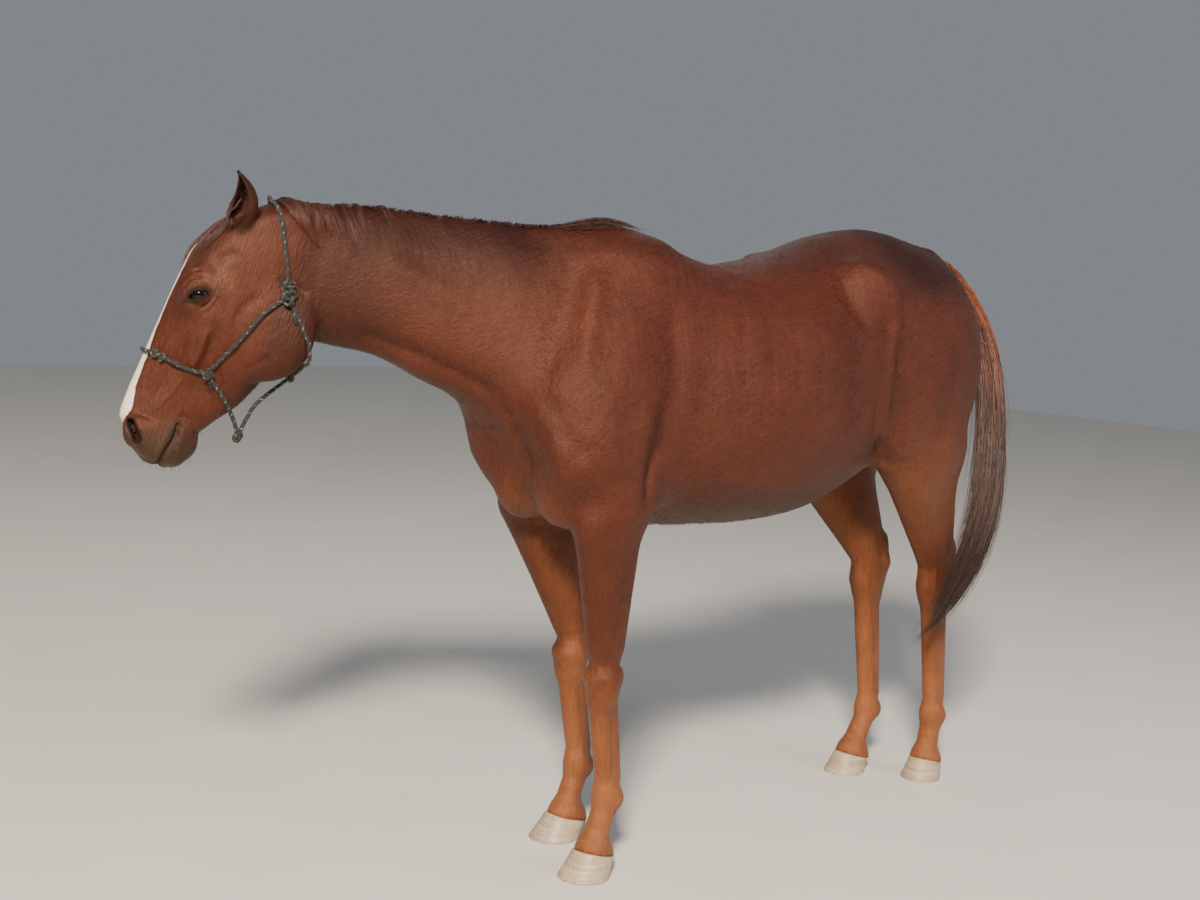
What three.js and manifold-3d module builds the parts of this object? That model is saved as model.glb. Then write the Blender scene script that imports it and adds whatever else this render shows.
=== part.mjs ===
// A life-size still model of a chestnut riding horse in a rope halter, standing square with its
// head lowered a little and turned to the right. Millimetres, +Z up, head towards -X, left side
// towards -Y. The origin is on the floor at the middle of the horse's length and width.
//
// The flesh is one smooth distance field: lofts for the trunk, neck and head, and tapered or
// egg-shaped masses for the muscles and joints, blended into each other. Each named part is the
// field's surface inside a box, trimmed by the flat cuts that part it from its neighbours.
import * as THREE from "three";
import { mergeVertices } from "three/addons/utils/BufferGeometryUtils.js";
import Module from "manifold-3d";

const wasm = await Module();
wasm.setup();

// ---------------------------------------------------------------- driving dimensions
const GAP = 0.15; // each side of a cut draws back by this much, so parts stand 0.3 mm apart
const BEND_X = -560; // where the neck starts to turn
const BEND_RADIUS = 550; // radius of that turn, in plan
const NECK_TURN = THREE.MathUtils.degToRad(22); // how far the neck turns to the right
const HEAD_TURN = THREE.MathUtils.degToRad(26); // heading of the head, from the body's axis
const FACE_SLOPE = THREE.MathUtils.degToRad(69); // the face's line below level
const POLL = [-1331, 259, 1491]; // top of the skull between the ears

// Where each leg stands: the centres of its joints and of its hoof, y measured outwards.
const FORELEGS = {
  left: {
    side: -1, elbow: [-636, 152, 880], knee: [-650, 122, 440], fetlock: [-614, 116, 172],
    hoof: [-681, 130], toeOut: 14,
  },
  right: {
    side: 1, elbow: [-604, 150, 880], knee: [-537, 118, 436], fetlock: [-500, 114, 170],
    hoof: [-566, 110], toeOut: 4,
  },
};
const HINDLEGS = {
  left: {
    side: -1, stifle: [325, 186, 962], hock: [618, 102, 562], fetlock: [678, 84, 178],
    hoof: [646, 86], toeOut: 12,
  },
  right: {
    side: 1, stifle: [300, 178, 952], hock: [564, 92, 552], fetlock: [588, 78, 172],
    hoof: [500, 73], toeOut: 6,
  },
};
// A hoof: half length and half width on the floor and at the hairline, how far the hairline's
// middle stands behind and above the floor's, and how steeply it falls to the heel.
const FORE_HOOF = { floor: [64, 62], hairline: [53, 50], back: 34, rise: 46, fall: 14 };
const HIND_HOOF = { floor: [62, 57], hairline: [52, 46], back: 25, rise: 46, fall: 14 };

// ---------------------------------------------------------------- small vector helpers
const add = (p, q) => [p[0] + q[0], p[1] + q[1], p[2] + q[2]];
const sub = (p, q) => [p[0] - q[0], p[1] - q[1], p[2] - q[2]];
const scale = (p, k) => [p[0] * k, p[1] * k, p[2] * k];
const dot = (p, q) => p[0] * q[0] + p[1] * q[1] + p[2] * q[2];

// ---------------------------------------------------------------- distance fields
const length2d = (x, y) => Math.sqrt(x * x + y * y);
const length3d = (x, y, z) => Math.sqrt(x * x + y * y + z * z);

/** Joins two fields with a fillet about k wide. */
function blend(a, b, k) {
  const h = Math.max(k - Math.abs(a - b), 0) / k;
  return Math.min(a, b) - (h * h * k) / 4;
}

/** A field with the sphere outside which it can be left out of a blend. */
const bounded = (centre, reach, field) => Object.assign(field, { centre, reach });

/** A tapered rod with round ends, squeezed to `flat` of its thickness along the unit vector w. */
function rod(a, b, ra, rb, flat = 1, w = [0, 1, 0]) {
  const stretch = 1 / flat - 1;
  const pull = (q) => add(q, scale(w, stretch * dot(q, w)));
  const axis = pull(sub(b, a));
  const length2 = dot(axis, axis);
  const reach = length3d(...sub(b, a)) / 2 + Math.max(ra, rb);
  return bounded(scale(add(a, b), 0.5), reach, (x, y, z) => {
    const px = x - a[0], py = y - a[1], pz = z - a[2];
    const along = stretch * (px * w[0] + py * w[1] + pz * w[2]);
    const qx = px + w[0] * along, qy = py + w[1] * along, qz = pz + w[2] * along;
    const t = Math.min(1, Math.max(0, (qx * axis[0] + qy * axis[1] + qz * axis[2]) / length2));
    const rx = qx - axis[0] * t, ry = qy - axis[1] * t, rz = qz - axis[2] * t;
    const far = Math.max(length3d(rx, ry, rz), 1e-6);
    const back = (1 - flat) * (rx * w[0] + ry * w[1] + rz * w[2]);
    const real = length3d(rx - w[0] * back, ry - w[1] * back, rz - w[2] * back);
    return (far - ra - (rb - ra) * t) * (real / far);
  });
}

/** An egg-shaped mass: radii along its own axes, which are turned by pitch, then by yaw. */
function egg(centre, radii, pitch = 0, yaw = 0) {
  const turn = new THREE.Matrix4().makeRotationFromEuler(
    new THREE.Euler(0, THREE.MathUtils.degToRad(pitch), THREE.MathUtils.degToRad(yaw), "ZYX"),
  );
  const m = turn.elements;
  const least = Math.min(...radii);
  return bounded(centre, Math.max(...radii), (x, y, z) => {
    const px = x - centre[0], py = y - centre[1], pz = z - centre[2];
    const u = m[0] * px + m[1] * py + m[2] * pz;
    const v = m[4] * px + m[5] * py + m[6] * pz;
    const w = m[8] * px + m[9] * py + m[10] * pz;
    const real = length3d(u, v, w);
    const k = length3d(u / radii[0], v / radii[1], w / radii[2]);
    return k < 0.05 ? -least : Math.max(real - real / k, -least);
  });
}

/** Blends every mass [field, fillet] that comes near the point into the distance d. */
function blendMasses(d, masses, x, y, z) {
  for (const [field, fillet] of masses) {
    const [cx, cy, cz] = field.centre;
    if (length3d(x - cx, y - cy, z - cz) - field.reach > d + fillet) continue;
    d = blend(d, field(x, y, z), fillet);
  }
  return d;
}

const TABLE_STEP = 4;
const FLAT_END = 4; // how far the muzzle, the poll and the neck reach past their last stations
const RUMP_END = 60; // how far the rump tapers past its last station
/** Smooth curves through a table of stations, each [s, ...values], sampled every TABLE_STEP. */
function stationCurves(stations) {
  const first = stations[0][0];
  const last = stations[stations.length - 1][0];
  const count = Math.ceil((last - first) / TABLE_STEP) + 1;
  const columns = stations[0].length - 1;
  const slope = (i, c) => {
    const lo = stations[Math.max(i - 1, 0)], hi = stations[Math.min(i + 1, stations.length - 1)];
    return (hi[c] - lo[c]) / (hi[0] - lo[0]);
  };
  const samples = new Float64Array(count * columns);
  for (let n = 0, i = 0; n < count; n++) {
    const s = Math.min(first + n * TABLE_STEP, last);
    while (i < stations.length - 2 && s > stations[i + 1][0]) i++;
    const from = stations[i], to = stations[i + 1];
    const span = to[0] - from[0], t = (s - from[0]) / span;
    for (let c = 0; c < columns; c++) {
      const a = from[c + 1], b = to[c + 1];
      const ma = slope(i, c + 1) * span, mb = slope(i + 1, c + 1) * span;
      samples[n * columns + c] =
        (2 * t ** 3 - 3 * t * t + 1) * a + (t ** 3 - 2 * t * t + t) * ma +
        (3 * t * t - 2 * t ** 3) * b + (t ** 3 - t * t) * mb;
    }
  }
  return { first, last, count, columns, samples };
}

/** A body lofted through stations [s, top, bottom, half width, widest level, upper and lower
 * squareness], which tapers by at most startReach and endReach past its ends; the field takes the
 * distance along, to the side and up. */
function loft(stations, startReach, endReach) {
  const { first, last, count, columns, samples } = stationCurves(stations);
  const row = new Float64Array(columns);
  return (s, side, up) => {
    const at = Math.min(Math.max((s - first) / TABLE_STEP, 0), count - 1.001);
    const i = Math.floor(at), f = at - i;
    for (let c = 0; c < columns; c++) {
      const a = samples[i * columns + c];
      row[c] = a + (samples[(i + 1) * columns + c] - a) * f;
    }
    const [top, bottom, width, level, upperPower, lowerPower] = row;
    const rise = up - level;
    const height = rise > 0 ? top - level : level - bottom;
    const power = rise > 0 ? upperPower : lowerPower;
    const k = ((Math.abs(side) / width) ** power + (Math.abs(rise) / height) ** power) ** (1 / power);
    const real = length2d(side, rise);
    const radial = k < 0.05 ? -width : Math.max(real - real / k, -width);
    const past = Math.max(first - s, s - last, 0);
    if (past <= 0) return radial;
    const reach = s < first ? startReach : endReach;
    return length2d(Math.max(radial, 0), past) + Math.max(Math.min(radial, 0), -reach);
  };
}

// ---------------------------------------------------------------- frames of the neck and head
const BEND_END = [
  BEND_X - BEND_RADIUS * Math.sin(NECK_TURN),
  BEND_RADIUS * (1 - Math.cos(NECK_TURN)),
];
const BEND_LENGTH = BEND_RADIUS * NECK_TURN;

/** Distance along the spine, counted forwards from x = 0, and distance to its right. */
function alongSpine(x, y) {
  if (x > BEND_X) return [-x, y];
  const angle = Math.atan2(BEND_X - x, BEND_RADIUS - y);
  if (angle < NECK_TURN && y < BEND_RADIUS) {
    return [BEND_RADIUS * angle - BEND_X, BEND_RADIUS - Math.hypot(BEND_X - x, BEND_RADIUS - y)];
  }
  const dx = x - BEND_END[0], dy = y - BEND_END[1];
  const c = Math.cos(NECK_TURN), s = Math.sin(NECK_TURN);
  return [BEND_LENGTH - BEND_X - dx * c + dy * s, dx * s + dy * c];
}

/** The point that lies s along the spine, `right` to its right and z up. */
function spinePoint(s, right, z) {
  if (s < -BEND_X) return [-s, right, z];
  const angle = Math.min((s + BEND_X) / BEND_RADIUS, NECK_TURN);
  const rest = Math.max(s + BEND_X - BEND_LENGTH, 0);
  const c = Math.cos(angle), n = Math.sin(angle);
  const r = BEND_RADIUS - right;
  return [BEND_X - r * n - rest * c, BEND_RADIUS - r * c + rest * n, z];
}

const HEADING = [-Math.cos(HEAD_TURN), Math.sin(HEAD_TURN), 0];
const FACE_AXIS = add(scale(HEADING, Math.cos(FACE_SLOPE)), [0, 0, -Math.sin(FACE_SLOPE)]);
const FACE_OUT = add(scale(HEADING, Math.sin(FACE_SLOPE)), [0, 0, Math.cos(FACE_SLOPE)]);
const FACE_LEFT = [-Math.sin(HEAD_TURN), -Math.cos(HEAD_TURN), 0];

/** The point that lies `down` the face from the poll, `out` in front of it and `left` of it. */
const headPoint = (down, out, left) =>
  add(POLL, add(scale(FACE_AXIS, down), add(scale(FACE_OUT, out), scale(FACE_LEFT, left))));

/** A field in the head's own frame, (down, out, left), as a field in the model's frame. */
const inHead = (field) => (x, y, z) => {
  const q = [x - POLL[0], y - POLL[1], z - POLL[2]];
  return field(dot(q, FACE_AXIS), dot(q, FACE_OUT), dot(q, FACE_LEFT));
};

// ---------------------------------------------------------------- the flesh
// Stations from the dock forwards: along, top, bottom, half width, widest level, squareness.
const SPINE_STATIONS = [
  [-630, 1455, 1120, 60, 1330, 2, 2],
  [-570, 1488, 1060, 126, 1320, 2, 2],
  [-480, 1506, 985, 180, 1290, 2, 2],
  [-290, 1528, 900, 245, 1210, 2, 2.1],
  [-130, 1502, 830, 270, 1170, 2, 2.2],
  [0, 1460, 793, 288, 1120, 2, 2.2],
  [140, 1426, 779, 297, 1090, 2.1, 2.2],
  [290, 1411, 779, 285, 1080, 2, 2.2],
  [430, 1445, 784, 254, 1080, 1.8, 2.2],
  [520, 1474, 790, 224, 1080, 1.7, 2.2],
  [620, 1486, 800, 192, 1080, 1.5, 2.2],
  [720, 1474, 830, 184, 1090, 1.5, 2.2],
  [800, 1470, 900, 168, 1110, 1.5, 2.1],
  [870, 1473, 1008, 142, 1170, 1.6, 2],
  [940, 1476, 1070, 118, 1220, 1.6, 2],
  [1040, 1481, 1118, 98, 1260, 1.6, 2],
  [1140, 1488, 1165, 83, 1310, 1.7, 2],
  [1250, 1484, 1186, 76, 1340, 1.8, 2.1],
  [1370, 1450, 1215, 66, 1360, 2, 2.2],
];

// Stations down the face from the poll, in the head's frame.
const HEAD_STATIONS = [
  [-5, -18, -110, 48, -60, 2, 2],
  [18, 8, -122, 66, -40, 2, 2],
  [45, 36, -124, 76, -10, 2.2, 2],
  [100, 80, -132, 84, 10, 2.4, 2],
  [160, 99, -142, 90, 30, 2.4, 2],
  [245, 107, -150, 92, 35, 2.3, 1.8],
  [310, 108, -150, 84, 25, 1.9, 1.9],
  [370, 109, -130, 70, 15, 1.7, 2],
  [430, 109, -108, 58, 15, 1.7, 2],
  [500, 108, -66, 52, 20, 1.9, 2.1],
  [550, 97, -56, 54, 22, 2.2, 2.2],
  [590, 64, -42, 48, 15, 2.3, 2.3],
  [606, 32, -22, 30, 8, 2.2, 2.2],
];

/** Every muscle mass of one side of the trunk: [field, fillet]. */
function trunkMuscles(side) {
  const at = (x, y, z) => [x, side * y, z];
  return [
    // forequarter: front and back of the shoulder blade, point of the shoulder, breast, upper
    // arm, triceps, elbow
    [rod(at(-610, 70, 1370), at(-770, 128, 1080), 60, 80, 0.6), 120],
    [rod(at(-540, 88, 1330), at(-640, 150, 1120), 75, 95, 0.5), 120],
    [egg(at(-752, 132, 1010), [84, 66, 112], 20), 90],
    [egg(at(-735, 70, 905), [88, 75, 105], 25), 60],
    [rod(at(-750, 142, 980), at(-660, 150, 890), 74, 78, 0.75), 70],
    [egg(at(-650, 158, 1020), [125, 54, 175], -22), 70],
    [egg(at(-640, 158, 880), [52, 42, 62]), 50],
    // hindquarter: point of the hip, rump, thigh, buttock, front of the thigh, stifle
    [egg(at(130, 185, 1370), [80, 50, 60], 20), 90],
    [egg(at(310, 115, 1310), [200, 125, 150], 12), 90],
    [egg(at(420, 138, 1180), [215, 118, 240], 10), 90],
    [rod(at(606, 80, 1290), at(545, 110, 960), 80, 92, 0.85), 80],
    [egg(at(330, 178, 1100), [160, 80, 190], -25), 80],
  ];
}

/** The middle of a hoof's hairline, the way its toe points and the hairline's upward normal. */
function hairline({ back, rise, fall }, side, hoof, toeOut) {
  const turn = THREE.MathUtils.degToRad(toeOut);
  const toe = [-Math.cos(turn), side * Math.sin(turn), 0];
  const centre = [hoof[0] - back * toe[0], side * hoof[1] - back * toe[1], rise];
  const tilt = THREE.MathUtils.degToRad(fall);
  const up = [-Math.sin(tilt) * toe[0], -Math.sin(tilt) * toe[1], Math.cos(tilt)];
  return { centre, toe, up };
}

/** The pastern, from the fetlock F to the hairline's middle P, with the band over the hoof. */
function pasternMasses(F, P, toe, radius) {
  const ahead = (k, z) => [P[0] + toe[0] * k, P[1] + toe[1] * k, P[2] + z];
  return [
    [rod(add(F, [0, 0, -12]), ahead(2, 22), radius, 33), 18],
    [rod(ahead(4, 4), ahead(-12, -4), 45, 43), 16],
    [rod(ahead(-34, -6), ahead(-20, 34), 20, 16), 16],
  ];
}

/** The flesh of one foreleg, from the elbow to the hoof. */
function forelegMasses({ side, elbow, knee, fetlock, hoof, toeOut }) {
  const E = [elbow[0], side * elbow[1], elbow[2]];
  const K = [knee[0], side * knee[1], knee[2]];
  const F = [fetlock[0], side * fetlock[1], fetlock[2]];
  const { centre: P, toe } = hairline(FORE_HOOF, side, hoof, toeOut);
  const off = (q, x, y, z) => [q[0] + x, q[1] + side * y, q[2] + z];
  return [
    [rod(off(E, -50, -5, -30), off(K, 0, 0, 70), 78, 40, 0.8), 50],
    [rod(off(E, -100, 0, -60), off(K, -17, 4, 100), 46, 29, 0.9), 30],
    [rod(off(E, -10, 0, -60), off(K, 22, 0, 90), 44, 26, 0.9), 30],
    [egg(K, [44, 42, 60]), 30],
    [egg(off(K, -6, 0, 22), [41, 44, 26]), 20],
    [egg(off(K, 46, 0, 14), [16, 14, 28]), 20],
    [rod(off(K, -4, 0, -40), off(F, -6, 0, 35), 29, 26, 0.95), 20],
    [rod(off(K, 28, 0, -30), off(F, 24, 0, 40), 19, 19, 0.8), 16],
    [egg(off(F, -2, 0, 4), [35, 34, 38]), 18],
    [egg(off(F, 24, 0, -6), [25, 29, 29]), 16],
    ...pasternMasses(F, P, toe, 28),
  ];
}

/** The flesh of one hindleg, from the thigh to the hoof. */
function hindlegMasses({ side, stifle, hock, fetlock, hoof, toeOut }) {
  const S = [stifle[0], side * stifle[1], stifle[2]];
  const H = [hock[0], side * hock[1], hock[2]];
  const F = [fetlock[0], side * fetlock[1], fetlock[2]];
  const { centre: P, toe } = hairline(HIND_HOOF, side, hoof, toeOut);
  const off = (q, x, y, z) => [q[0] + x, q[1] + side * y, q[2] + z];
  return [
    [egg(off(S, -40, 0, 40), [75, 55, 105], -25), 60],
    [egg(off(S, 100, -25, 20), [140, 78, 105], 20), 70],
    [rod(off(S, 85, -25, -50), off(H, -24, 0, 70), 100, 46, 0.68), 60],
    [rod(off(S, 20, -15, -40), off(H, -46, 2, 110), 62, 30, 0.8), 40],
    [rod(off(S, 175, -40, -30), off(H, 46, 0, 90), 82, 20, 0.75), 50],
    [rod(off(H, 56, 0, 110), off(H, 64, 0, 42), 17, 24, 0.85), 24],
    [egg(off(H, -4, 0, 0), [60, 42, 64]), 34],
    [rod(off(H, 58, 0, 38), off(H, 36, 0, -50), 24, 24, 0.9), 20],
    [rod(off(H, -6, 0, -50), off(F, -6, 0, 36), 36, 28, 0.9), 24],
    [rod(off(H, 32, 0, -50), off(F, 26, 0, 40), 22, 21, 0.8), 16],
    [egg(off(F, -2, 0, 4), [37, 35, 39]), 18],
    [egg(off(F, 24, 0, -6), [27, 30, 30]), 16],
    ...pasternMasses(F, P, toe, 29),
  ];
}

/** The masses that shape the head over its loft, in the head's frame. */
function headMasses() {
  const pair = (make) => [-1, 1].map(make);
  return [
    ...pair((s) => [egg([262, -86, s * 50], [110, 112, 34]), 36]),
    ...pair((s) => [egg([238, 66, s * 72], [46, 34, 26]), 34]),
    ...pair((s) => [rod([285, 26, s * 72], [400, 8, s * 50], 14, 10), 30]),
    ...pair((s) => [egg([556, 62, s * 38], [38, 32, 20]), 18]),
    [rod([175, 74, 0], [530, 84, 0], 32, 24), 30],
    [egg([574, 22, 0], [36, 44, 44]), 24],
    [egg([574, -26, 0], [32, 26, 34]), 14],
    [egg([552, -40, 0], [26, 24, 28]), 14],
  ];
}

const spineLoft = loft(SPINE_STATIONS, RUMP_END, FLAT_END);
const headLoft = loft(HEAD_STATIONS, FLAT_END, FLAT_END);
const headShape = (() => {
  const masses = headMasses();
  return inHead((down, out, left) => blendMasses(headLoft(down, left, out), masses, down, out, left));
})();
const MASSES = [
  [rod([590, 0, 1440], [680, 0, 1425], 40, 30), 50], // the dock, where the tail begins
  ...trunkMuscles(-1),
  ...trunkMuscles(1),
  ...Object.values(FORELEGS).flatMap(forelegMasses),
  ...Object.values(HINDLEGS).flatMap(hindlegMasses),
];

const HEAD_REGION_X = -1000; // the head's shape ends well in front of this
const HEAD_FILLET = 40;
/** The whole body: below zero inside the flesh, above zero outside it. */
function body(x, y, z) {
  const [s, right] = alongSpine(x, y);
  const d = blendMasses(spineLoft(s, right, z), MASSES, x, y, z);
  return x < HEAD_REGION_X ? blend(d, headShape(x, y, z), HEAD_FILLET) : d;
}

// ---------------------------------------------------------------- surface of a field
/** The surface of a field in a box, as a closed mesh with about one vertex in each cell. */
function surface(field, low, high, cell) {
  const size = [0, 1, 2].map((i) => Math.ceil((high[i] - low[i]) / cell[i]) + 1);
  const [nx, ny, nz] = size;
  const index = (i, j, k) => (k * ny + j) * nx + i;
  const values = new Float64Array(nx * ny * nz);
  for (let k = 0; k < nz; k++)
    for (let j = 0; j < ny; j++)
      for (let i = 0; i < nx; i++) {
        const edge = i === 0 || j === 0 || k === 0 || i === nx - 1 || j === ny - 1 || k === nz - 1;
        const d = field(low[0] + i * cell[0], low[1] + j * cell[1], low[2] + k * cell[2]);
        values[index(i, j, k)] = edge ? Math.max(d, 1) : d;
      }
  const corners = [0, 1, 2, 3, 4, 5, 6, 7].map((c) => [c & 1, (c >> 1) & 1, (c >> 2) & 1]);
  const edges = [];
  corners.forEach((a, i) =>
    corners.forEach((b, j) => {
      if (j > i && Math.abs(a[0] - b[0]) + Math.abs(a[1] - b[1]) + Math.abs(a[2] - b[2]) === 1) {
        edges.push([i, j]);
      }
    }),
  );
  const vertexOf = new Int32Array(nx * ny * nz).fill(-1);
  const vertices = [];
  for (let k = 0; k < nz - 1; k++)
    for (let j = 0; j < ny - 1; j++)
      for (let i = 0; i < nx - 1; i++) {
        const d = corners.map(([a, b, c]) => values[index(i + a, j + b, k + c)]);
        if (d.every((v) => v > 0) || d.every((v) => v <= 0)) continue;
        const sum = [0, 0, 0];
        let crossings = 0;
        for (const [a, b] of edges) {
          if (d[a] > 0 === d[b] > 0) continue;
          const t = d[a] / (d[a] - d[b]);
          for (let n = 0; n < 3; n++) sum[n] += corners[a][n] + (corners[b][n] - corners[a][n]) * t;
          crossings++;
        }
        const place = [i, j, k].map((v, n) => low[n] + (v + sum[n] / crossings) * cell[n]);
        vertexOf[index(i, j, k)] = vertices.length / 3;
        vertices.push(...settle(field, place, cell, [i, j, k], low));
      }
  const triangles = [];
  const step = [index(1, 0, 0), index(0, 1, 0), index(0, 0, 1)];
  for (let k = 0; k < nz - 1; k++)
    for (let j = 0; j < ny - 1; j++)
      for (let i = 0; i < nx - 1; i++)
        for (let n = 0; n < 3; n++) {
          if ([i, j, k].some((v, axis) => axis !== n && v === 0)) continue;
          const here = index(i, j, k);
          const inside = values[here] <= 0;
          if (inside === values[here + step[n]] <= 0) continue;
          const u = step[(n + 1) % 3], v = step[(n + 2) % 3];
          const ring = [here - u - v, here - v, here, here - u].map((q) => vertexOf[q]);
          if (!inside) ring.reverse();
          triangles.push(...splitQuad(ring, vertices));
        }
  return { vertices: new Float32Array(vertices), triangles: new Uint32Array(triangles) };
}

/** Moves a point onto the surface of the field, if that keeps it in its own cell. */
function settle(field, place, cell, ijk, low) {
  const e = 1;
  let p = place.slice();
  for (let step = 0; step < 3; step++) {
    const d = field(...p);
    const g = [0, 1, 2].map((n) => {
      const q = p.slice();
      q[n] += e;
      return (field(...q) - d) / e;
    });
    const g2 = Math.max(dot(g, g), 0.2);
    p = sub(p, scale(g, d / g2));
  }
  return p.map((v, n) => {
    const from = low[n] + ijk[n] * cell[n];
    return Math.min(Math.max(v, from + 0.02 * cell[n]), from + 0.98 * cell[n]);
  });
}

/** Two triangles for a four-sided face, split along its shorter diagonal. */
function splitQuad([a, b, c, d], vertices) {
  const gap = (p, q) => Math.hypot(...[0, 1, 2].map((n) => vertices[3 * p + n] - vertices[3 * q + n]));
  return gap(a, c) <= gap(b, d) ? [a, b, c, a, c, d] : [a, b, d, b, c, d];
}

// ---------------------------------------------------------------- solids
/** A closed solid from an indexed mesh. */
const solidOf = ({ vertices, triangles }) =>
  new wasm.Manifold(new wasm.Mesh({ numProp: 3, vertProperties: vertices, triVerts: triangles }));

/** A closed solid from a three.js geometry, placed by a matrix. */
function solidOfGeometry(geometry, matrix = new THREE.Matrix4()) {
  const plain = new THREE.BufferGeometry();
  plain.setAttribute("position", geometry.getAttribute("position"));
  if (geometry.index) plain.setIndex(geometry.index);
  const merged = mergeVertices(plain.applyMatrix4(matrix), 1e-3);
  return solidOf({
    vertices: new Float32Array(merged.attributes.position.array),
    triangles: new Uint32Array(merged.index.array),
  });
}

/** A three.js geometry from a solid. */
function geometryOf(solid) {
  const mesh = solid.getMesh();
  const positions = new Float32Array(mesh.numVert * 3);
  for (let i = 0; i < mesh.numVert; i++) {
    const from = i * mesh.numProp;
    positions.set(mesh.vertProperties.subarray(from, from + 3), i * 3);
  }
  const geometry = new THREE.BufferGeometry();
  geometry.setAttribute("position", new THREE.BufferAttribute(positions, 3));
  geometry.setIndex(new THREE.BufferAttribute(new Uint32Array(mesh.triVerts), 1));
  geometry.computeVertexNormals();
  return geometry;
}

/** Whether each edge of a mesh joins just two triangles, so that no two sheets share an edge. */
function isSingleSheet(triangles) {
  const edges = new Set();
  for (let i = 0; i < triangles.length; i += 3) {
    for (let k = 0; k < 3; k++) edges.add(triangles[i + k] + ">" + triangles[i + ((k + 1) % 3)]);
  }
  return edges.size === triangles.length;
}

const GRID_TRIES = 12;
/** The surface of a field as a solid. Where a cell holds two sheets, the grid moves by a part of a
 * cell and is tried again. */
function surfaceSolid(field, low, high, cell) {
  for (let n = 0; n < GRID_TRIES; n++) {
    const shifted = low.map((v, i) => v - (cell[i] * ((n * (i + 2)) % GRID_TRIES)) / GRID_TRIES);
    const mesh = surface(field, shifted, high, cell);
    if (isSingleSheet(mesh.triangles)) return solidOf(mesh);
  }
  throw new Error("no grid gives a single sheet");
}

/** The largest separate body of a solid. */
const largest = (solid) =>
  solid.decompose().reduce((best, next) => (next.volume() > best.volume() ? next : best));

/** A solid swollen by a small distance along its vertices' normals. */
function grown(solid, by) {
  const geometry = geometryOf(solid);
  const p = geometry.attributes.position.array, n = geometry.attributes.normal.array;
  const vertices = p.map((v, i) => v + n[i] * by);
  return solidOf({ vertices, triangles: new Uint32Array(geometry.index.array) });
}

/** A flat cut through a point, square to a normal. */
function cutAt(point, normal) {
  const n = scale(normal, 1 / length3d(...normal));
  return { normal: n, offset: dot(n, point) };
}
/** A solid cut back to the side of a cut that its normal points to, or to the other side. */
const ahead = (solid, { normal, offset }) => solid.trimByPlane(normal, offset + GAP);
const behind = (solid, { normal, offset }) => solid.trimByPlane(scale(normal, -1), -offset + GAP);

// ---------------------------------------------------------------- where the parts meet
const HEAD_CUT = cutAt(headPoint(-30, -10, 0), add(scale(FACE_AXIS, 0.655), scale(FACE_OUT, 0.759)));
const SHOULDER_CUT = cutAt([-752, 0, 1250], [-0.854, 0, 0.521]); // neck in front, trunk behind
const FLANK_CUT = cutAt([170, 0, 1180], [-0.97, 0, -0.243]); // trunk in front, hindquarters behind
const FORELEG_CUT = cutAt([-620, 0, 790], [0.12, 0, 0.993]); // trunk above
const HINDLEG_CUT = cutAt([400, 0, 864], [-0.358, 0, 0.934]); // hindquarters above
const KNEE_CUT_Z = 378; // below the knee
const HOCK_CUT_Z = 492; // below the hock

/** The part of the flesh in a box, in cells of a size, cut back by each cut in turn. */
function flesh(low, high, cell, cuts) {
  const whole = surfaceSolid(body, low, high, cell);
  return largest(cuts.reduce((solid, [keep, cut]) => keep(solid, cut), whole));
}

const HEAD_MATRIX = new THREE.Matrix4()
  .makeBasis(...[FACE_AXIS, FACE_LEFT, FACE_OUT].map((v) => new THREE.Vector3(...v)))
  .setPosition(...POLL);

/** The head's flesh in its own frame, (down, left, out), with a socket for each eye. */
function headSolid(eyes) {
  const field = (down, left, out) => body(...headPoint(down, out, left));
  const whole = surfaceSolid(field, [-110, -124, -225], [638, 124, 150], [36, 21.5, 28]);
  const cut = cutAt([-30, 0, -10], [0.655, 0, 0.759]);
  return largest(eyes.reduce((solid, eye) => solid.subtract(grown(eye, 2 * GAP)), ahead(whole, cut)));
}

// ---------------------------------------------------------------- eyes and ears, in the head's frame
const EYE = { down: 246, out: 60, aside: 82, radius: 21, sides: 9, rings: 6 };
const EARS = {
  left: { base: [80, 56, 42], tip: [-11, 128, 90], faces: [0.5, 0.35, 0.75] },
  right: { base: [80, -56, 42], tip: [-2, -128, 52], faces: [0.7, -0.5, 0.45] },
};
const EAR_WIDTHS = [26, 31, 33, 31, 26, 18, 8];
const EAR_THICKNESS = 6;

function eyeSolid(side) {
  const ball = new THREE.SphereGeometry(EYE.radius, EYE.sides, EYE.rings);
  return solidOfGeometry(ball, new THREE.Matrix4().makeTranslation(EYE.down, side * EYE.aside, EYE.out));
}

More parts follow.
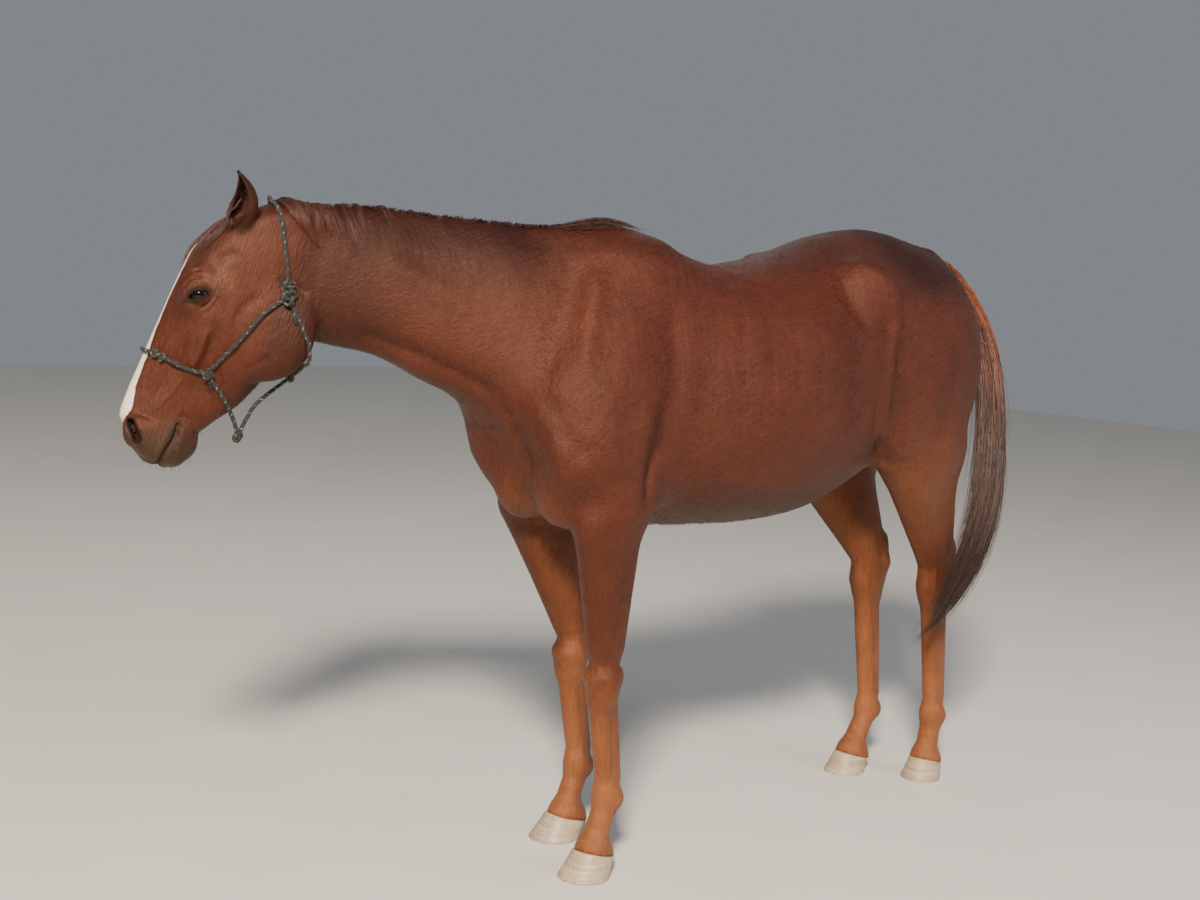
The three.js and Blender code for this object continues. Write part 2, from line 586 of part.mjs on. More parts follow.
/** A closed sheet: a grid of outer points over a grid of inner points, joined round the rim. */
function sheetSolid(columns, rows, outer, inner) {
  const vertices = [], triangles = [];
  for (const layer of [outer, inner])
    for (let j = 0; j <= rows; j++)
      for (let i = 0; i <= columns; i++) vertices.push(...layer(i / columns, j / rows));
  const half = (columns + 1) * (rows + 1);
  const at = (i, j, layer) => layer * half + j * (columns + 1) + i;
  const quad = (a, b, c, d) => triangles.push(a, b, c, a, c, d);
  for (let j = 0; j < rows; j++)
    for (let i = 0; i < columns; i++) {
      quad(at(i, j, 0), at(i + 1, j, 0), at(i + 1, j + 1, 0), at(i, j + 1, 0));
      quad(at(i, j, 1), at(i, j + 1, 1), at(i + 1, j + 1, 1), at(i + 1, j, 1));
    }
  const rim = [];
  for (let i = 0; i < columns; i++) rim.push([i, 0]);
  for (let j = 0; j < rows; j++) rim.push([columns, j]);
  for (let i = columns; i > 0; i--) rim.push([i, rows]);
  for (let j = rows; j > 0; j--) rim.push([0, j]);
  rim.forEach(([i, j], n) => {
    const [k, l] = rim[(n + 1) % rim.length];
    quad(at(i, j, 1), at(k, l, 1), at(k, l, 0), at(i, j, 0));
  });
  const solid = solidOf({ vertices: new Float32Array(vertices), triangles: new Uint32Array(triangles) });
  return solid.volume() < 0 ? solidOf({
    vertices: new Float32Array(vertices),
    triangles: new Uint32Array(triangles).reverse(),
  }) : solid;
}

/** A cupped leaf from its base to its tip, open towards `faces`. */
function earSolid({ base, tip, faces }) {
  const from = new THREE.Vector3(...base), to = new THREE.Vector3(...tip);
  const axis = to.clone().sub(from).normalize();
  const across = new THREE.Vector3(...faces).cross(axis).normalize();
  const open = axis.clone().cross(across).normalize();
  const last = EAR_WIDTHS.length - 1;
  const widthAt = (t) => {
    const i = Math.min(Math.floor(t * last), last - 1);
    return EAR_WIDTHS[i] + (EAR_WIDTHS[i + 1] - EAR_WIDTHS[i]) * (t * last - i);
  };
  const point = (inset) => (u, v) => {
    const half = Math.max(widthAt(v) - inset, 1);
    const wrap = THREE.MathUtils.degToRad(140 - 75 * v);
    const a = (2 * u - 1) * wrap;
    const lean = 14 * Math.sin(Math.PI * v);
    return from.clone().lerp(to, v)
      .addScaledVector(across, half * Math.sin(a))
      .addScaledVector(open, -half * Math.cos(a) * 0.8 - lean).toArray();
  };
  return sheetSolid(6, 5, point(0), point(EAR_THICKNESS));
}

// ---------------------------------------------------------------- the coat's long hair
/** The point at `level` above the flesh that is found from p by following the field's slope. */
function onFlesh(field, p, level) {
  let q = p;
  for (let i = 0; i < 8; i++) {
    const d = field(...q) - level;
    const g = [0, 1, 2].map((n) => field(...q.map((v, k) => v + (k === n ? 1 : 0))) - level - d);
    q = sub(q, scale(g, d / Math.max(dot(g, g), 0.2)));
  }
  return q;
}

// The hair's roots lie round a line inside the neck, axisZ high, and are looked for `search` out.
const MANE = {
  from: 1318, to: 690, overCrest: -10, thickness: 13, clear: 4.5, axisZ: 1330, search: 150,
  headGap: 2,
};
/** Degrees round the crest that the mane hangs down, at u from the poll to the withers. */
const maneDrop = (u) => 66 * Math.sin(Math.PI * Math.min(0.3 + 0.7 * u, 1)) ** 0.6 + 14;

/** The mane: a sheet of hair from the crest down the right side of the neck. */
function maneSolid() {
  const layer = (level) => (u, v) => {
    const s = MANE.from + (MANE.to - MANE.from) * u;
    const angle = THREE.MathUtils.degToRad(MANE.overCrest + (maneDrop(u) - MANE.overCrest) * v);
    const centre = spinePoint(s, 0, MANE.axisZ);
    const turn = Math.min((s + BEND_X) / BEND_RADIUS, NECK_TURN);
    const away = [Math.sin(turn), Math.cos(turn), 0];
    const out = add(scale(away, Math.sin(angle)), [0, 0, Math.cos(angle)]);
    const start = add(centre, scale(out, MANE.search));
    return onFlesh(body, start, level);
  };
  return sheetSolid(8, 3, layer(MANE.thickness), layer(MANE.clear));
}

const FORELOCK = { from: 22, to: 205, halfWidth: 34, thickness: 10, clear: 2.5 };
/** The forelock: a tapering sheet of hair from between the ears down the forehead. */
function forelockSolid() {
  const field = (down, left, out) => body(...headPoint(down, out, left));
  const layer = (level) => (u, v) => {
    const down = FORELOCK.from + (FORELOCK.to - FORELOCK.from) * v;
    const half = FORELOCK.halfWidth * (1 - 0.8 * v * v);
    return onFlesh(field, [down, 12 * v + half * (2 * u - 1), 60 + 40 * v], level);
  };
  return sheetSolid(3, 5, layer(FORELOCK.thickness), layer(FORELOCK.clear));
}

// The tail's path from the dock: [x, y, z, half width along the body, half width across].
const TAIL_STATIONS = [
  [650, 0, 1440, 36, 34],
  [702, -8, 1408, 40, 36],
  [752, -30, 1352, 42, 38],
  [792, -62, 1262, 44, 40],
  [806, -92, 1150, 48, 40],
  [800, -118, 1010, 54, 38],
  [776, -142, 876, 58, 34],
  [734, -162, 756, 58, 28],
  [668, -176, 652, 54, 24],
  [590, -184, 570, 46, 20],
  [505, -186, 505, 34, 15],
  [430, -186, 458, 14, 8],
];
const TAIL_SIDES = 8;

/** The tail: rings round a path from the dock to the tips of its hair. */
function tailSolid() {
  const path = new THREE.CatmullRomCurve3(TAIL_STATIONS.map(([x, y, z]) => new THREE.Vector3(x, y, z)));
  const vertices = [], triangles = [];
  const rings = TAIL_STATIONS.length;
  TAIL_STATIONS.forEach(([x, y, z, along, across], i) => {
    const ahead = path.getTangent(i / (rings - 1));
    const wide = new THREE.Vector3(0, 1, 0).cross(ahead).normalize();
    const thick = ahead.clone().cross(wide).normalize();
    for (let k = 0; k < TAIL_SIDES; k++) {
      const a = (2 * Math.PI * k) / TAIL_SIDES;
      const p = new THREE.Vector3(x, y, z)
        .addScaledVector(wide, along * Math.cos(a))
        .addScaledVector(thick, across * Math.sin(a));
      vertices.push(p.x, p.y, p.z);
    }
  });
  const at = (i, k) => i * TAIL_SIDES + (k % TAIL_SIDES);
  for (let i = 0; i < rings - 1; i++)
    for (let k = 0; k < TAIL_SIDES; k++) {
      triangles.push(at(i, k), at(i, k + 1), at(i + 1, k + 1), at(i, k), at(i + 1, k + 1), at(i + 1, k));
    }
  for (let k = 1; k < TAIL_SIDES - 1; k++) {
    triangles.push(at(0, 0), at(0, k + 1), at(0, k));
    triangles.push(at(rings - 1, 0), at(rings - 1, k), at(rings - 1, k + 1));
  }
  const made = { vertices: new Float32Array(vertices), triangles: new Uint32Array(triangles) };
  const solid = solidOf(made);
  return solid.volume() < 0 ? solidOf({ ...made, triangles: made.triangles.reverse() }) : solid;
}

// ---------------------------------------------------------------- hooves
const HOOF_SIDES = 14;
const HEEL_BLUNTNESS = 0.92; // the heel reaches less far back than the toe does forward
const HOOF_LEVELS = [0, 0.5, 1]; // from the floor to the hairline

/** A hoof in its own frame: on the floor, toe towards -X, the hairline falling to the heel. */
function hoofGeometry({ floor, hairline: top, back, rise, fall }) {
  const slope = Math.tan(THREE.MathUtils.degToRad(fall));
  const vertices = [], triangles = [];
  for (const t of HOOF_LEVELS)
    for (let k = 0; k < HOOF_SIDES; k++) {
      const a = (2 * Math.PI * k) / HOOF_SIDES;
      const toeward = Math.cos(a), aside = Math.sin(a);
      const squarer = toeward < 0 ? HEEL_BLUNTNESS : 1;
      const x0 = -floor[0] * toeward * squarer, y0 = floor[1] * aside;
      const x1 = back - top[0] * toeward * squarer, y1 = top[1] * aside;
      const z1 = rise - GAP + slope * top[0] * toeward * squarer;
      vertices.push(x0 + (x1 - x0) * t, y0 + (y1 - y0) * t, z1 * t);
    }
  const at = (i, k) => i * HOOF_SIDES + (k % HOOF_SIDES);
  const last = HOOF_LEVELS.length - 1;
  for (let i = 0; i < last; i++)
    for (let k = 0; k < HOOF_SIDES; k++) {
      triangles.push(at(i, k), at(i + 1, k + 1), at(i, k + 1), at(i, k), at(i + 1, k), at(i + 1, k + 1));
    }
  for (let k = 1; k < HOOF_SIDES - 1; k++) {
    triangles.push(at(0, 0), at(0, k), at(0, k + 1));
    triangles.push(at(last, 0), at(last, k + 1), at(last, k));
  }
  const geometry = new THREE.BufferGeometry();
  geometry.setAttribute("position", new THREE.BufferAttribute(new Float32Array(vertices), 3));
  geometry.setIndex(triangles);
  geometry.computeVertexNormals();
  return geometry;
}

// ---------------------------------------------------------------- the rope halter, in the head's frame
const ROPE = { radius: 4.5, sides: 6, step: 60, clear: 3.6 };
const THROAT_KNOT = [176, -106];
const SIDE_KNOT = [389, -16];
const NOSE_KNOT = [393, 92];
const CHIN_KNOT = [492, -132];
const JAW_KNOT = [332, -184];
const KNOT_RADIUS = 11;
const KNOT_SIDES = 7;
const KNOT_RINGS = 4;

/** A point of the halter over the flesh of one side, from (down, out) and a rough distance aside. */
function overFlesh(down, out, aside, side, height = ROPE.radius + ROPE.clear) {
  const field = (d, l, o) => body(...headPoint(d, o, l));
  return new THREE.Vector3(...onFlesh(field, [down, side * aside, out], height));
}

/** A rope along a route of points, round in section and flat at both ends. */
function ropeSolid(points) {
  const path = new THREE.CatmullRomCurve3(points, false, "centripetal");
  const ring = new THREE.Shape();
  for (let k = 0; k < ROPE.sides; k++) {
    const a = (2 * Math.PI * k) / ROPE.sides;
    const corner = [ROPE.radius * Math.cos(a), ROPE.radius * Math.sin(a)];
    if (k === 0) ring.moveTo(...corner);
    else ring.lineTo(...corner);
  }
  ring.closePath();
  const steps = Math.max(3, Math.round(path.getLength() / ROPE.step));
  return solidOfGeometry(new THREE.ExtrudeGeometry(ring, { extrudePath: path, steps }));
}

/** Routes of the halter's ropes on one side, each a list of points. */
function halterRoutes(side) {
  const p = (down, out, aside) => overFlesh(down, out, aside, side);
  const free = (down, out, left) => new THREE.Vector3(down, side * left, out);
  return {
    crown: [
      free(1, 5, 2), p(6, 0, 24), p(34, -26, 70), p(63, -46, 80), p(100, -70, 90), p(140, -92, 90),
      p(...THROAT_KNOT, 90),
    ],
    cheek: [p(...THROAT_KNOT, 90), p(230, -72, 90), p(290, -52, 90), p(340, -34, 80), p(...SIDE_KNOT, 70)],
    noseband: [
      free(397, 118, 2), p(397, 112, 20), p(...NOSE_KNOT, 40), p(396, 62, 60), p(395, 30, 64),
      p(...SIDE_KNOT, 70),
    ],
    chin: [
      p(...SIDE_KNOT, 70), p(406, -40, 64), p(428, -72, 50), free(448, -96, 26), free(472, -118, 10),
      free(...CHIN_KNOT, 3),
    ],
    throat: [
      free(...JAW_KNOT, 4), p(300, -196, 40), p(262, -190, 66), p(226, -160, 80), p(...THROAT_KNOT, 90),
    ],
  };
}

function knotSolid(centre, radius = KNOT_RADIUS) {
  const ball = new THREE.SphereGeometry(radius, KNOT_SIDES, KNOT_RINGS);
  return solidOfGeometry(ball, new THREE.Matrix4().makeTranslation(centre.x, centre.y, centre.z));
}

// ---------------------------------------------------------------- materials
const finish = (color, roughness, metalness = 0) => () =>
  new THREE.MeshStandardMaterial({ color, roughness, metalness });
const coat = finish(0x7d3a20, 0.5);
const lowerCoat = finish(0x9b5630, 0.6);
const hair = finish(0x86492b, 0.6);
const horn = finish(0x9c968a, 0.55);
const wetEye = finish(0x1d120d, 0.08);
const rope = finish(0x3d4237, 0.85);

// ---------------------------------------------------------------- the horse
const horse = new THREE.Group();
const headGroup = new THREE.Group();
headGroup.position.setFromMatrixPosition(HEAD_MATRIX);
headGroup.quaternion.setFromRotationMatrix(HEAD_MATRIX);
horse.add(headGroup);

/** Adds a named mesh of a solid to a group. */
function addSolid(group, name, solid, material) {
  const mesh = new THREE.Mesh(geometryOf(solid), material());
  mesh.name = name;
  group.add(mesh);
  return mesh;
}

/** The trunk, hindquarters and neck, each cut from the flesh. */
function addTrunk() {
  const neck = flesh([-1500, -170, 950], [-690, 480, 1560], [74, 52, 64], [
    [behind, HEAD_CUT],
    [ahead, SHOULDER_CUT],
  ]);
  const trunk = flesh([-910, -350, 740], [300, 350, 1560], [118, 66, 74], [
    [behind, SHOULDER_CUT],
    [ahead, FLANK_CUT],
    [ahead, FORELEG_CUT],
  ]);
  const hindquarters = flesh([50, -340, 740], [760, 340, 1580], [79, 62, 76], [
    [behind, FLANK_CUT],
    [ahead, HINDLEG_CUT],
  ]);
  addSolid(horse, "neck", neck, coat);
  addSolid(horse, "trunk", trunk, coat);
  addSolid(horse, "hindquarters", hindquarters, coat);
  const crest = maneSolid().subtract(grown(neck, 2 * GAP)).subtract(grown(trunk, 2 * GAP));
  const mane = crest.trimByPlane(scale(HEAD_CUT.normal, -1), MANE.headGap - HEAD_CUT.offset);
  addSolid(horse, "mane", largest(mane), hair);
  addSolid(horse, "tail", largest(tailSolid().subtract(grown(hindquarters, 2 * GAP))), hair);
}

/** One leg: its upper and lower flesh and its hoof. */
function addLeg(name, leg, hoofSizes, { topCut, midZ, upper, lower }) {
  const { side, hoof, toeOut } = leg;
  const over = ([x, y, z], [X, Y, Z]) => (side > 0 ? [[x, y, z], [X, Y, Z]] : [[x, -Y, z], [X, -y, Z]]);
  const midCut = cutAt([0, 0, midZ], [0, 0, 1]);
  const { centre, up } = hairline(hoofSizes, side, hoof, toeOut);
  const upperSolid = flesh(...over(...upper.box), upper.cell, [[behind, topCut], [ahead, midCut]]);
  const lowerSolid = flesh(...over(...lower.box), lower.cell, [[behind, midCut], [ahead, cutAt(centre, up)]]);
  addSolid(horse, name + "_upper", upperSolid, coat);
  addSolid(horse, name + "_lower", lowerSolid, lowerCoat);
  const mesh = new THREE.Mesh(hoofGeometry(hoofSizes), horn());
  mesh.name = name + "_hoof";
  mesh.position.set(hoof[0], side * hoof[1], 0);
  mesh.rotation.z = -side * THREE.MathUtils.degToRad(toeOut);
  horse.add(mesh);
}

/** The head with its eyes, ears and forelock. */
function addHead() {
  const eyes = { left: eyeSolid(1), right: eyeSolid(-1) };
  const head = headSolid(Object.values(eyes));
  const over = grown(head, 2 * GAP);
  addSolid(headGroup, "head", head, coat);
  addSolid(headGroup, "forelock", largest(forelockSolid().subtract(over)), hair);
  for (const side of ["left", "right"]) {
    addSolid(headGroup, "eye_" + side, eyes[side], wetEye);
    addSolid(headGroup, "ear_" + side, largest(earSolid(EARS[side]).subtract(over)), coat);
  }
  return over;
}

/** The rope halter: ropes between knots, each clear of the head and of the knots it runs into. */
function addHalter(head) {
  const at = (down, out, left) => new THREE.Vector3(down, left, out);
  const knots = { chin: knotSolid(at(...CHIN_KNOT, 0), 14), jaw: knotSolid(at(...JAW_KNOT, 0), 12) };
  const routes = { jaw: [at(...CHIN_KNOT, 0), at(450, -134, 0), at(407, -143, 0), at(...JAW_KNOT, 0)] };
  for (const [name, side] of [["left", 1], ["right", -1]]) {
    const lift = KNOT_RADIUS + 1;
    knots["throat_" + name] = knotSolid(overFlesh(...THROAT_KNOT, 90, side, lift + 3), 15);
    knots["side_" + name] = knotSolid(overFlesh(...SIDE_KNOT, 70, side, lift));
    knots["nose_" + name] = knotSolid(overFlesh(...NOSE_KNOT, 40, side, lift - 3), 8);
    for (const [part, route] of Object.entries(halterRoutes(side))) routes[part + "_" + name] = route;
  }
  const blocks = Object.values(knots).map((knot) => grown(knot, 2 * GAP));
  for (const [name, knot] of Object.entries(knots)) {
    addSolid(headGroup, "halter_knot_" + name, largest(knot.subtract(head)), rope);
  }
  for (const [name, route] of Object.entries(routes)) {
    const cut = blocks.reduce((solid, block) => solid.subtract(block), ropeSolid(route).subtract(head));
    addSolid(headGroup, "halter_" + name, largest(cut), rope);
  }
}

addTrunk();
for (const [side, leg] of Object.entries(FORELEGS)) {
  addLeg("foreleg_" + side, leg, FORE_HOOF, {
    topCut: FORELEG_CUT,
    midZ: KNEE_CUT_Z,
    upper: { box: [[-830, 12, 340], [-400, 300, 900]], cell: [39, 35, 64] },
    lower: { box: [[-780, 30, 10], [-400, 210, 420]], cell: [26, 25, 46] },
  });
}
for (const [side, leg] of Object.entries(HINDLEGS)) {
  addLeg("hindleg_" + side, leg, HIND_HOOF, {
    topCut: HINDLEG_CUT,
    midZ: HOCK_CUT_Z,
    upper: { box: [[110, 3, 450], [760, 330, 1060]], cell: [50, 42, 62] },
    lower: { box: [[420, 12, 10], [780, 190, 540]], cell: [29, 26, 48] },
  });
}
addHalter(addHead());

// The origin goes to the middle of the base.
horse.updateMatrixWorld(true);
const box = new THREE.Box3().setFromObject(horse, true);
horse.position.set(-(box.min.x + box.max.x) / 2, -(box.min.y + box.max.y) / 2, -box.min.z);

export default horse;
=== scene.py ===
"""A chestnut riding horse in a rope halter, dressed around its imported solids.

The flesh is one smooth distance field in millimetres, in the horse's own frame: head towards -X,
left side towards -Y, floor at z = 0. The skin is that field's surface, a coat's depth inside the
solids. Hair, hooves, eyes and ropes are placed by the same field, then moved into the model's
frame in metres.
"""

from __future__ import annotations

import logging
import math
from dataclasses import dataclass, field
from enum import Enum
from typing import Any, Callable, Iterable, Sequence

import bmesh
import bpy
import numpy as np
from mathutils import Matrix, Vector

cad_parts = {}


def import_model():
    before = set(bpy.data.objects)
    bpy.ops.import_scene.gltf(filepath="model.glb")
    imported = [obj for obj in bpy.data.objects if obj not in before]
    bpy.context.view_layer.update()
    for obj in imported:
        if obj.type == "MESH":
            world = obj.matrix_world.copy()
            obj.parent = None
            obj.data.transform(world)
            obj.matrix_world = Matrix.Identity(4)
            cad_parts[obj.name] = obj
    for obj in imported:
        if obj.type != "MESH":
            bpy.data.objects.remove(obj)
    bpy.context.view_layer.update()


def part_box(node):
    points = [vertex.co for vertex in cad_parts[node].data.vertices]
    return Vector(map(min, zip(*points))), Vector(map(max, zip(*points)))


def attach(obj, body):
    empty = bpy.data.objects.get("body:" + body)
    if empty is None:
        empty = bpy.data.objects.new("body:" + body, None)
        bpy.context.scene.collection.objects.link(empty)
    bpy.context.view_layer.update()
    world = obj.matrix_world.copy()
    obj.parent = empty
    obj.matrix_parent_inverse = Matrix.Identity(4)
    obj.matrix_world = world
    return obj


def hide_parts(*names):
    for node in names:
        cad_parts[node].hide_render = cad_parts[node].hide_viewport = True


LOG = logging.getLogger("horse")
MM = 0.001
COAT_DEPTH = 2.0  # how far the skin lies inside the solids
HEAD_STRENGTH = 1.3  # how strongly the head's drawn folds show
HEAD_PLANE = -1215.0  # x where the head's faces and tufts meet the neck's
LEG_TUFTS = 560.0  # height under which the tufts belong to the legs
NEAR_LINES = 3.0  # how many widths away a drawn line is still worked out
BODY = "root"

Array = np.ndarray
Point = Sequence[float]


class Side(Enum):
    """The horse's own left and right, as the sign of y."""

    LEFT = -1
    RIGHT = 1

    @property
    def word(self) -> str:
        """The side's name in lower case."""
        return self.name.lower()


# ------------------------------------------------------------------ vectors and fields


def unit(v: Array) -> Array:
    """Vectors scaled to length one."""
    v = np.asarray(v, float)
    return v / np.maximum(np.linalg.norm(v, axis=-1, keepdims=True), 1e-9)


def smooth_step(value: Array, low: float, high: float) -> Array:
    """A ramp from 0 at low to 1 at high, level at both ends."""
    t = np.clip((value - low) / (high - low), 0.0, 1.0)
    return t * t * (3.0 - 2.0 * t)


def join(a: Array, b: Array, fillet: float) -> Array:
    """Joins two fields with a fillet about as wide as given."""
    h = np.maximum(fillet - np.abs(a - b), 0.0) / fillet
    return np.minimum(a, b) - h * h * fillet / 4.0


def carve(a: Array, b: Array, fillet: float) -> Array:
    """Takes the second field's inside out of the first."""
    return -join(-a, b, fillet)


def to_polyline(p: Array, path: Array) -> Array:
    """Distance from each point to a line through given points.

    Args:
        p: Points, one to a row.
        path: The line's corners, in as many dimensions as the points.

    Returns:
        One distance for each point.
    """
    best = np.full(len(p), np.inf)
    for a, b in zip(path[:-1], path[1:]):
        ab = b - a
        t = np.clip((p - a) @ ab / max(float(ab @ ab), 1e-9), 0.0, 1.0)
        best = np.minimum(best, np.linalg.norm(p - a - t[:, None] * ab, axis=1))
    return best


def rounded(path: Sequence[Point], steps: int) -> Array:
    """A smooth line through a few points, as steps points at even distances along it.

    Args:
        path: The points it goes through.
        steps: How many points.

    Returns:
        The points, one in each row.
    """
    p = np.asarray(path, float)
    ext = np.vstack([2 * p[0] - p[1], p, 2 * p[-1] - p[-2]])
    fine = []
    for i in range(len(p) - 1):
        a, b, c, d = ext[i : i + 4]
        t = np.linspace(0.0, 1.0, 16, endpoint=False)[:, None]
        fine.append(
            0.5 * (2 * b + (c - a) * t + (2 * a - 5 * b + 4 * c - d) * t**2 + (3 * b - a - 3 * c + d) * t**3)
        )
    fine.append(p[-1:])
    line = np.vstack(fine)
    run = np.concatenate([[0.0], np.cumsum(np.linalg.norm(np.diff(line, axis=0), axis=1))])
    at = np.linspace(0.0, run[-1], steps)
    return np.stack([np.interp(at, run, line[:, k]) for k in range(line.shape[1])], axis=1)


class Mass:
    """A shape that adds to the flesh, with the sphere that holds it."""

    centre: Array
    reach: float

    def distance(self, p: Array) -> Array:
        """Distance from each point to the shape, below zero inside it."""
        raise NotImplementedError


class Rod(Mass):
    """A tapered rod with round ends, squeezed along one direction."""

    def __init__(self, a: Point, b: Point, ra: float, rb: float, flat: float = 1.0) -> None:
        """Sets the rod's ends.

        Args:
            a: One end of its axis.
            b: The other end.
            ra: Radius at the first end.
            rb: Radius at the second end.
            flat: Share of its thickness left across the body.
        """
        self.a, end = np.asarray(a, float), np.asarray(b, float)
        self.ra, self.rb, self.flat = ra, rb, flat
        self.w = np.array([0.0, 1.0, 0.0])
        self.stretch = 1.0 / flat - 1.0
        axis = end - self.a
        self.centre = (self.a + end) / 2.0
        self.reach = float(np.linalg.norm(axis)) / 2.0 + max(ra, rb)
        self.axis = axis + self.w * self.stretch * axis[1]

    def distance(self, p: Array) -> Array:
        """Distance from each point to the rod.

        Args:
            p: The points.

        Returns:
            Distances in millimetres.
        """
        q = p - self.a
        q = q + (self.stretch * q[:, 1])[:, None] * self.w
        t = np.clip(q @ self.axis / (self.axis @ self.axis), 0.0, 1.0)
        r = q - t[:, None] * self.axis
        far = np.maximum(np.linalg.norm(r, axis=1), 1e-6)
        back = (1.0 - self.flat) * r[:, 1]
        real = np.linalg.norm(r - back[:, None] * self.w, axis=1)
        return (far - self.ra - (self.rb - self.ra) * t) * (real / far)


class Egg(Mass):
    """An egg-shaped mass with radii along its own axes, turned by pitch and then by yaw."""

    def __init__(self, centre: Point, radii: Point, pitch: float = 0.0, yaw: float = 0.0) -> None:
        """Sets the egg's place, radii and turn in degrees.

        Args:
            centre: Its middle.
            radii: Its three half lengths.
            pitch: Degrees nose up.
            yaw: Degrees to the left.
        """
        self.centre, self.radii = np.asarray(centre, float), np.asarray(radii, float)
        self.reach = float(max(radii))
        cp, sp = math.cos(math.radians(pitch)), math.sin(math.radians(pitch))
        cy, sy = math.cos(math.radians(yaw)), math.sin(math.radians(yaw))
        self.turn = np.array([[cy, -sy, 0], [sy, cy, 0], [0, 0, 1]]) @ np.array([[cp, 0, sp], [0, 1, 0], [-sp, 0, cp]])

    def distance(self, p: Array) -> Array:
        """Distance from each point to the egg.

        Args:
            p: The points.

        Returns:
            Distances in millimetres.
        """
        q = (p - self.centre) @ self.turn
        real = np.linalg.norm(q, axis=1)
        k = np.maximum(np.linalg.norm(q / self.radii, axis=1), 1e-6)
        least = -float(min(self.radii))
        return np.where(k < 0.05, least, np.maximum(real - real / k, least))


def blend_masses(d: Array, masses: Iterable[tuple[Mass, float]], p: Array) -> Array:
    """Blends each mass into a field wherever it comes near.

    Args:
        d: The field's value at each point.
        masses: Pairs of a mass and the width of its fillet.
        p: The points.

    Returns:
        The blended values.
    """
    d = d.copy()
    for mass, fillet in masses:
        near = np.linalg.norm(p - mass.centre, axis=1) - mass.reach <= d + fillet
        if near.any():
            d[near] = join(d[near], mass.distance(p[near]), fillet)
    return d


class Loft:
    """A body through stations of along, top, bottom, half width, widest level and squareness."""

    STEP = 4.0

    def __init__(self, stations: Sequence[Point], start_reach: float, end_reach: float) -> None:
        """Draws smooth curves through the stations.

        Args:
            stations: The table's rows.
            start_reach: How far the body tapers past its first station.
            end_reach: How far it tapers past its last.
        """
        self.start_reach, self.end_reach = start_reach, end_reach
        table = np.asarray(stations, float)
        s, v = table[:, 0], table[:, 1:]
        lo, hi = np.maximum(np.arange(len(s)) - 1, 0), np.minimum(np.arange(len(s)) + 1, len(s) - 1)
        slope = (v[hi] - v[lo]) / (s[hi] - s[lo])[:, None]
        self.first, self.last = s[0], s[-1]
        self.s = np.minimum(s[0] + self.STEP * np.arange(math.ceil((s[-1] - s[0]) / self.STEP) + 1), s[-1])
        i = np.clip(np.searchsorted(s, self.s, side="right") - 1, 0, len(s) - 2)
        span = (s[i + 1] - s[i])[:, None]
        t = (self.s[:, None] - s[i][:, None]) / span
        a, b, ma, mb = v[i], v[i + 1], slope[i] * span, slope[i + 1] * span
        self.rows = (
            (2 * t**3 - 3 * t * t + 1) * a
            + (t**3 - 2 * t * t + t) * ma
            + (3 * t * t - 2 * t**3) * b
            + (t**3 - t * t) * mb
        )

    def at(self, s: Array) -> list[Array]:
        """Top, bottom, width, level and both squarenesses at each distance along."""
        return [np.interp(s, self.s, self.rows[:, c]) for c in range(self.rows.shape[1])]

    def distance(self, s: Array, side: Array, up: Array) -> Array:
        """Distance from each point, given as along, aside and up, to the loft.

        Args:
            s: Distances along.
            side: Distances aside.
            up: Heights.

        Returns:
            Distances in millimetres.
        """
        top, bottom, width, level, upper, lower = self.at(s)
        rise = up - level
        above = rise > 0
        height = np.where(above, top - level, level - bottom)
        power = np.where(above, upper, lower)
        k = ((np.abs(side) / width) ** power + (np.abs(rise) / height) ** power) ** (1.0 / power)
        real = np.hypot(side, rise)
        radial = np.where(k < 0.05, -width, np.maximum(real - real / np.maximum(k, 1e-6), -width))
        past = np.maximum(np.maximum(self.first - s, s - self.last), 0.0)
        reach = np.where(s < self.first, self.start_reach, self.end_reach)
        beyond = np.hypot(np.maximum(radial, 0), past) + np.maximum(np.minimum(radial, 0), -reach)
        return np.where(past > 0, beyond, radial)


# ------------------------------------------------------------------ the horse's build


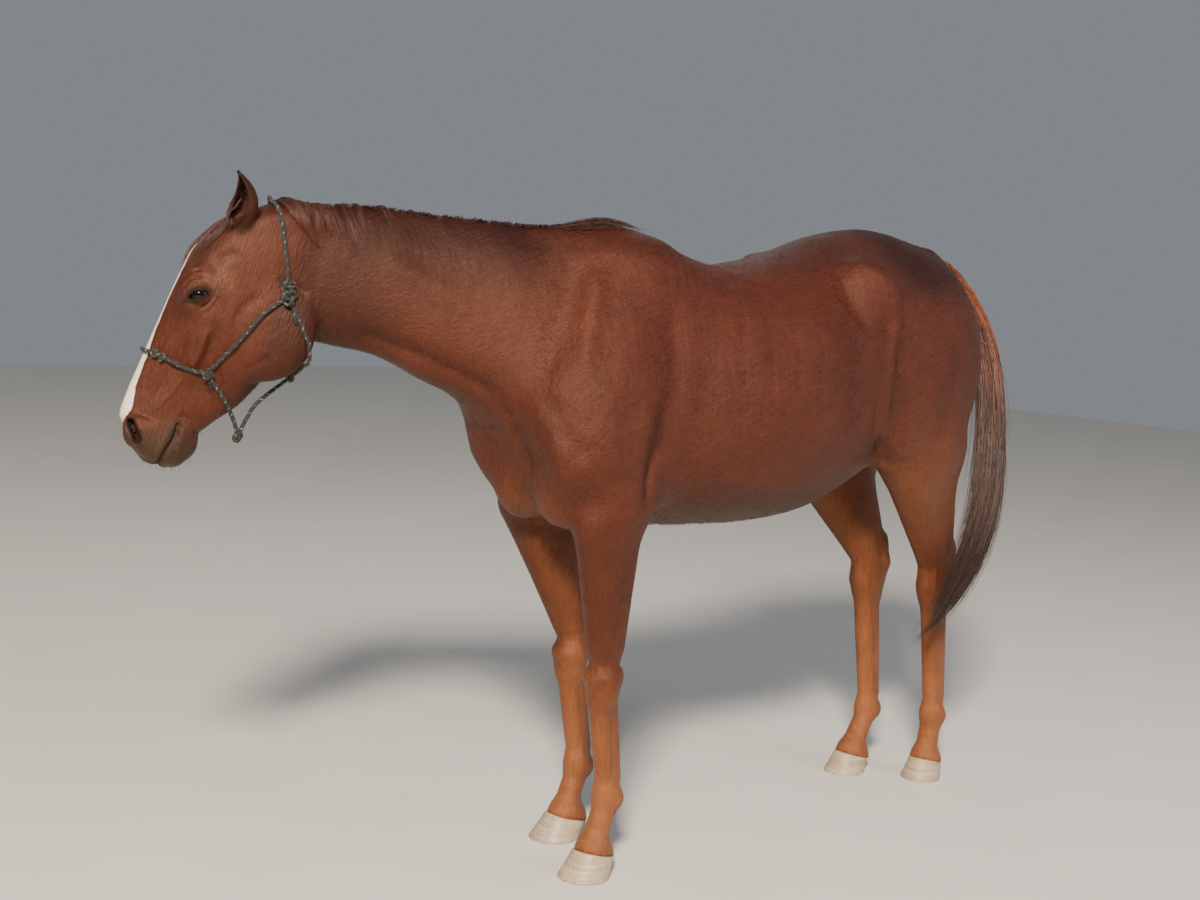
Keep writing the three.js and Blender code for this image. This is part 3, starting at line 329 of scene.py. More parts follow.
@dataclass(frozen=True)
class Spine:
    """The line of the back and neck in plan: straight, then a turn to the right, then straight."""

    bend_x: float = -560.0
    radius: float = 550.0
    turn: float = math.radians(22)

    def along(self, p: Array) -> tuple[Array, Array]:
        """Distance forwards along the spine, and to its right, of each point.

        Args:
            p: Points of the horse.

        Returns:
            The two distances.
        """
        x, y = p[:, 0], p[:, 1]
        angle = np.arctan2(self.bend_x - x, self.radius - y)
        s_arc = self.radius * angle - self.bend_x
        r_arc = self.radius - np.hypot(self.bend_x - x, self.radius - y)
        dx = x - (self.bend_x - self.radius * math.sin(self.turn))
        dy = y - self.radius * (1 - math.cos(self.turn))
        c, n = math.cos(self.turn), math.sin(self.turn)
        s_far = self.radius * self.turn - self.bend_x - dx * c + dy * n
        r_far = dx * n + dy * c
        in_arc = (angle < self.turn) & (y < self.radius)
        straight = x > self.bend_x
        s = np.where(straight, -x, np.where(in_arc, s_arc, s_far))
        return s, np.where(straight, y, np.where(in_arc, r_arc, r_far))

    def point(self, s: Array, right: Array, z: Array) -> Array:
        """The point that lies s along the spine, to its right and up.

        Args:
            s: Distances along the spine.
            right: Distances to its right.
            z: Heights.

        Returns:
            The points.
        """
        s, right, z = np.broadcast_arrays(np.asarray(s, float), right, z)
        angle = np.clip((s + self.bend_x) / self.radius, 0.0, self.turn)
        rest = np.maximum(s + self.bend_x - self.radius * self.turn, 0.0)
        c, n, r = np.cos(angle), np.sin(angle), self.radius - right
        x = self.bend_x - r * n - rest * c
        y = self.radius - r * c + rest * n
        back = s < -self.bend_x
        return np.stack([np.where(back, -s, x), np.where(back, right, y), z], axis=-1)

    def heading(self, s: Array) -> Array:
        """The way to the right of the spine at each distance along it."""
        angle = np.clip((np.asarray(s, float) + self.bend_x) / self.radius, 0.0, self.turn)
        return np.stack([np.sin(angle), np.cos(angle), np.zeros_like(angle)], axis=-1)


class HeadFrame:
    """The head's own frame: down the face from the poll, out in front of it, and to its left."""

    POLL = np.array([-1331.0, 259.0, 1491.0])
    TURN, SLOPE = math.radians(26), math.radians(69)
    HEADING = np.array([-math.cos(TURN), math.sin(TURN), 0.0])
    DOWN = HEADING * math.cos(SLOPE) - np.array([0, 0, math.sin(SLOPE)])
    OUT = HEADING * math.sin(SLOPE) + np.array([0, 0, math.cos(SLOPE)])
    LEFT = np.array([-math.sin(TURN), -math.cos(TURN), 0.0])
    AXES = np.stack([DOWN, OUT, LEFT])

    @classmethod
    def enter(cls, p: Array) -> Array:
        """Points of the horse as (down, out, left)."""
        return (p - cls.POLL) @ cls.AXES.T

    @classmethod
    def leave(cls, q: Array) -> Array:
        """Points (down, out, left) as points of the horse."""
        return np.asarray(q, float) @ cls.AXES + cls.POLL

    @classmethod
    def way(cls, v: Array) -> Array:
        """A direction (down, out, left) as one of the horse."""
        return v @ cls.AXES


@dataclass(frozen=True)
class HoofSizes:
    """Half length and width on the floor and at the hairline, and how the hairline lies."""

    floor: tuple[float, float]
    hairline: tuple[float, float]
    back: float
    rise: float = 46.0
    fall: float = 14.0


@dataclass(frozen=True)
class Leg:
    """Where a leg stands: its joints and its hoof, with y measured outwards."""

    name: str
    side: Side
    top: tuple[float, float, float]
    middle: tuple[float, float, float]
    fetlock: tuple[float, float, float]
    hoof: tuple[float, float]
    toe_out: float
    sizes: HoofSizes

    def at(self, q: Point) -> Array:
        """A joint's place with its y on the leg's own side."""
        return np.array([q[0], self.side.value * q[1], q[2]], float)

    def off(self, q: Array, x: float, y: float, z: float) -> Array:
        """A place beside a joint, with y measured outwards."""
        return q + np.array([x, self.side.value * y, z])

    @property
    def fore(self) -> bool:
        """Whether it is a foreleg."""
        return self.name.startswith("fore")

    @property
    def toe(self) -> Array:
        """The way the toe points."""
        a = math.radians(self.toe_out)
        return np.array([-math.cos(a), self.side.value * math.sin(a), 0.0])

    @property
    def hairline(self) -> tuple[Array, Array]:
        """The hairline's middle and its upward normal.

        Returns:
            The middle and the normal.
        """
        base = np.array([self.hoof[0], self.side.value * self.hoof[1], self.sizes.rise])
        tilt = math.radians(self.sizes.fall)
        up = np.array([-math.sin(tilt) * self.toe[0], -math.sin(tilt) * self.toe[1], math.cos(tilt)])
        return base - self.sizes.back * self.toe, up


FORE_HOOF = HoofSizes((64, 62), (53, 50), 34)
HIND_HOOF = HoofSizes((62, 57), (52, 46), 25)
LEGS = (
    Leg("foreleg_left", Side.LEFT, (-636, 152, 880), (-650, 122, 440), (-614, 116, 172), (-681, 130), 14, FORE_HOOF),
    Leg("foreleg_right", Side.RIGHT, (-604, 150, 880), (-537, 118, 436), (-500, 114, 170), (-566, 110), 4, FORE_HOOF),
    Leg("hindleg_left", Side.LEFT, (325, 186, 962), (618, 102, 562), (678, 84, 178), (646, 86), 12, HIND_HOOF),
    Leg("hindleg_right", Side.RIGHT, (300, 178, 952), (564, 92, 552), (588, 78, 172), (500, 73), 6, HIND_HOOF),
)

# From the dock forwards: along, top, bottom, half width, widest level, squareness above and below.
SPINE_STATIONS = (
    (-630, 1455, 1120, 60, 1330, 2, 2),
    (-570, 1488, 1060, 126, 1320, 2, 2),
    (-480, 1506, 985, 180, 1290, 2, 2),
    (-290, 1528, 900, 245, 1210, 2, 2.1),
    (-130, 1502, 830, 270, 1170, 2, 2.2),
    (0, 1460, 793, 288, 1120, 2, 2.2),
    (140, 1426, 779, 297, 1090, 2.1, 2.2),
    (290, 1411, 779, 285, 1080, 2, 2.2),
    (430, 1445, 784, 254, 1080, 1.8, 2.2),
    (520, 1474, 790, 224, 1080, 1.7, 2.2),
    (620, 1486, 800, 192, 1080, 1.5, 2.2),
    (720, 1474, 830, 184, 1090, 1.5, 2.2),
    (800, 1470, 900, 168, 1110, 1.5, 2.1),
    (870, 1473, 1008, 142, 1170, 1.6, 2),
    (940, 1476, 1070, 118, 1220, 1.6, 2),
    (1040, 1481, 1118, 98, 1260, 1.6, 2),
    (1140, 1488, 1165, 83, 1310, 1.7, 2),
    (1250, 1484, 1186, 76, 1340, 1.8, 2.1),
    (1370, 1450, 1215, 66, 1360, 2, 2.2),
)

# Down the face from the poll, in the head's frame.
HEAD_STATIONS = (
    (-5, -18, -110, 48, -60, 2, 2),
    (18, 8, -122, 66, -40, 2, 2),
    (45, 36, -124, 76, -10, 2.2, 2),
    (100, 80, -132, 84, 10, 2.4, 2),
    (160, 99, -142, 90, 30, 2.4, 2),
    (245, 107, -150, 92, 35, 2.3, 1.8),
    (310, 108, -150, 84, 25, 1.9, 1.9),
    (370, 109, -130, 70, 15, 1.7, 2),
    (430, 109, -108, 58, 15, 1.7, 2),
    (500, 108, -66, 52, 20, 1.9, 2.1),
    (550, 97, -56, 54, 22, 2.2, 2.2),
    (590, 64, -42, 48, 15, 2.3, 2.3),
    (606, 32, -22, 30, 8, 2.2, 2.2),
)


@dataclass(frozen=True)
class EyePlan:
    """The eyeball's centre in the head's frame, its radius and the lids round it."""

    down: float = 246.0
    out: float = 60.0
    aside: float = 82.0
    radius: float = 21.0
    lid: float = 2.6

    def centre(self, left: int) -> Array:
        """The ball's centre on one side, 1 for left and -1 for right."""
        return np.array([self.down, self.out, left * self.aside])


@dataclass(frozen=True)
class EarPlan:
    """A cupped leaf from its base to its tip, open towards a direction, in the head's frame."""

    base: tuple[float, float, float]
    tip: tuple[float, float, float]
    faces: tuple[float, float, float]
    widths: tuple[float, ...] = (26, 31, 33, 31, 26, 18, 8)
    depth: float = 0.8
    half_thickness: float = 4.4

    def frame(self) -> tuple[Array, Array, Array, Array, float]:
        """The base, the axis, the way across, the way it opens, and its length.

        Returns:
            These five, in this order.
        """
        base, axis = np.asarray(self.base, float), np.asarray(self.tip, float) - np.asarray(self.base, float)
        length = float(np.linalg.norm(axis))
        axis = axis / length
        across = unit(np.cross(np.asarray(self.faces, float), axis))
        return base, axis, across, unit(np.cross(axis, across)), length

    def away(self, q: Array, start: float) -> Array:
        """Distance from each place to the ear's axis, which begins some way above its base."""
        base, axis, _, _, length = self.frame()
        return np.linalg.norm(q - base - axis * np.clip((q - base) @ axis, start, length)[:, None], axis=1)

    def section(self, v: Array) -> tuple[Array, Array]:
        """At each share along, how far the leaf wraps round and its middle's radius."""
        radius = np.interp(v, np.linspace(0, 1, len(self.widths)), self.widths) - 3.0
        return np.radians(140 - 75 * v), radius

    def distance(self, q: Array, swell: float = 0.0) -> Array:
        """Distance from each point (down, out, left) to the leaf, thickened by a swell.

        Args:
            q: Points (down, out, left) on the head.
            swell: How much thicker the leaf is taken to be.

        Returns:
            Distances in millimetres.
        """
        base, axis, across, opens, length = self.frame()
        r = q - base
        along = r @ axis
        v = np.clip(along / length, 0.0, 1.0)
        wrap, radius = self.section(v)
        middle = np.maximum(radius, 1.5)
        a = r @ across
        b = (r @ opens + 14 * np.sin(math.pi * v)) / self.depth
        angle = np.arctan2(np.abs(a), -b)
        on_arc = np.abs(np.hypot(a, b) - middle)
        end = np.hypot(np.abs(a) - middle * np.sin(wrap), (b + middle * np.cos(wrap)) * self.depth)
        flat = np.where(angle < wrap, on_arc, end)
        past = np.maximum(np.maximum(along - length, -along), 0.0)
        return np.hypot(flat, past) - self.half_thickness - swell


EYE = EyePlan()
# Places and ways are (down, out, left).
EARS = {
    Side.LEFT: EarPlan((80, 42, 56), (-11, 90, 128), (0.5, 0.75, 0.35)),
    Side.RIGHT: EarPlan((80, 42, -56), (-2, 52, -128), (0.7, 0.45, -0.5)),
}


def trunk_muscles(side: Side) -> list[tuple[Mass, float]]:
    """Shoulder, breast, arm, rump and thigh of one side.

    Args:
        side: Which side.

    Returns:
        The shapes and how softly each joins.
    """

    def at(x: float, y: float, z: float) -> Point:
        """A place with y measured outwards."""
        return (x, side.value * y, z)

    return [
        (Rod(at(-610, 70, 1370), at(-770, 128, 1080), 60, 80, 0.6), 120),
        (Rod(at(-540, 88, 1330), at(-640, 150, 1120), 75, 95, 0.5), 120),
        (Egg(at(-752, 132, 1010), (84, 66, 112), 20), 90),
        (Egg(at(-735, 70, 905), (88, 75, 105), 25), 60),
        (Rod(at(-750, 142, 980), at(-660, 150, 890), 74, 78, 0.75), 70),
        (Egg(at(-650, 158, 1020), (125, 54, 175), -22), 70),
        (Egg(at(-640, 158, 880), (52, 42, 62)), 50),
        (Egg(at(130, 185, 1370), (80, 50, 60), 20), 90),
        (Egg(at(310, 115, 1310), (200, 125, 150), 12), 90),
        (Egg(at(420, 138, 1180), (215, 118, 240), 10), 90),
        (Rod(at(606, 80, 1290), at(545, 110, 960), 80, 92, 0.85), 80),
        (Egg(at(330, 178, 1100), (160, 80, 190), -25), 80),
    ]


def pastern_masses(leg: Leg, radius: float) -> list[tuple[Mass, float]]:
    """The pastern from the fetlock down, with the band over the hoof and the heel.

    Args:
        leg: The leg.
        radius: The pastern's radius.

    Returns:
        The shapes and how softly each joins.
    """
    f, (p, _) = leg.at(leg.fetlock), leg.hairline

    def ahead(k: float, z: float) -> Array:
        """A place ahead of the hairline's middle and above it."""
        return p + leg.toe * k + np.array([0, 0, z])

    return [
        (Rod(f + np.array([0, 0, -12]), ahead(2, 22), radius, 33), 18),
        (Rod(ahead(4, 4), ahead(-12, -4), 45, 43), 16),
        (Rod(ahead(-34, -6), ahead(-20, 34), 20, 16), 16),
    ]


def foreleg_masses(leg: Leg) -> list[tuple[Mass, float]]:
    """One foreleg, from the elbow to the hoof.

    Args:
        leg: The leg.

    Returns:
        The shapes and how softly each joins.
    """
    e, k, f, off = leg.at(leg.top), leg.at(leg.middle), leg.at(leg.fetlock), leg.off
    return [
        (Rod(off(e, -50, -5, -30), off(k, 0, 0, 70), 78, 40, 0.8), 50),
        (Rod(off(e, -100, 0, -60), off(k, -17, 4, 100), 46, 29, 0.9), 30),
        (Rod(off(e, -10, 0, -60), off(k, 22, 0, 90), 44, 26, 0.9), 30),
        (Egg(k, (44, 42, 60)), 30),
        (Egg(off(k, -6, 0, 22), (41, 44, 26)), 20),
        (Egg(off(k, 46, 0, 14), (16, 14, 28)), 20),
        (Rod(off(k, -4, 0, -40), off(f, -6, 0, 35), 29, 26, 0.95), 20),
        (Rod(off(k, 28, 0, -30), off(f, 24, 0, 40), 19, 19, 0.8), 16),
        (Egg(off(f, -2, 0, 4), (35, 34, 38)), 18),
        (Egg(off(f, 24, 0, -6), (25, 29, 29)), 16),
        *pastern_masses(leg, 28),
    ]


def hindleg_masses(leg: Leg) -> list[tuple[Mass, float]]:
    """One hindleg, from the thigh to the hoof.

    Args:
        leg: The leg.

    Returns:
        The shapes and how softly each joins.
    """
    s, h, f, off = leg.at(leg.top), leg.at(leg.middle), leg.at(leg.fetlock), leg.off
    return [
        (Egg(off(s, -40, 0, 40), (75, 55, 105), -25), 60),
        (Egg(off(s, 100, -25, 20), (140, 78, 105), 20), 70),
        (Rod(off(s, 85, -25, -50), off(h, -24, 0, 70), 100, 46, 0.68), 60),
        (Rod(off(s, 20, -15, -40), off(h, -46, 2, 110), 62, 30, 0.8), 40),
        (Rod(off(s, 175, -40, -30), off(h, 46, 0, 90), 82, 20, 0.75), 50),
        (Rod(off(h, 56, 0, 110), off(h, 64, 0, 42), 17, 24, 0.85), 24),
        (Egg(off(h, -4, 0, 0), (60, 42, 64)), 34),
        (Rod(off(h, 58, 0, 38), off(h, 36, 0, -50), 24, 24, 0.9), 20),
        (Rod(off(h, -6, 0, -50), off(f, -6, 0, 36), 36, 28, 0.9), 24),
        (Rod(off(h, 32, 0, -50), off(f, 26, 0, 40), 22, 21, 0.8), 16),
        (Egg(off(f, -2, 0, 4), (37, 35, 39)), 18),
        (Egg(off(f, 24, 0, -6), (27, 30, 30)), 16),
        *pastern_masses(leg, 29),
    ]


def head_masses() -> list[tuple[Mass, float]]:
    """The shapes over the head's loft, as (down, out, left).

    Returns:
        The shapes and how softly each joins.
    """
    sides = (-1, 1)
    return [
        *[(Egg((262, -86, s * 50), (110, 112, 34)), 36) for s in sides],
        *[(Egg((238, 66, s * 72), (46, 34, 26)), 34) for s in sides],
        *[(Rod((285, 26, s * 72), (400, 8, s * 50), 14, 10), 30) for s in sides],
        *[(Egg((556, 62, s * 38), (38, 32, 20)), 18) for s in sides],
        (Rod((175, 74, 0), (530, 84, 0), 32, 24), 30),
        (Egg((574, 22, 0), (36, 44, 44)), 24),
        (Egg((574, -26, 0), (32, 26, 34)), 14),
        (Egg((552, -40, 0), (26, 24, 28)), 14),
    ]


class Flesh:
    """The whole body as one field: below zero inside the flesh, above zero outside it."""

    HEAD_X = -1000.0
    HEAD_FILLET = 40.0
    EAR_FILLET = 16.0

    def __init__(self) -> None:
        """Gathers the lofts and masses."""
        self.ear_swell = 0.0
        self.rims: dict[Side, Array] = {}
        self.spine = Spine()
        self.back = Loft(SPINE_STATIONS, 60.0, 4.0)
        self.face = Loft(HEAD_STATIONS, 4.0, 4.0)
        self.head_parts = head_masses()
        self.parts: list[tuple[Mass, float]] = [
            (Rod((590, 0, 1440), (680, 0, 1425), 40, 30), 50),
            *trunk_muscles(Side.LEFT),
            *trunk_muscles(Side.RIGHT),
        ]
        for leg in LEGS:
            self.parts += foreleg_masses(leg) if leg.fore else hindleg_masses(leg)
        for side in Side:
            rim = np.asarray(Muzzle.RIM, float) * np.array([1.0, 1.0, -side.value])
            at = HeadFrame.leave(rim)
            for _ in range(6):
                d = self.plain(at)
                slope = np.stack([(self.plain(at + np.eye(3)[k]) - d) for k in range(3)], axis=1)
                at = at - slope * ((d + Muzzle.RIM_DEPTH) / np.maximum((slope**2).sum(axis=1), 0.3))[:, None]
            self.rims[side] = rounded(HeadFrame.enter(at), 24)

    def plain(self, p: Array) -> Array:
        """The flesh as the solids have it, without the ears.

        Args:
            p: Points of the horse.

        Returns:
            Distances in millimetres, below zero inside.
        """
        s, right = self.spine.along(p)
        d = blend_masses(self.back.distance(s, right, p[:, 2]), self.parts, p)
        ahead = p[:, 0] < self.HEAD_X
        if ahead.any():
            q = HeadFrame.enter(p[ahead])
            face = blend_masses(self.face.distance(q[:, 0], q[:, 2], q[:, 1]), self.head_parts, q)
            d[ahead] = join(d[ahead], face, self.HEAD_FILLET)
        return d

    def distance(self, p: Array) -> Array:
        """The flesh with its ears, nostrils and hoof ends.

        Args:
            p: Points of the horse.

        Returns:
            Distances in millimetres, below zero inside.
        """
        d = self.plain(p)
        ahead = p[:, 0] < self.HEAD_X
        if ahead.any():
            q = HeadFrame.enter(p[ahead])
            part = d[ahead]
            for ear in EARS.values():
                part = join(part, ear.distance(q, self.ear_swell), self.EAR_FILLET)
            d[ahead] = Muzzle.shape(part, q, self.rims)
        low = p[:, 2] < 120.0
        if low.any():
            q, part = p[low], d[low]
            for leg in LEGS:
                centre, up = leg.hairline
                near = np.linalg.norm(q - centre, axis=1) < 110.0
                part[near] = np.maximum(part[near], -((q[near] - centre) @ up) - 4.0)
            d[low] = part
        return d

    def gradient(self, p: Array, step: float = 0.6) -> tuple[Array, Array]:
        """The field's value and slope at each point.

        Args:
            p: Points of the horse.
            step: Half the distance over which the slope is measured.

        Returns:
            The values and the slopes.
        """
        d = self.distance(p)
        g = [(self.distance(p + np.eye(3)[k] * step) - d) / step for k in range(3)]
        return d, np.stack(g, axis=1)

    def settle(self, p: Array, level: float = 0.0, steps: int = 4, reach: float = 1e9) -> Array:
        """Moves points onto a level of the field along its slope.

        Args:
            p: Points near the surface.
            level: Height over the flesh to end at.
            steps: How many times each point is moved.
            reach: The most that one move may be.

        Returns:
            The moved points.
        """
        for _ in range(steps):
            d, g = self.gradient(p)
            move = g * ((d - level) / np.maximum((g * g).sum(axis=1), 0.2))[:, None]
            far = np.linalg.norm(move, axis=1, keepdims=True)
            p = p - move * np.minimum(1.0, reach / np.maximum(far, 1e-9))
        return p


class Muzzle:
    """The nostrils' rims and hollows, in the head's frame."""

    RIM = (
        (551, 64, 50), (540, 76, 46), (537, 86, 40), (543, 90, 36),
        (556, 84, 40), (569, 71, 44), (578, 59, 42), (572, 53, 44),
    )
    RIM_RADIUS = 5.0
    RIM_DEPTH = 2.0
    SLIT = ((543.0, 84.0), (571.0, 58.0))
    DEPTHS = (12.0, 22.0, 34.0, 60.0)
    HALF_WIDTHS = (-8.0, 0.0, 3.2, 5.0)

    @classmethod
    def shape(cls, d: Array, q: Array, rims: dict[Side, Array]) -> Array:
        """Adds the nostrils' rims to a field and takes out their hollows.

        Args:
            d: The field before.
            q: Points (down, out, left) on the head.
            rims: The points along each side's rim.

        Returns:
            The field with them.
        """
        near = (q[:, 0] > 490) & (q[:, 1] > 20) & (q[:, 0] < 640)
        if not near.any():
            return d
        p, part = q[near], d[near]
        away = to_polyline(p[:, :2], np.array(cls.SLIT))
        for side, rim in rims.items():
            part = join(part, to_polyline(p, rim) - cls.RIM_RADIUS, 9.0)
            half = np.interp(-side.value * p[:, 2], cls.DEPTHS, cls.HALF_WIDTHS)
            part = carve(part, 0.8 * (away - half), 6.0)
        d = d.copy()
        d[near] = part
        return d


# ------------------------------------------------------------------ frame and small mesh tools


class Place:
    """How the horse's own frame lies in the model's frame."""

    shift = np.zeros(3)

    @classmethod
    def read(cls) -> None:
        """Works the shift out from one solid hoof, whose shape is known."""
        hoof = Hoof(LEGS[0])
        a = np.linspace(0, 2 * math.pi, 14, endpoint=False)
        low, high = (np.array(v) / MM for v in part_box(LEGS[0].name + "_hoof"))
        both = np.vstack([hoof.section(0.0, a), hoof.section(1.0, a)])
        own = (both.min(axis=0) + both.max(axis=0)) / 2
        cls.shift = (low + high) / 2 - own
        cls.shift[2] = 0.0
        LOG.info("frame shift %s mm", np.round(cls.shift, 2))

    @classmethod
    def metres(cls, p: Array) -> Array:
        """Points of the horse in the model's frame, in metres."""
        return (np.asarray(p, float) + cls.shift) * MM


def linear(code: str) -> tuple[float, float, float, float]:
    """An sRGB hex colour as linear red, green, blue and alpha.

    Args:
        code: The colour as a hash and six digits.

    Returns:
        The four numbers.
    """
    parts = [int(code[i : i + 2], 16) / 255.0 for i in (1, 3, 5)]
    r, g, b = (c / 12.92 if c <= 0.04045 else ((c + 0.055) / 1.055) ** 2.4 for c in parts)
    return (r, g, b, 1.0)


def tie(mesh: bpy.types.Mesh, slot: str, nodes: Sequence[str] = ()) -> bpy.types.Object:
    """Makes a mesh a smooth piece of the model, named as the mesh is.

    Args:
        mesh: The finished mesh, in the model's frame.
        slot: The record's material slot; not used.
        nodes: The solids that the piece stands for.

    Returns:
        The new object, tied to the frame.
    """
    mesh.shade_smooth()
    piece = bpy.data.objects.new(mesh.name, mesh)
    bpy.context.scene.collection.objects.link(piece)
    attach(piece, BODY)
    if nodes:
        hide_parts(*nodes)
    mesh.calc_loop_triangles()
    LOG.info("%s: %d triangles", mesh.name, len(mesh.loop_triangles))
    return piece


def new_mesh(name: str, points: Array, edges: Sequence[Any] = (), faces: Sequence[Any] = ()) -> bpy.types.Mesh:
    """A mesh from points of the horse in millimetres, with edges or faces as vertex numbers.

    Args:
        name: The mesh's name.
        points: Points in millimetres.
        edges: Edges as vertex numbers.
        faces: Faces as vertex numbers.

    Returns:
        The mesh.
    """
    mesh = bpy.data.meshes.new(name)
    mesh.from_pydata(Place.metres(points).tolist(), edges, faces)
    return mesh


def facing_out(p: Array, faces: list[tuple[int, ...]]) -> list[tuple[int, ...]]:
    """Turns a closed body's faces outwards.

    Args:
        p: Its points.
        faces: Its faces, which all point out or all point in.

    Returns:
        The faces, turned round if the volume that they enclose is negative.
    """
    fan = np.array([(f[0], f[i], f[i + 1]) for f in faces for i in range(1, len(f) - 1)])
    a, b, c = (p[fan[:, k]] for k in range(3))
    return faces if float((a * np.cross(b, c)).sum()) > 0 else [f[::-1] for f in faces]


def closed_rings(rings: Sequence[Array], first: Array, last: Array) -> tuple[Array, list[tuple[int, ...]]]:
    """A closed body through rings of points, with a point in the middle of each end.

    Args:
        rings: The rings, each with the same number of points.
        first: The point that closes the first ring.
        last: The point that closes the last ring.

    Returns:
        The body's points and its faces, turned outwards.
    """
    n, top = len(rings[0]), (len(rings) - 1) * len(rings[0])
    p = np.vstack([*rings, first, last])
    faces: list[tuple[int, ...]] = []
    for row in range(0, top, n):
        for k in range(n):
            after = (k + 1) % n
            faces.append((row + k, row + after, row + n + after, row + n + k))
    for k in range(n):
        faces += [(top + n, (k + 1) % n, k), (top + n + 1, top + k, top + (k + 1) % n)]
    return p, facing_out(p, faces)


def put_attribute(mesh: bpy.types.Mesh, name: str, values: Array) -> None:
    """Stores one number for each vertex."""
    layer = mesh.attributes.new(name, "FLOAT", "POINT")
    layer.data.foreach_set("value", np.asarray(values, np.float32))


class Hoof:
    """One hoof: a wall from the floor to the hairline, with growth rings and a flat sole."""

    SIDES = 48
    LEVELS = 22
    RING_DEPTH = 0.5

    def __init__(self, leg: Leg) -> None:
        """Takes the leg that the hoof belongs to."""
        self.leg = leg

    def section(self, t: float, a: Array) -> Array:
        """The wall's points at a height share, at each angle from the toe.

        Args:
            t: 0 on the floor and 1 at the hairline.
            a: Angles round the hoof, 0 at the toe.

        Returns:
            Points of the horse.
        """
        z = self.leg.sizes
        toeward, aside = np.cos(a), np.sin(a)
        squarer = np.where(toeward < 0, 0.92, 1.0)
        slope = math.tan(math.radians(z.fall))
        low = np.stack([-z.floor[0] * toeward * squarer, z.floor[1] * aside, np.zeros_like(a)], axis=1)
        rise = z.rise - 0.15 + slope * z.hairline[0] * toeward * squarer
        high = np.stack([z.back - z.hairline[0] * toeward * squarer, z.hairline[1] * aside, rise], axis=1)
        local = low + (high - low) * t
        turn = -self.leg.side.value * math.radians(self.leg.toe_out)
        c, s = math.cos(turn), math.sin(turn)
        x = self.leg.hoof[0] + local[:, 0] * c - local[:, 1] * s
        y = self.leg.side.value * self.leg.hoof[1] + local[:, 0] * s + local[:, 1] * c
        return np.stack([x, y, local[:, 2]], axis=1)


# ------------------------------------------------------------------ the skin's surface


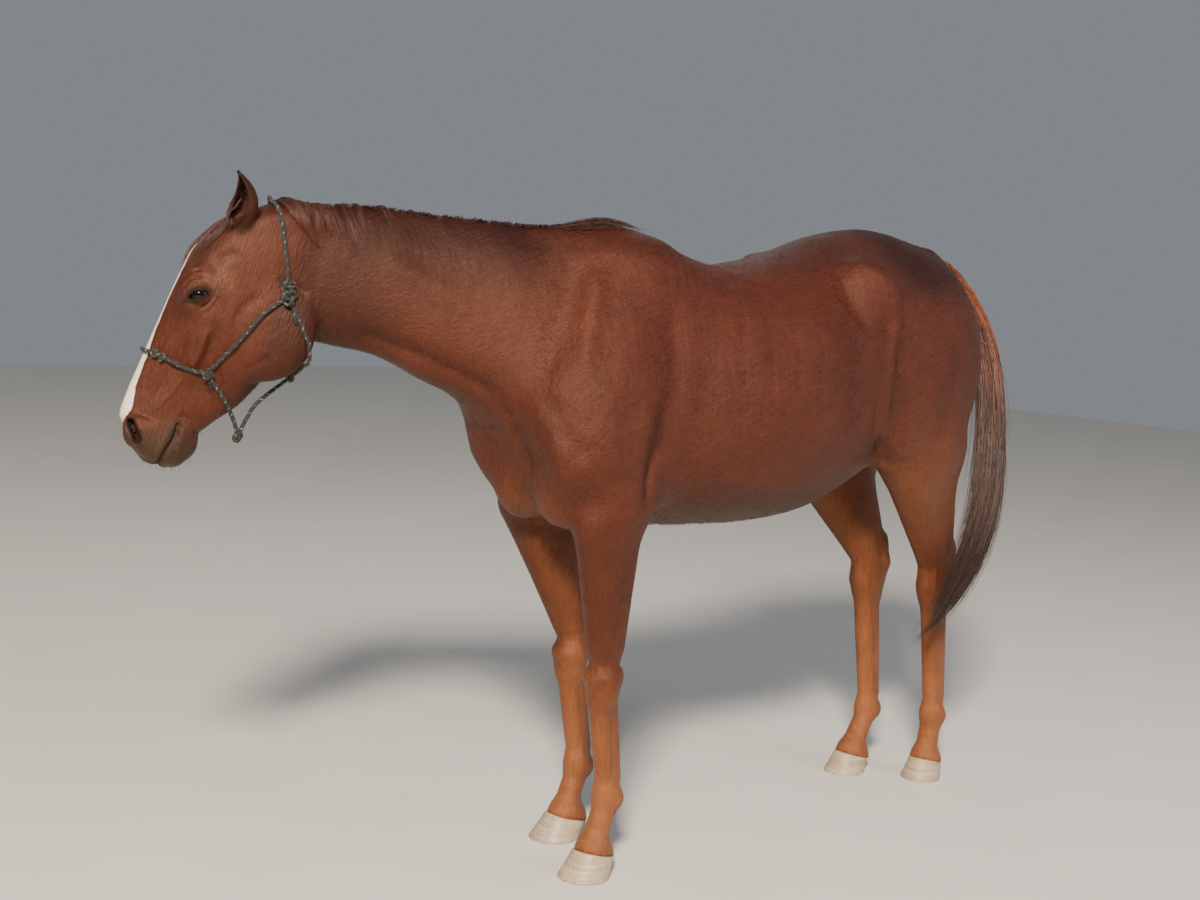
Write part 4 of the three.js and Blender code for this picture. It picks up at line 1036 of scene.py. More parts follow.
class Net:
    """The zero surface of a field inside a box, as quads with one point to a cell."""

    BLOCK = 6
    CHUNK = 300_000
    CORNERS = np.array([(i, j, k) for i in (0, 1) for j in (0, 1) for k in (0, 1)])
    EDGES = [(a, a | bit) for bit in (1, 2, 4) for a in range(8) if not a & bit]

    def __init__(self, low: Point, high: Point, cell: float) -> None:
        """Sets the box's corners and the size of a cell."""
        self.low, self.cell = np.asarray(low, float), cell
        self.cells = np.ceil((np.asarray(high, float) - self.low) / cell).astype(int)

    def sample(self, value: Callable[[Array], Array]) -> Array:
        """The field at the grid's nodes, worked out only near the surface.

        Args:
            value: The field, as a function of points.

        Returns:
            The values, by node.
        """
        blocks = -(-self.cells // self.BLOCK)
        index = np.stack(np.meshgrid(*[np.arange(n) for n in blocks], indexing="ij"), -1).reshape(-1, 3)
        middle = value(self.low + (index + 0.5) * self.BLOCK * self.cell)
        near = np.abs(middle) < 1.55 * self.BLOCK * self.cell * math.sqrt(3) / 2 + 3.0
        size = blocks * self.BLOCK + 1
        grid, wanted = np.empty(size), np.zeros(size, bool)
        for (i, j, k), d in zip(index * self.BLOCK, middle):
            grid[i : i + self.BLOCK + 1, j : j + self.BLOCK + 1, k : k + self.BLOCK + 1] = 1e3 if d > 0 else -1e3
        for i, j, k in index[near] * self.BLOCK:
            wanted[i : i + self.BLOCK + 1, j : j + self.BLOCK + 1, k : k + self.BLOCK + 1] = True
        nodes = np.argwhere(wanted)
        found = [value(self.low + part * self.cell) for part in np.array_split(nodes, len(nodes) // self.CHUNK + 1)]
        grid[wanted] = np.concatenate(found)
        n = self.cells + 1
        return grid[: n[0], : n[1], : n[2]]

    def surface(self, value: Callable[[Array], Array]) -> tuple[Array, Array]:
        """The surface's points and its quads, turned outwards.

        Args:
            value: The field, as a function of points.

        Returns:
            The points and the quads.
        """
        grid = self.sample(value)
        inside = grid < 0
        n = np.array(grid.shape) - 1
        corner = np.stack([inside[i : n[0] + i, j : n[1] + j, k : n[2] + k] for i, j, k in self.CORNERS], -1)
        count = corner.sum(-1)
        cells = np.argwhere((count > 0) & (count < 8))
        at = cells[:, None, :] + self.CORNERS[None]
        d = grid[at[..., 0], at[..., 1], at[..., 2]]
        total, hits = np.zeros((len(cells), 3)), np.zeros(len(cells))
        for a, b in self.EDGES:
            crosses = (d[:, a] < 0) != (d[:, b] < 0)
            t = np.where(crosses, d[:, a] / np.where(crosses, d[:, a] - d[:, b], 1.0), 0.0)
            p = self.CORNERS[a] + t[:, None] * (self.CORNERS[b] - self.CORNERS[a])
            total += np.where(crosses[:, None], p, 0.0)
            hits += crosses
        points = self.low + (cells + total / hits[:, None]) * self.cell
        number = np.full(n, -1)
        number[tuple(cells.T)] = np.arange(len(cells))
        return points, self.quads(inside, number)

    @staticmethod
    def quads(inside: Array, number: Array) -> Array:
        """One quad round every grid edge that goes through the surface.

        Args:
            inside: Which nodes lie inside.
            number: The number of each cell's point.

        Returns:
            The quads as point numbers.
        """
        found = []
        for axis in range(3):
            u, v = (axis + 1) % 3, (axis + 2) % 3
            last = inside.shape[axis] - 1
            edges = np.argwhere(np.take(inside, range(last), axis) != np.take(inside, range(1, last + 1), axis))
            keep = (edges[:, u] > 0) & (edges[:, v] > 0)
            keep &= (edges[:, u] < number.shape[u]) & (edges[:, v] < number.shape[v])
            edges = edges[keep]
            quad = []
            for du, dv in ((0, 0), (-1, 0), (-1, -1), (0, -1)):
                cell = edges.copy()
                cell[:, u] += du
                cell[:, v] += dv
                quad.append(number[tuple(cell.T)])
            quad = np.stack(quad, 1)
            flip = ~inside[tuple(edges.T)]
            quad[flip] = quad[flip][:, ::-1]
            found.append(quad)
        return np.vstack(found)


def open_loops(faces: Sequence[Sequence[int]]) -> list[list[int]]:
    """The loops of edges that only one face has, each in its faces' direction.

    Args:
        faces: Faces as vertex numbers.

    Returns:
        Vertex numbers, loop by loop.
    """
    seen: dict[tuple[int, int], int] = {}
    for face in faces:
        for a, b in zip(face, (*face[1:], face[0])):
            seen[(int(a), int(b))] = seen.get((int(a), int(b)), 0) + 1
    follow: dict[int, int] = {a: b for a, b in seen if (b, a) not in seen}
    loops = []
    while follow:
        start, at = next(iter(follow.items()))
        loop = [start]
        del follow[start]
        while at != start and at in follow:
            loop.append(at)
            at = follow.pop(at)
        if at == start and len(loop) > 2:
            loops.append(loop)
    return loops


def strip_between(points: Array, first: list[int], second: list[int], axis: int) -> list[tuple[int, int, int]]:
    """Triangles that join two open loops which face each other.

    Args:
        points: All the points.
        first: One loop, in its own faces' direction.
        second: The other loop, in its own faces' direction.
        axis: The coordinate along which the loops stand apart.

    Returns:
        The strip's triangles, turned as the faces beside them.
    """
    flat = [k for k in range(3) if k != axis]
    a, b = list(first), list(second)[::-1]
    centre = points[a][:, flat].mean(axis=0)

    def angles(loop: list[int]) -> Array:
        """Each point's angle round the first loop's middle."""
        q = points[loop][:, flat] - centre
        return np.arctan2(q[:, 1], q[:, 0])

    start = int(np.argmin(np.linalg.norm(points[b] - points[a[0]], axis=1)))
    b = b[start:] + b[:start]
    ang_a, ang_b = np.unwrap(angles(a + a[:1])), np.unwrap(angles(b + b[:1]))
    ang_b += 2 * math.pi * round((ang_a[0] - ang_b[0]) / (2 * math.pi))
    way = 1.0 if ang_a[-1] > ang_a[0] else -1.0
    i = j = 0
    faces = []
    while i < len(a) or j < len(b):
        forward = j >= len(b) or (i < len(a) and way * ang_a[min(i + 1, len(a))] <= way * ang_b[min(j + 1, len(b))])
        if forward:
            faces.append((a[(i + 1) % len(a)], a[i % len(a)], b[j % len(b)]))
            i += 1
        else:
            faces.append((a[i % len(a)], b[j % len(b)], b[(j + 1) % len(b)]))
            j += 1
    return faces


@dataclass(frozen=True)
class Line:
    """A fold, vein or edge of muscle under the coat, drawn on the skin.

    A positive height stands out and a negative one is sunk.
    """

    path: tuple[tuple[float, ...], ...]
    width: float
    height: float
    fade: float = 0.25

    def lift(self, p: Array, path: Array) -> Array:
        """How far each point is lifted off the skin by the line along a settled path.

        Args:
            p: Points of the horse.
            path: The line's own points, on the skin.

        Returns:
            Heights in millimetres.
        """
        low, high = path.min(axis=0) - NEAR_LINES * self.width, path.max(axis=0) + NEAR_LINES * self.width
        near = np.all((p > low) & (p < high), axis=1)
        out = np.zeros(len(p))
        if not near.any():
            return out
        q = p[near]
        best, where = np.full(len(q), np.inf), np.zeros(len(q))
        for n, (a, b) in enumerate(zip(path[:-1], path[1:])):
            t = np.clip((q - a) @ (b - a) / max(float((b - a) @ (b - a)), 1e-9), 0.0, 1.0)
            d = np.linalg.norm(q - a - t[:, None] * (b - a), axis=1)
            closer = d < best
            best = np.where(closer, d, best)
            where = np.where(closer, (n + t) / (len(path) - 1), where)
        ends = smooth_step(np.minimum(where, 1.0 - where), -0.02, self.fade)
        out[near] = self.height * np.exp(-((best / self.width) ** 2)) * ends
        return out


# Muscle edges and folds of the body as seen from the left, (x, y, z); the right side mirrors them.
BODY_LINES = (
    Line(((-737, -60, 1422), (-806, -98, 1311), (-845, -110, 1203), (-872, -100, 1094)), 26, -9),
    Line(((-700, -90, 1400), (-765, -135, 1250), (-800, -160, 1120)), 20, 7),
    Line(((-560, -150, 1330), (-572, -190, 1193), (-592, -220, 1060), (-606, -206, 925)), 30, -8),
    Line(((-875, -106, 1139), (-858, -159, 1058), (-826, -193, 996), (-777, -207, 953)), 26, -8),
    Line(((-923, -19, 1084), (-861, -35, 992), (-823, -40, 905)), 18, -9),
    Line(((-1226, 160, 1215), (-1143, 120, 1192), (-1057, 60, 1152), (-930, -40, 1050)), 22, -10),
    Line(((-1180, 80, 1400), (-1060, 20, 1330), (-930, -60, 1230)), 30, 6),
    Line(((-480, -100, 1440), (-484, -140, 1385), (-494, -170, 1330)), 10, -2.0),
    Line(((-446, -100, 1440), (-449, -145, 1385), (-462, -170, 1345)), 10, -1.6),
    Line(((-516, -100, 1440), (-519, -135, 1390), (-526, -165, 1335)), 10, -1.9),
    Line(((-550, -90, 1440), (-553, -130, 1390), (-560, -158, 1340)), 10, -1.6),
    Line(((126, -247, 999), (96, -262, 1050), (84, -270, 1110)), 14, -7),
    Line(((60, -262, 1050), (14, -275, 1120), (2, -275, 1200), (28, -262, 1270)), 62, -11),
    Line(
        (
            (158, -246, 1010), (134, -262, 1080), (124, -268, 1150),
            (132, -262, 1220), (152, -245, 1290), (128, -225, 1360),
        ),
        17, 7,
    ),
    Line(((136, -245, 998), (196, -215, 950), (256, -185, 909)), 15, -14),
    Line(((150, -246, 1030), (215, -230, 985), (275, -205, 950)), 14, 8),
    Line(((414, -261, 1280), (400, -273, 1151), (372, -263, 1020), (345, -241, 927)), 30, -4),
    Line(((520, -190, 1250), (500, -210, 1130), (470, -205, 1010)), 20, -5),
    Line(((32, -150, 1439), (10, -227, 1344), (60, -262, 1260)), 24, -6),
    Line(((70, -150, 1440), (120, -215, 1385), (190, -235, 1330)), 26, 6),
    Line(((-343, -181, 1331), (-378, -239, 1219), (-400, -268, 1106)), 16, -1.5),
    Line(((-270, -190, 1320), (-300, -250, 1210), (-325, -278, 1090)), 15, -1.3),
    Line(((-200, -195, 1310), (-222, -255, 1200), (-245, -288, 1080)), 15, -1.3),
    Line(((-130, -200, 1300), (-148, -258, 1190), (-170, -290, 1080)), 15, -1.2),
    Line(((-60, -205, 1290), (-74, -262, 1185), (-95, -290, 1080)), 15, -1.1),
    Line(((-590, -232, 1130), (-616, -229, 1017), (-632, -223, 940)), 26, -6),
    Line(((-620, -229, 1010), (-638, -223, 927), (-650, -210, 850)), 13, -13, 0.4),
    Line(((-650, -225, 1120), (-672, -215, 1040), (-684, -205, 950), (-680, -190, 860)), 26, 9),
    Line(((-716, -70, 1410), (-760, -120, 1300), (-790, -150, 1190), (-800, -170, 1110)), 19, 3.5),
    Line(((-480, -200, 960), (-380, -250, 900), (-250, -262, 880), (-110, -265, 880)), 12, 2.6),
)

# Folds and edges of the head's left side, (down, out, left); the right side mirrors them.
HEAD_LINES = (
    Line(((300, 22, 84), (351, 16, 72), (403, 20, 60)), 8, 5.0),
    Line(((296, 4, 86), (350, -2, 74), (404, 2, 60)), 9, -3.0),
    Line(((176, -60, 92), (240, -30, 96), (300, -34, 90), (352, -70, 74), (372, -110, 50)), 11, -3.4),
    Line(((200, 78, 76), (222, 96, 66), (250, 104, 58)), 7, 4.0),
    Line(((208, 66, 90), (228, 86, 82), (256, 94, 76)), 4, -2.6, 0.2),
    Line(((196, 72, 86), (216, 94, 74), (248, 106, 62)), 4, -2.2, 0.2),
    Line(((186, 84, 76), (206, 104, 60), (238, 112, 48)), 5, -1.8, 0.2),
    Line(((232, 34, 100), (252, 36, 102), (276, 50, 98)), 4, -2.2, 0.2),
    Line(((228, 24, 100), (252, 24, 102), (284, 40, 96)), 5, -1.6, 0.2),
    Line(((320, 50, 72), (370, 52, 62), (430, 56, 54), (500, 62, 46)), 9, -3.0),
    Line(((330, 74, 52), (400, 80, 44), (470, 82, 42)), 8, 2.4),
    Line(
        ((508, -5, 50), (530, -10, 52), (552, -8, 50), (574, -3, 46), (592, 1, 34), (602, 3, 12), (603, 3, 0)),
        4.2, -6.5, 0.04,
    ),
    Line(((500, 6, 52), (530, 4, 55), (566, 8, 52), (596, 14, 30)), 7, 2.4),
    Line(((512, -18, 48), (540, -26, 46), (572, -24, 36)), 7, 2.0),
    Line(((498, 2, 54), (492, -12, 53), (500, -26, 48)), 5, -2.2, 0.2),
    Line(((515, 40, 50), (520, 60, 48), (524, 84, 36)), 7, -3.0),
    Line(((512, -53, 0), (514, -52, 20), (516, -46, 32)), 9, -4.0, 0.02),
    Line(((350, -10, 76), (392, -30, 60), (420, -46, 50)), 3.4, 1.8, 0.2),
    Line(((330, -18, 80), (372, -42, 64), (400, -62, 54)), 3.0, 1.5, 0.2),
    Line(((410, 22, 57), (450, 30, 52), (488, 44, 50)), 3.2, 1.7, 0.2),
    Line(((300, -120, 66), (330, -100, 66), (352, -78, 66)), 6, -2.0),
    Line(((420, -20, 56), (432, -50, 48), (444, -72, 40)), 5, -1.8),
    Line(((160, -90, 88), (150, -120, 84), (158, -148, 70)), 9, -3.2),
    Line(((130, 20, 84), (160, 50, 88), (196, 62, 88)), 12, -2.6),
)


# Tendons, veins and bone edges of a leg. Each place is a share of the leg's reach backwards, another
# of its reach outwards, and a height.
FORELEG_LINES = (
    Line(((0.1, 1, 400), (0.15, 1, 330), (0.15, 1, 230)), 6, -3.4),
    Line(((0.1, -1, 400), (0.15, -1, 330), (0.15, -1, 230)), 6, -3.4),
    Line(((0.5, -1, 700), (0.1, -1, 600), (-0.1, -1, 500)), 6, 2.2),
    Line(((-0.2, 1, 720), (-0.15, 1, 620), (-0.1, 1, 520)), 12, -4.0),
    Line(((-1, -0.5, 486), (-1, 0.0, 480), (-1, 0.5, 486)), 9, -2.6),
    Line(((-1, -0.6, 418), (-1, 0.0, 412), (-1, 0.6, 418)), 9, -2.6),
    Line(((-1, -0.7, 118), (-1, 0.0, 114), (-1, 0.7, 118)), 8, -2.2),
)
HINDLEG_LINES = (
    Line(((0.3, 1, 480), (0.25, 1, 380), (0.2, 1, 250)), 6, -3.6),
    Line(((0.3, -1, 480), (0.25, -1, 380), (0.2, -1, 250)), 6, -3.6),
    Line(((-0.7, -1, 660), (-0.8, -1, 590), (-0.6, -1, 520), (-0.3, -1, 430)), 5, 3.0),
    Line(((-0.3, 1, 640), (-0.6, 1, 580), (-0.7, 1, 520)), 5, 2.4),
    Line(((0.45, 1, 700), (0.55, 1, 640), (0.6, 1, 600)), 10, -6.0),
    Line(((0.45, -1, 700), (0.55, -1, 640), (0.6, -1, 600)), 10, -6.0),
    Line(((0.0, 1, 520), (-0.1, 1, 500), (-0.3, 1, 480)), 9, 2.6),
    Line(((-1, -0.7, 118), (-1, 0.0, 114), (-1, 0.7, 118)), 8, -2.2),
)


class Drawing:
    """The drawn lines, settled on the skin and gathered by the frame they are written in."""

    HEAD_X = -1150.0

    def __init__(self, flesh: Flesh) -> None:
        """Settles every line.

        Args:
            flesh: The horse's flesh.
        """
        self.flesh = flesh
        self.body = [(line, self.on_spine(line)) for line in BODY_LINES]
        self.head = [(line, self.on_head(line)) for line in HEAD_LINES]
        self.legs: list[tuple[Line, Array]] = []
        for leg in LEGS:
            for line in LegGuide(flesh, leg).lines(FORELEG_LINES if leg.fore else HINDLEG_LINES):
                self.legs.append((line, self.settled(np.asarray(line.path, float))))

    def settled(self, path: Array) -> Array:
        """A smooth path that lies on the skin."""
        fine = rounded(self.flesh.settle(path, -COAT_DEPTH, 6, 12.0), 3 * len(path) + 2)
        return self.flesh.settle(fine, -COAT_DEPTH, 3, 8.0)

    def on_spine(self, line: Line) -> Array:
        """A body line as along the spine, to its right and up, on the left side."""
        return self.by_spine(self.settled(np.asarray(line.path, float)))

    def on_head(self, line: Line) -> Array:
        """A head line in the head's frame, on the left side."""
        return self.by_head(self.settled(HeadFrame.leave(np.asarray(line.path, float))))

    def by_spine(self, p: Array) -> Array:
        """Points as along the spine, to its right and up, all brought to the left side."""
        s, right = self.flesh.spine.along(p)
        return np.stack([s, -np.abs(right), p[:, 2]], axis=1)

    @staticmethod
    def by_head(p: Array) -> Array:
        """Points as (down, out, left), all brought to the left side."""
        down, out, left = HeadFrame.enter(p).T
        return np.stack([down, out, np.abs(left)], axis=1)

    def lift(self, p: Array) -> Array:
        """How far all the lines together lift each point of the skin.

        Args:
            p: Points of the horse.

        Returns:
            Heights in millimetres.
        """
        body = self.by_spine(p)
        total = sum(line.lift(body, path) for line, path in self.body)
        ahead = p[:, 0] < self.HEAD_X
        head = self.by_head(p[ahead])
        total[ahead] += HEAD_STRENGTH * sum(line.lift(head, path) for line, path in self.head)
        return total + sum(line.lift(p, path) for line, path in self.legs)

    def close(self, p: Array, group: Sequence[tuple[Line, Array]], extra: float) -> Array:
        """Whether each point lies near a line of a group.

        Args:
            p: Points of the horse.
            group: Which lines.
            extra: How far beyond a line's width still counts.

        Returns:
            True where it does.
        """
        found = np.zeros(len(p), bool)
        for line, path in group:
            reach = 1.4 * line.width + extra
            near = np.all((p > path.min(axis=0) - reach) & (p < path.max(axis=0) + reach), axis=1)
            if near.any():
                found[near] |= to_polyline(p[near], path) < reach
        return found


class LegGuide:
    """A leg's middle line by height, with its reach ahead and aside."""

    def __init__(self, flesh: Flesh, leg: Leg) -> None:
        """Measures the leg's thickness from its middle line at a few heights.

        Args:
            flesh: The horse's flesh.
            leg: The leg.
        """
        self.leg = leg
        j = [leg.at(leg.top), leg.at(leg.middle), leg.at(leg.fetlock), leg.hairline[0] + np.array([0, 0, 10])]
        if not leg.fore:
            j[0] = j[0] + np.array([85.0, -25.0 * leg.side.value, -50.0])
            j.insert(1, j[1] + np.array([-24.0, 0.0, 70.0]))
        self.joints = np.array(j)[::-1]
        self.z = np.linspace(60.0, self.joints[-1][2] - 40.0, 40)
        self.axis = self.middle(self.z)
        reach = []
        for way in ((1, 0, 0), (-1, 0, 0), (0, leg.side.value, 0), (0, -leg.side.value, 0)):
            p = self.axis.copy()
            for _ in range(18):
                p = p + np.maximum(-flesh.distance(p), 0.0)[:, None] * np.asarray(way, float)
            reach.append(np.linalg.norm(p - self.axis, axis=1))
        self.reach = np.array(reach)

    def middle(self, z: Array) -> Array:
        """The middle line's point at each height."""
        line = self.joints
        return np.stack([np.interp(z, line[:, 2], line[:, k]) for k in range(2)] + [np.asarray(z, float)], axis=-1)

    def surface(self, back: float, out: float, z: float) -> Array:
        """A point near the skin, from shares of the leg's reach backwards and outwards.

        Args:
            back: Shares of the reach backwards.
            out: Shares of the reach outwards.
            z: Heights.

        Returns:
            The point.
        """
        r = [float(np.interp(z, self.z, row)) for row in self.reach]
        x = back * (r[0] if back > 0 else r[1])
        y = out * (r[2] if out > 0 else r[3]) * self.leg.side.value
        keep = math.sqrt(max(1.0 - min(back * back, 1.0), 0.0)) if abs(out) == 1 else 1.0
        turn = math.sqrt(max(1.0 - min(out * out, 1.0), 0.0)) if abs(back) == 1 else 1.0
        return self.middle(np.array(z)) + np.array([x * turn, y * keep, 0.0])

    def lines(self, plans: Sequence[Line]) -> list[Line]:
        """The leg's drawn lines in the horse's frame."""
        return [Line(tuple(tuple(self.surface(*q)) for q in plan.path), plan.width, plan.height) for plan in plans]


class EyeSocket:
    """Where one eye sits: its ball, the way it looks and the almond that its lids leave open."""

    RIM = 2.4
    HALF_LENGTH = 20.5
    ABOVE, BELOW = 8.6, 9.2
    REACH = 46.0
    SINK = 1.5
    FOLD = 5.0
    TILT = 1.6

    def __init__(self, side: Side) -> None:
        """Sets the eye's axes for one side.

        Args:
            side: Which side.
        """
        self.left = -side.value
        self.centre = EYE.centre(self.left)
        self.gaze = unit(np.array([0.06, 0.30, 0.95 * self.left]))
        along = unit(np.array([39.0, 41.0, 0.0]))
        self.along = unit(along - (along @ self.gaze) * self.gaze)
        up = np.cross(self.gaze, self.along)
        self.up = up if up @ np.array([-0.7, 0.7, 0.0]) > 0 else -up

    def local(self, q: Array) -> tuple[Array, Array, Array, Array]:
        """Along, up and out of the eye, and the distance from the ball's centre.

        Args:
            q: Points (down, out, left) on the head.

        Returns:
            The three places and the distance.
        """
        r = q - self.centre
        far = np.linalg.norm(r, axis=1)
        return r @ self.along, r @ self.up, r @ self.gaze, far

    def margin(self, a: Array, b: Array) -> Array:
        """Signed distance to the lids' edge in the plane square to the gaze, below zero inside.

        Args:
            a: Distances along the eye.
            b: Distances up it.

        Returns:
            Distances in millimetres.
        """
        t = np.clip(a / self.HALF_LENGTH, -1.0, 1.0)
        top, bottom = self.lids(t)
        over = np.maximum(b - top, bottom - b)
        past = np.hypot(np.abs(a) - self.HALF_LENGTH, b - self.TILT * t)
        return np.where(np.abs(a) < self.HALF_LENGTH, over * 0.9, past)

    def lids(self, t: Array) -> tuple[Array, Array]:
        """Heights of the upper and lower lid at shares -1 to 1 along the eye."""
        arch = np.maximum(1.0 - t * t, 0.0)
        return self.ABOVE * arch**0.62 + self.TILT * t, -self.BELOW * arch**0.8 + self.TILT * t

    def edge(self, n: int) -> Array:
        """Points along the lids' edge on the ball, (down, out, left).

        Args:
            n: How many points.

        Returns:
            The points, one in each row.
        """
        turn = np.linspace(0, 2 * math.pi, n, endpoint=False)
        b = np.where(np.sin(turn) >= 0, *self.lids(np.cos(turn)))
        a = np.cos(turn) * self.HALF_LENGTH
        r = EYE.radius + 1.2
        depth = np.sqrt(np.maximum(r * r - a * a - b * b, 4.0))
        return self.centre + a[:, None] * self.along + b[:, None] * self.up + depth[:, None] * self.gaze

    def fit(self, q: Array) -> Array:
        """Draws the skin over the ball and opens it between the lids.

        Args:
            q: Skin points (down, out, left).

        Returns:
            The moved points.
        """
        a, b, c, far = self.local(q)
        near = (far < self.REACH) & (c > 0)
        edge = np.full(len(q), 99.0)
        edge[near] = self.margin(a[near], b[near])
        ball = EYE.radius
        open_part = near & (edge < 0)
        flat = np.hypot(a, b)
        shell = ball + EYE.lid
        dome = np.sqrt(np.maximum(shell**2 - flat**2, 0.0))
        sunk = c - self.SINK * smooth_step(-flat, -34.0, -20.0)
        lids = -join(-dome, -sunk, self.FOLD)
        bed = np.sqrt(np.maximum((ball - 1.4) ** 2 - flat**2, 0.0)) - 2.0 * (flat > ball - 1.4)
        inside = smooth_step(-edge, -0.1, 1.3)
        depth = np.where(open_part, lids + (np.minimum(bed, lids - 1.0) - lids) * inside, lids)
        out = q.copy()
        moved = self.centre + a[:, None] * self.along + b[:, None] * self.up + depth[:, None] * self.gaze
        out[near] = moved[near]
        return out


class Marks:
    """The horse's markings and painted shade, the same for skin and hair, from a point and its place on the body."""

    NAMES = ("white", "bare", "dark", "pink", "warmth", "depth", "sweat")
    # Down the face: the blaze's middle, to the left, and its half width.
    BLAZE = (
        (40, 0.0, 4), (100, 1.0, 9), (160, 0.0, 15), (240, -1.0, 16),
        (330, 0.5, 15), (420, 2.0, 19), (500, 4.0, 27), (548, 3.0, 30),
    )

    @staticmethod
    def wobble(p: Array, size: float, seed: float = 0.0) -> Array:
        """A smooth irregular number from about -1 to 1 that changes over a size.

        Args:
            p: The points.
            size: How far apart its changes are, in millimetres.
            seed: Which pattern.

        Returns:
            A number for each point.
        """
        q = p / size * 2 * math.pi
        x, y, z = q[:, 0] + seed, q[:, 1] - 2 * seed, q[:, 2] + 0.7 * seed
        first, second = np.sin(x + 1.7 * np.sin(y * 0.8 + 0.4 * z)), np.sin(y + 1.3 * np.sin(z * 0.9 + 0.5 * x))
        return (first + second + np.sin(z + 1.5 * np.sin(x * 0.7))) / 3.0

    @classmethod
    def white(cls, p: Array) -> Array:
        """The blaze down the face, 0 to 1.

        Args:
            p: Points of the horse.

        Returns:
            A share from 0 to 1 for each point.
        """
        down, out, left = HeadFrame.enter(p).T
        table = np.array(cls.BLAZE)
        middle = np.interp(down, table[:, 0], table[:, 1])
        half = np.interp(down, table[:, 0], table[:, 2], left=0.0, right=26.0)
        ragged = 3.0 * cls.wobble(p, 120.0) + 1.2 * cls.wobble(p, 37.0, 1.0)
        near = half + ragged - np.abs(left - middle)
        front = smooth_step(out, 48.0, 66.0) * smooth_step(down, 70.0, 110.0) * (1 - smooth_step(down, 560.0, 582.0))
        return smooth_step(near, -4.0, 6.0) * front * (1 - cls.bare(p) * (np.abs(left) > 22))

    @staticmethod
    def nostril(q: Array) -> Array:
        """The inside of the nostrils, 0 to 1, from a place on the head."""
        hollow = to_polyline(q[:, :2], np.array(Muzzle.SLIT))
        return (1 - smooth_step(hollow, 8.0, 14.0)) * (np.abs(q[:, 2]) > 12)

    @classmethod
    def bare(cls, p: Array) -> Array:
        """Dark skin that shows at the muzzle and round the eyes, 0 to 1.

        Args:
            p: Points of the horse.

        Returns:
            A share from 0 to 1 for each point.
        """
        down, out, _ = HeadFrame.enter(p).T
        muzzle = smooth_step(down + 5.0 * cls.wobble(p, 30.0) - 0.16 * out, 512.0, 560.0)
        lips = (1 - smooth_step(np.abs(out + 4.0), 10.0, 34.0)) * smooth_step(down, 492.0, 525.0)
        return np.clip(np.maximum(muzzle * 0.84, 0.9 * lips), 0.0, 1.0) * (p[:, 0] < -1180)

    @classmethod
    def dark(cls, p: Array) -> Array:
        """Nearly black skin along the lids and at the corners of the eyes, and painted shade inside the nostrils.

        Args:
            p: Points of the horse.

        Returns:
            A share from 0 to 1 for each point.
        """
        q = HeadFrame.enter(p)
        found = np.zeros(len(p))
        for side in Side:
            a, b, c, far = EyeSocket(side).local(q)
            ring = np.hypot(a / 28.0, (b - 1) / 16.0)
            corner = np.hypot((a - 24.0) / 12.0, (b + 1.5) / 5.0)
            found = np.maximum(found, (1 - smooth_step(np.minimum(ring, corner), 0.78, 1.3)) * (c > 0) * (far < 60))
        # inside the nostrils the near-black is painted shade in the hollow
        return np.maximum(0.92 * found, 0.95 * cls.nostril(q))

    @classmethod
    def pink(cls, p: Array) -> Array:
        """Pink skin between the nostrils, where the blaze ends.

        Args:
            p: Points of the horse.

        Returns:
            A share from 0 to 1 for each point.
        """
        down, out, left = HeadFrame.enter(p).T
        away = np.hypot((down - 566.0) / 26.0, (left - 4.0) / 17.0) + 0.2 * cls.wobble(p, 14.0)
        return (1 - smooth_step(away, 0.6, 1.1)) * smooth_step(out, 20.0, 45.0)

    @classmethod
    def warmth(cls, p: Array) -> Array:
        """How orange and light the coat is: more on the lower legs, belly edge and flanks.

        Args:
            p: Points of the horse.

        Returns:
            A share from 0 to 1 for each point.
        """
        z = p[:, 2]
        legs = 1 - smooth_step(z + 30 * cls.wobble(p, 120.0), 140.0, 600.0)
        inner = 1 - smooth_step(np.abs(p[:, 1]), 60.0, 150.0)
        thigh = inner * (1 - smooth_step(z, 700.0, 980.0)) * (p[:, 0] > -900)
        hock = np.exp(-(((z - 820) / 190) ** 2)) * smooth_step(p[:, 0], 120.0, 320.0)
        return np.clip(0.92 * legs + 0.4 * thigh + 0.35 * hock, 0.0, 1.0)

    @staticmethod
    def ears(q: Array) -> Array:
        """The ears, 0 to 1, from a place on the head.

        Args:
            q: Points (down, out, left) on the head.

        Returns:
            A share from 0 to 1 for each point.
        """
        found = np.zeros(len(q))
        for ear in EARS.values():
            found = np.maximum(found, 1 - smooth_step(ear.away(q, 10.0), 24.0, 44.0))
        return found

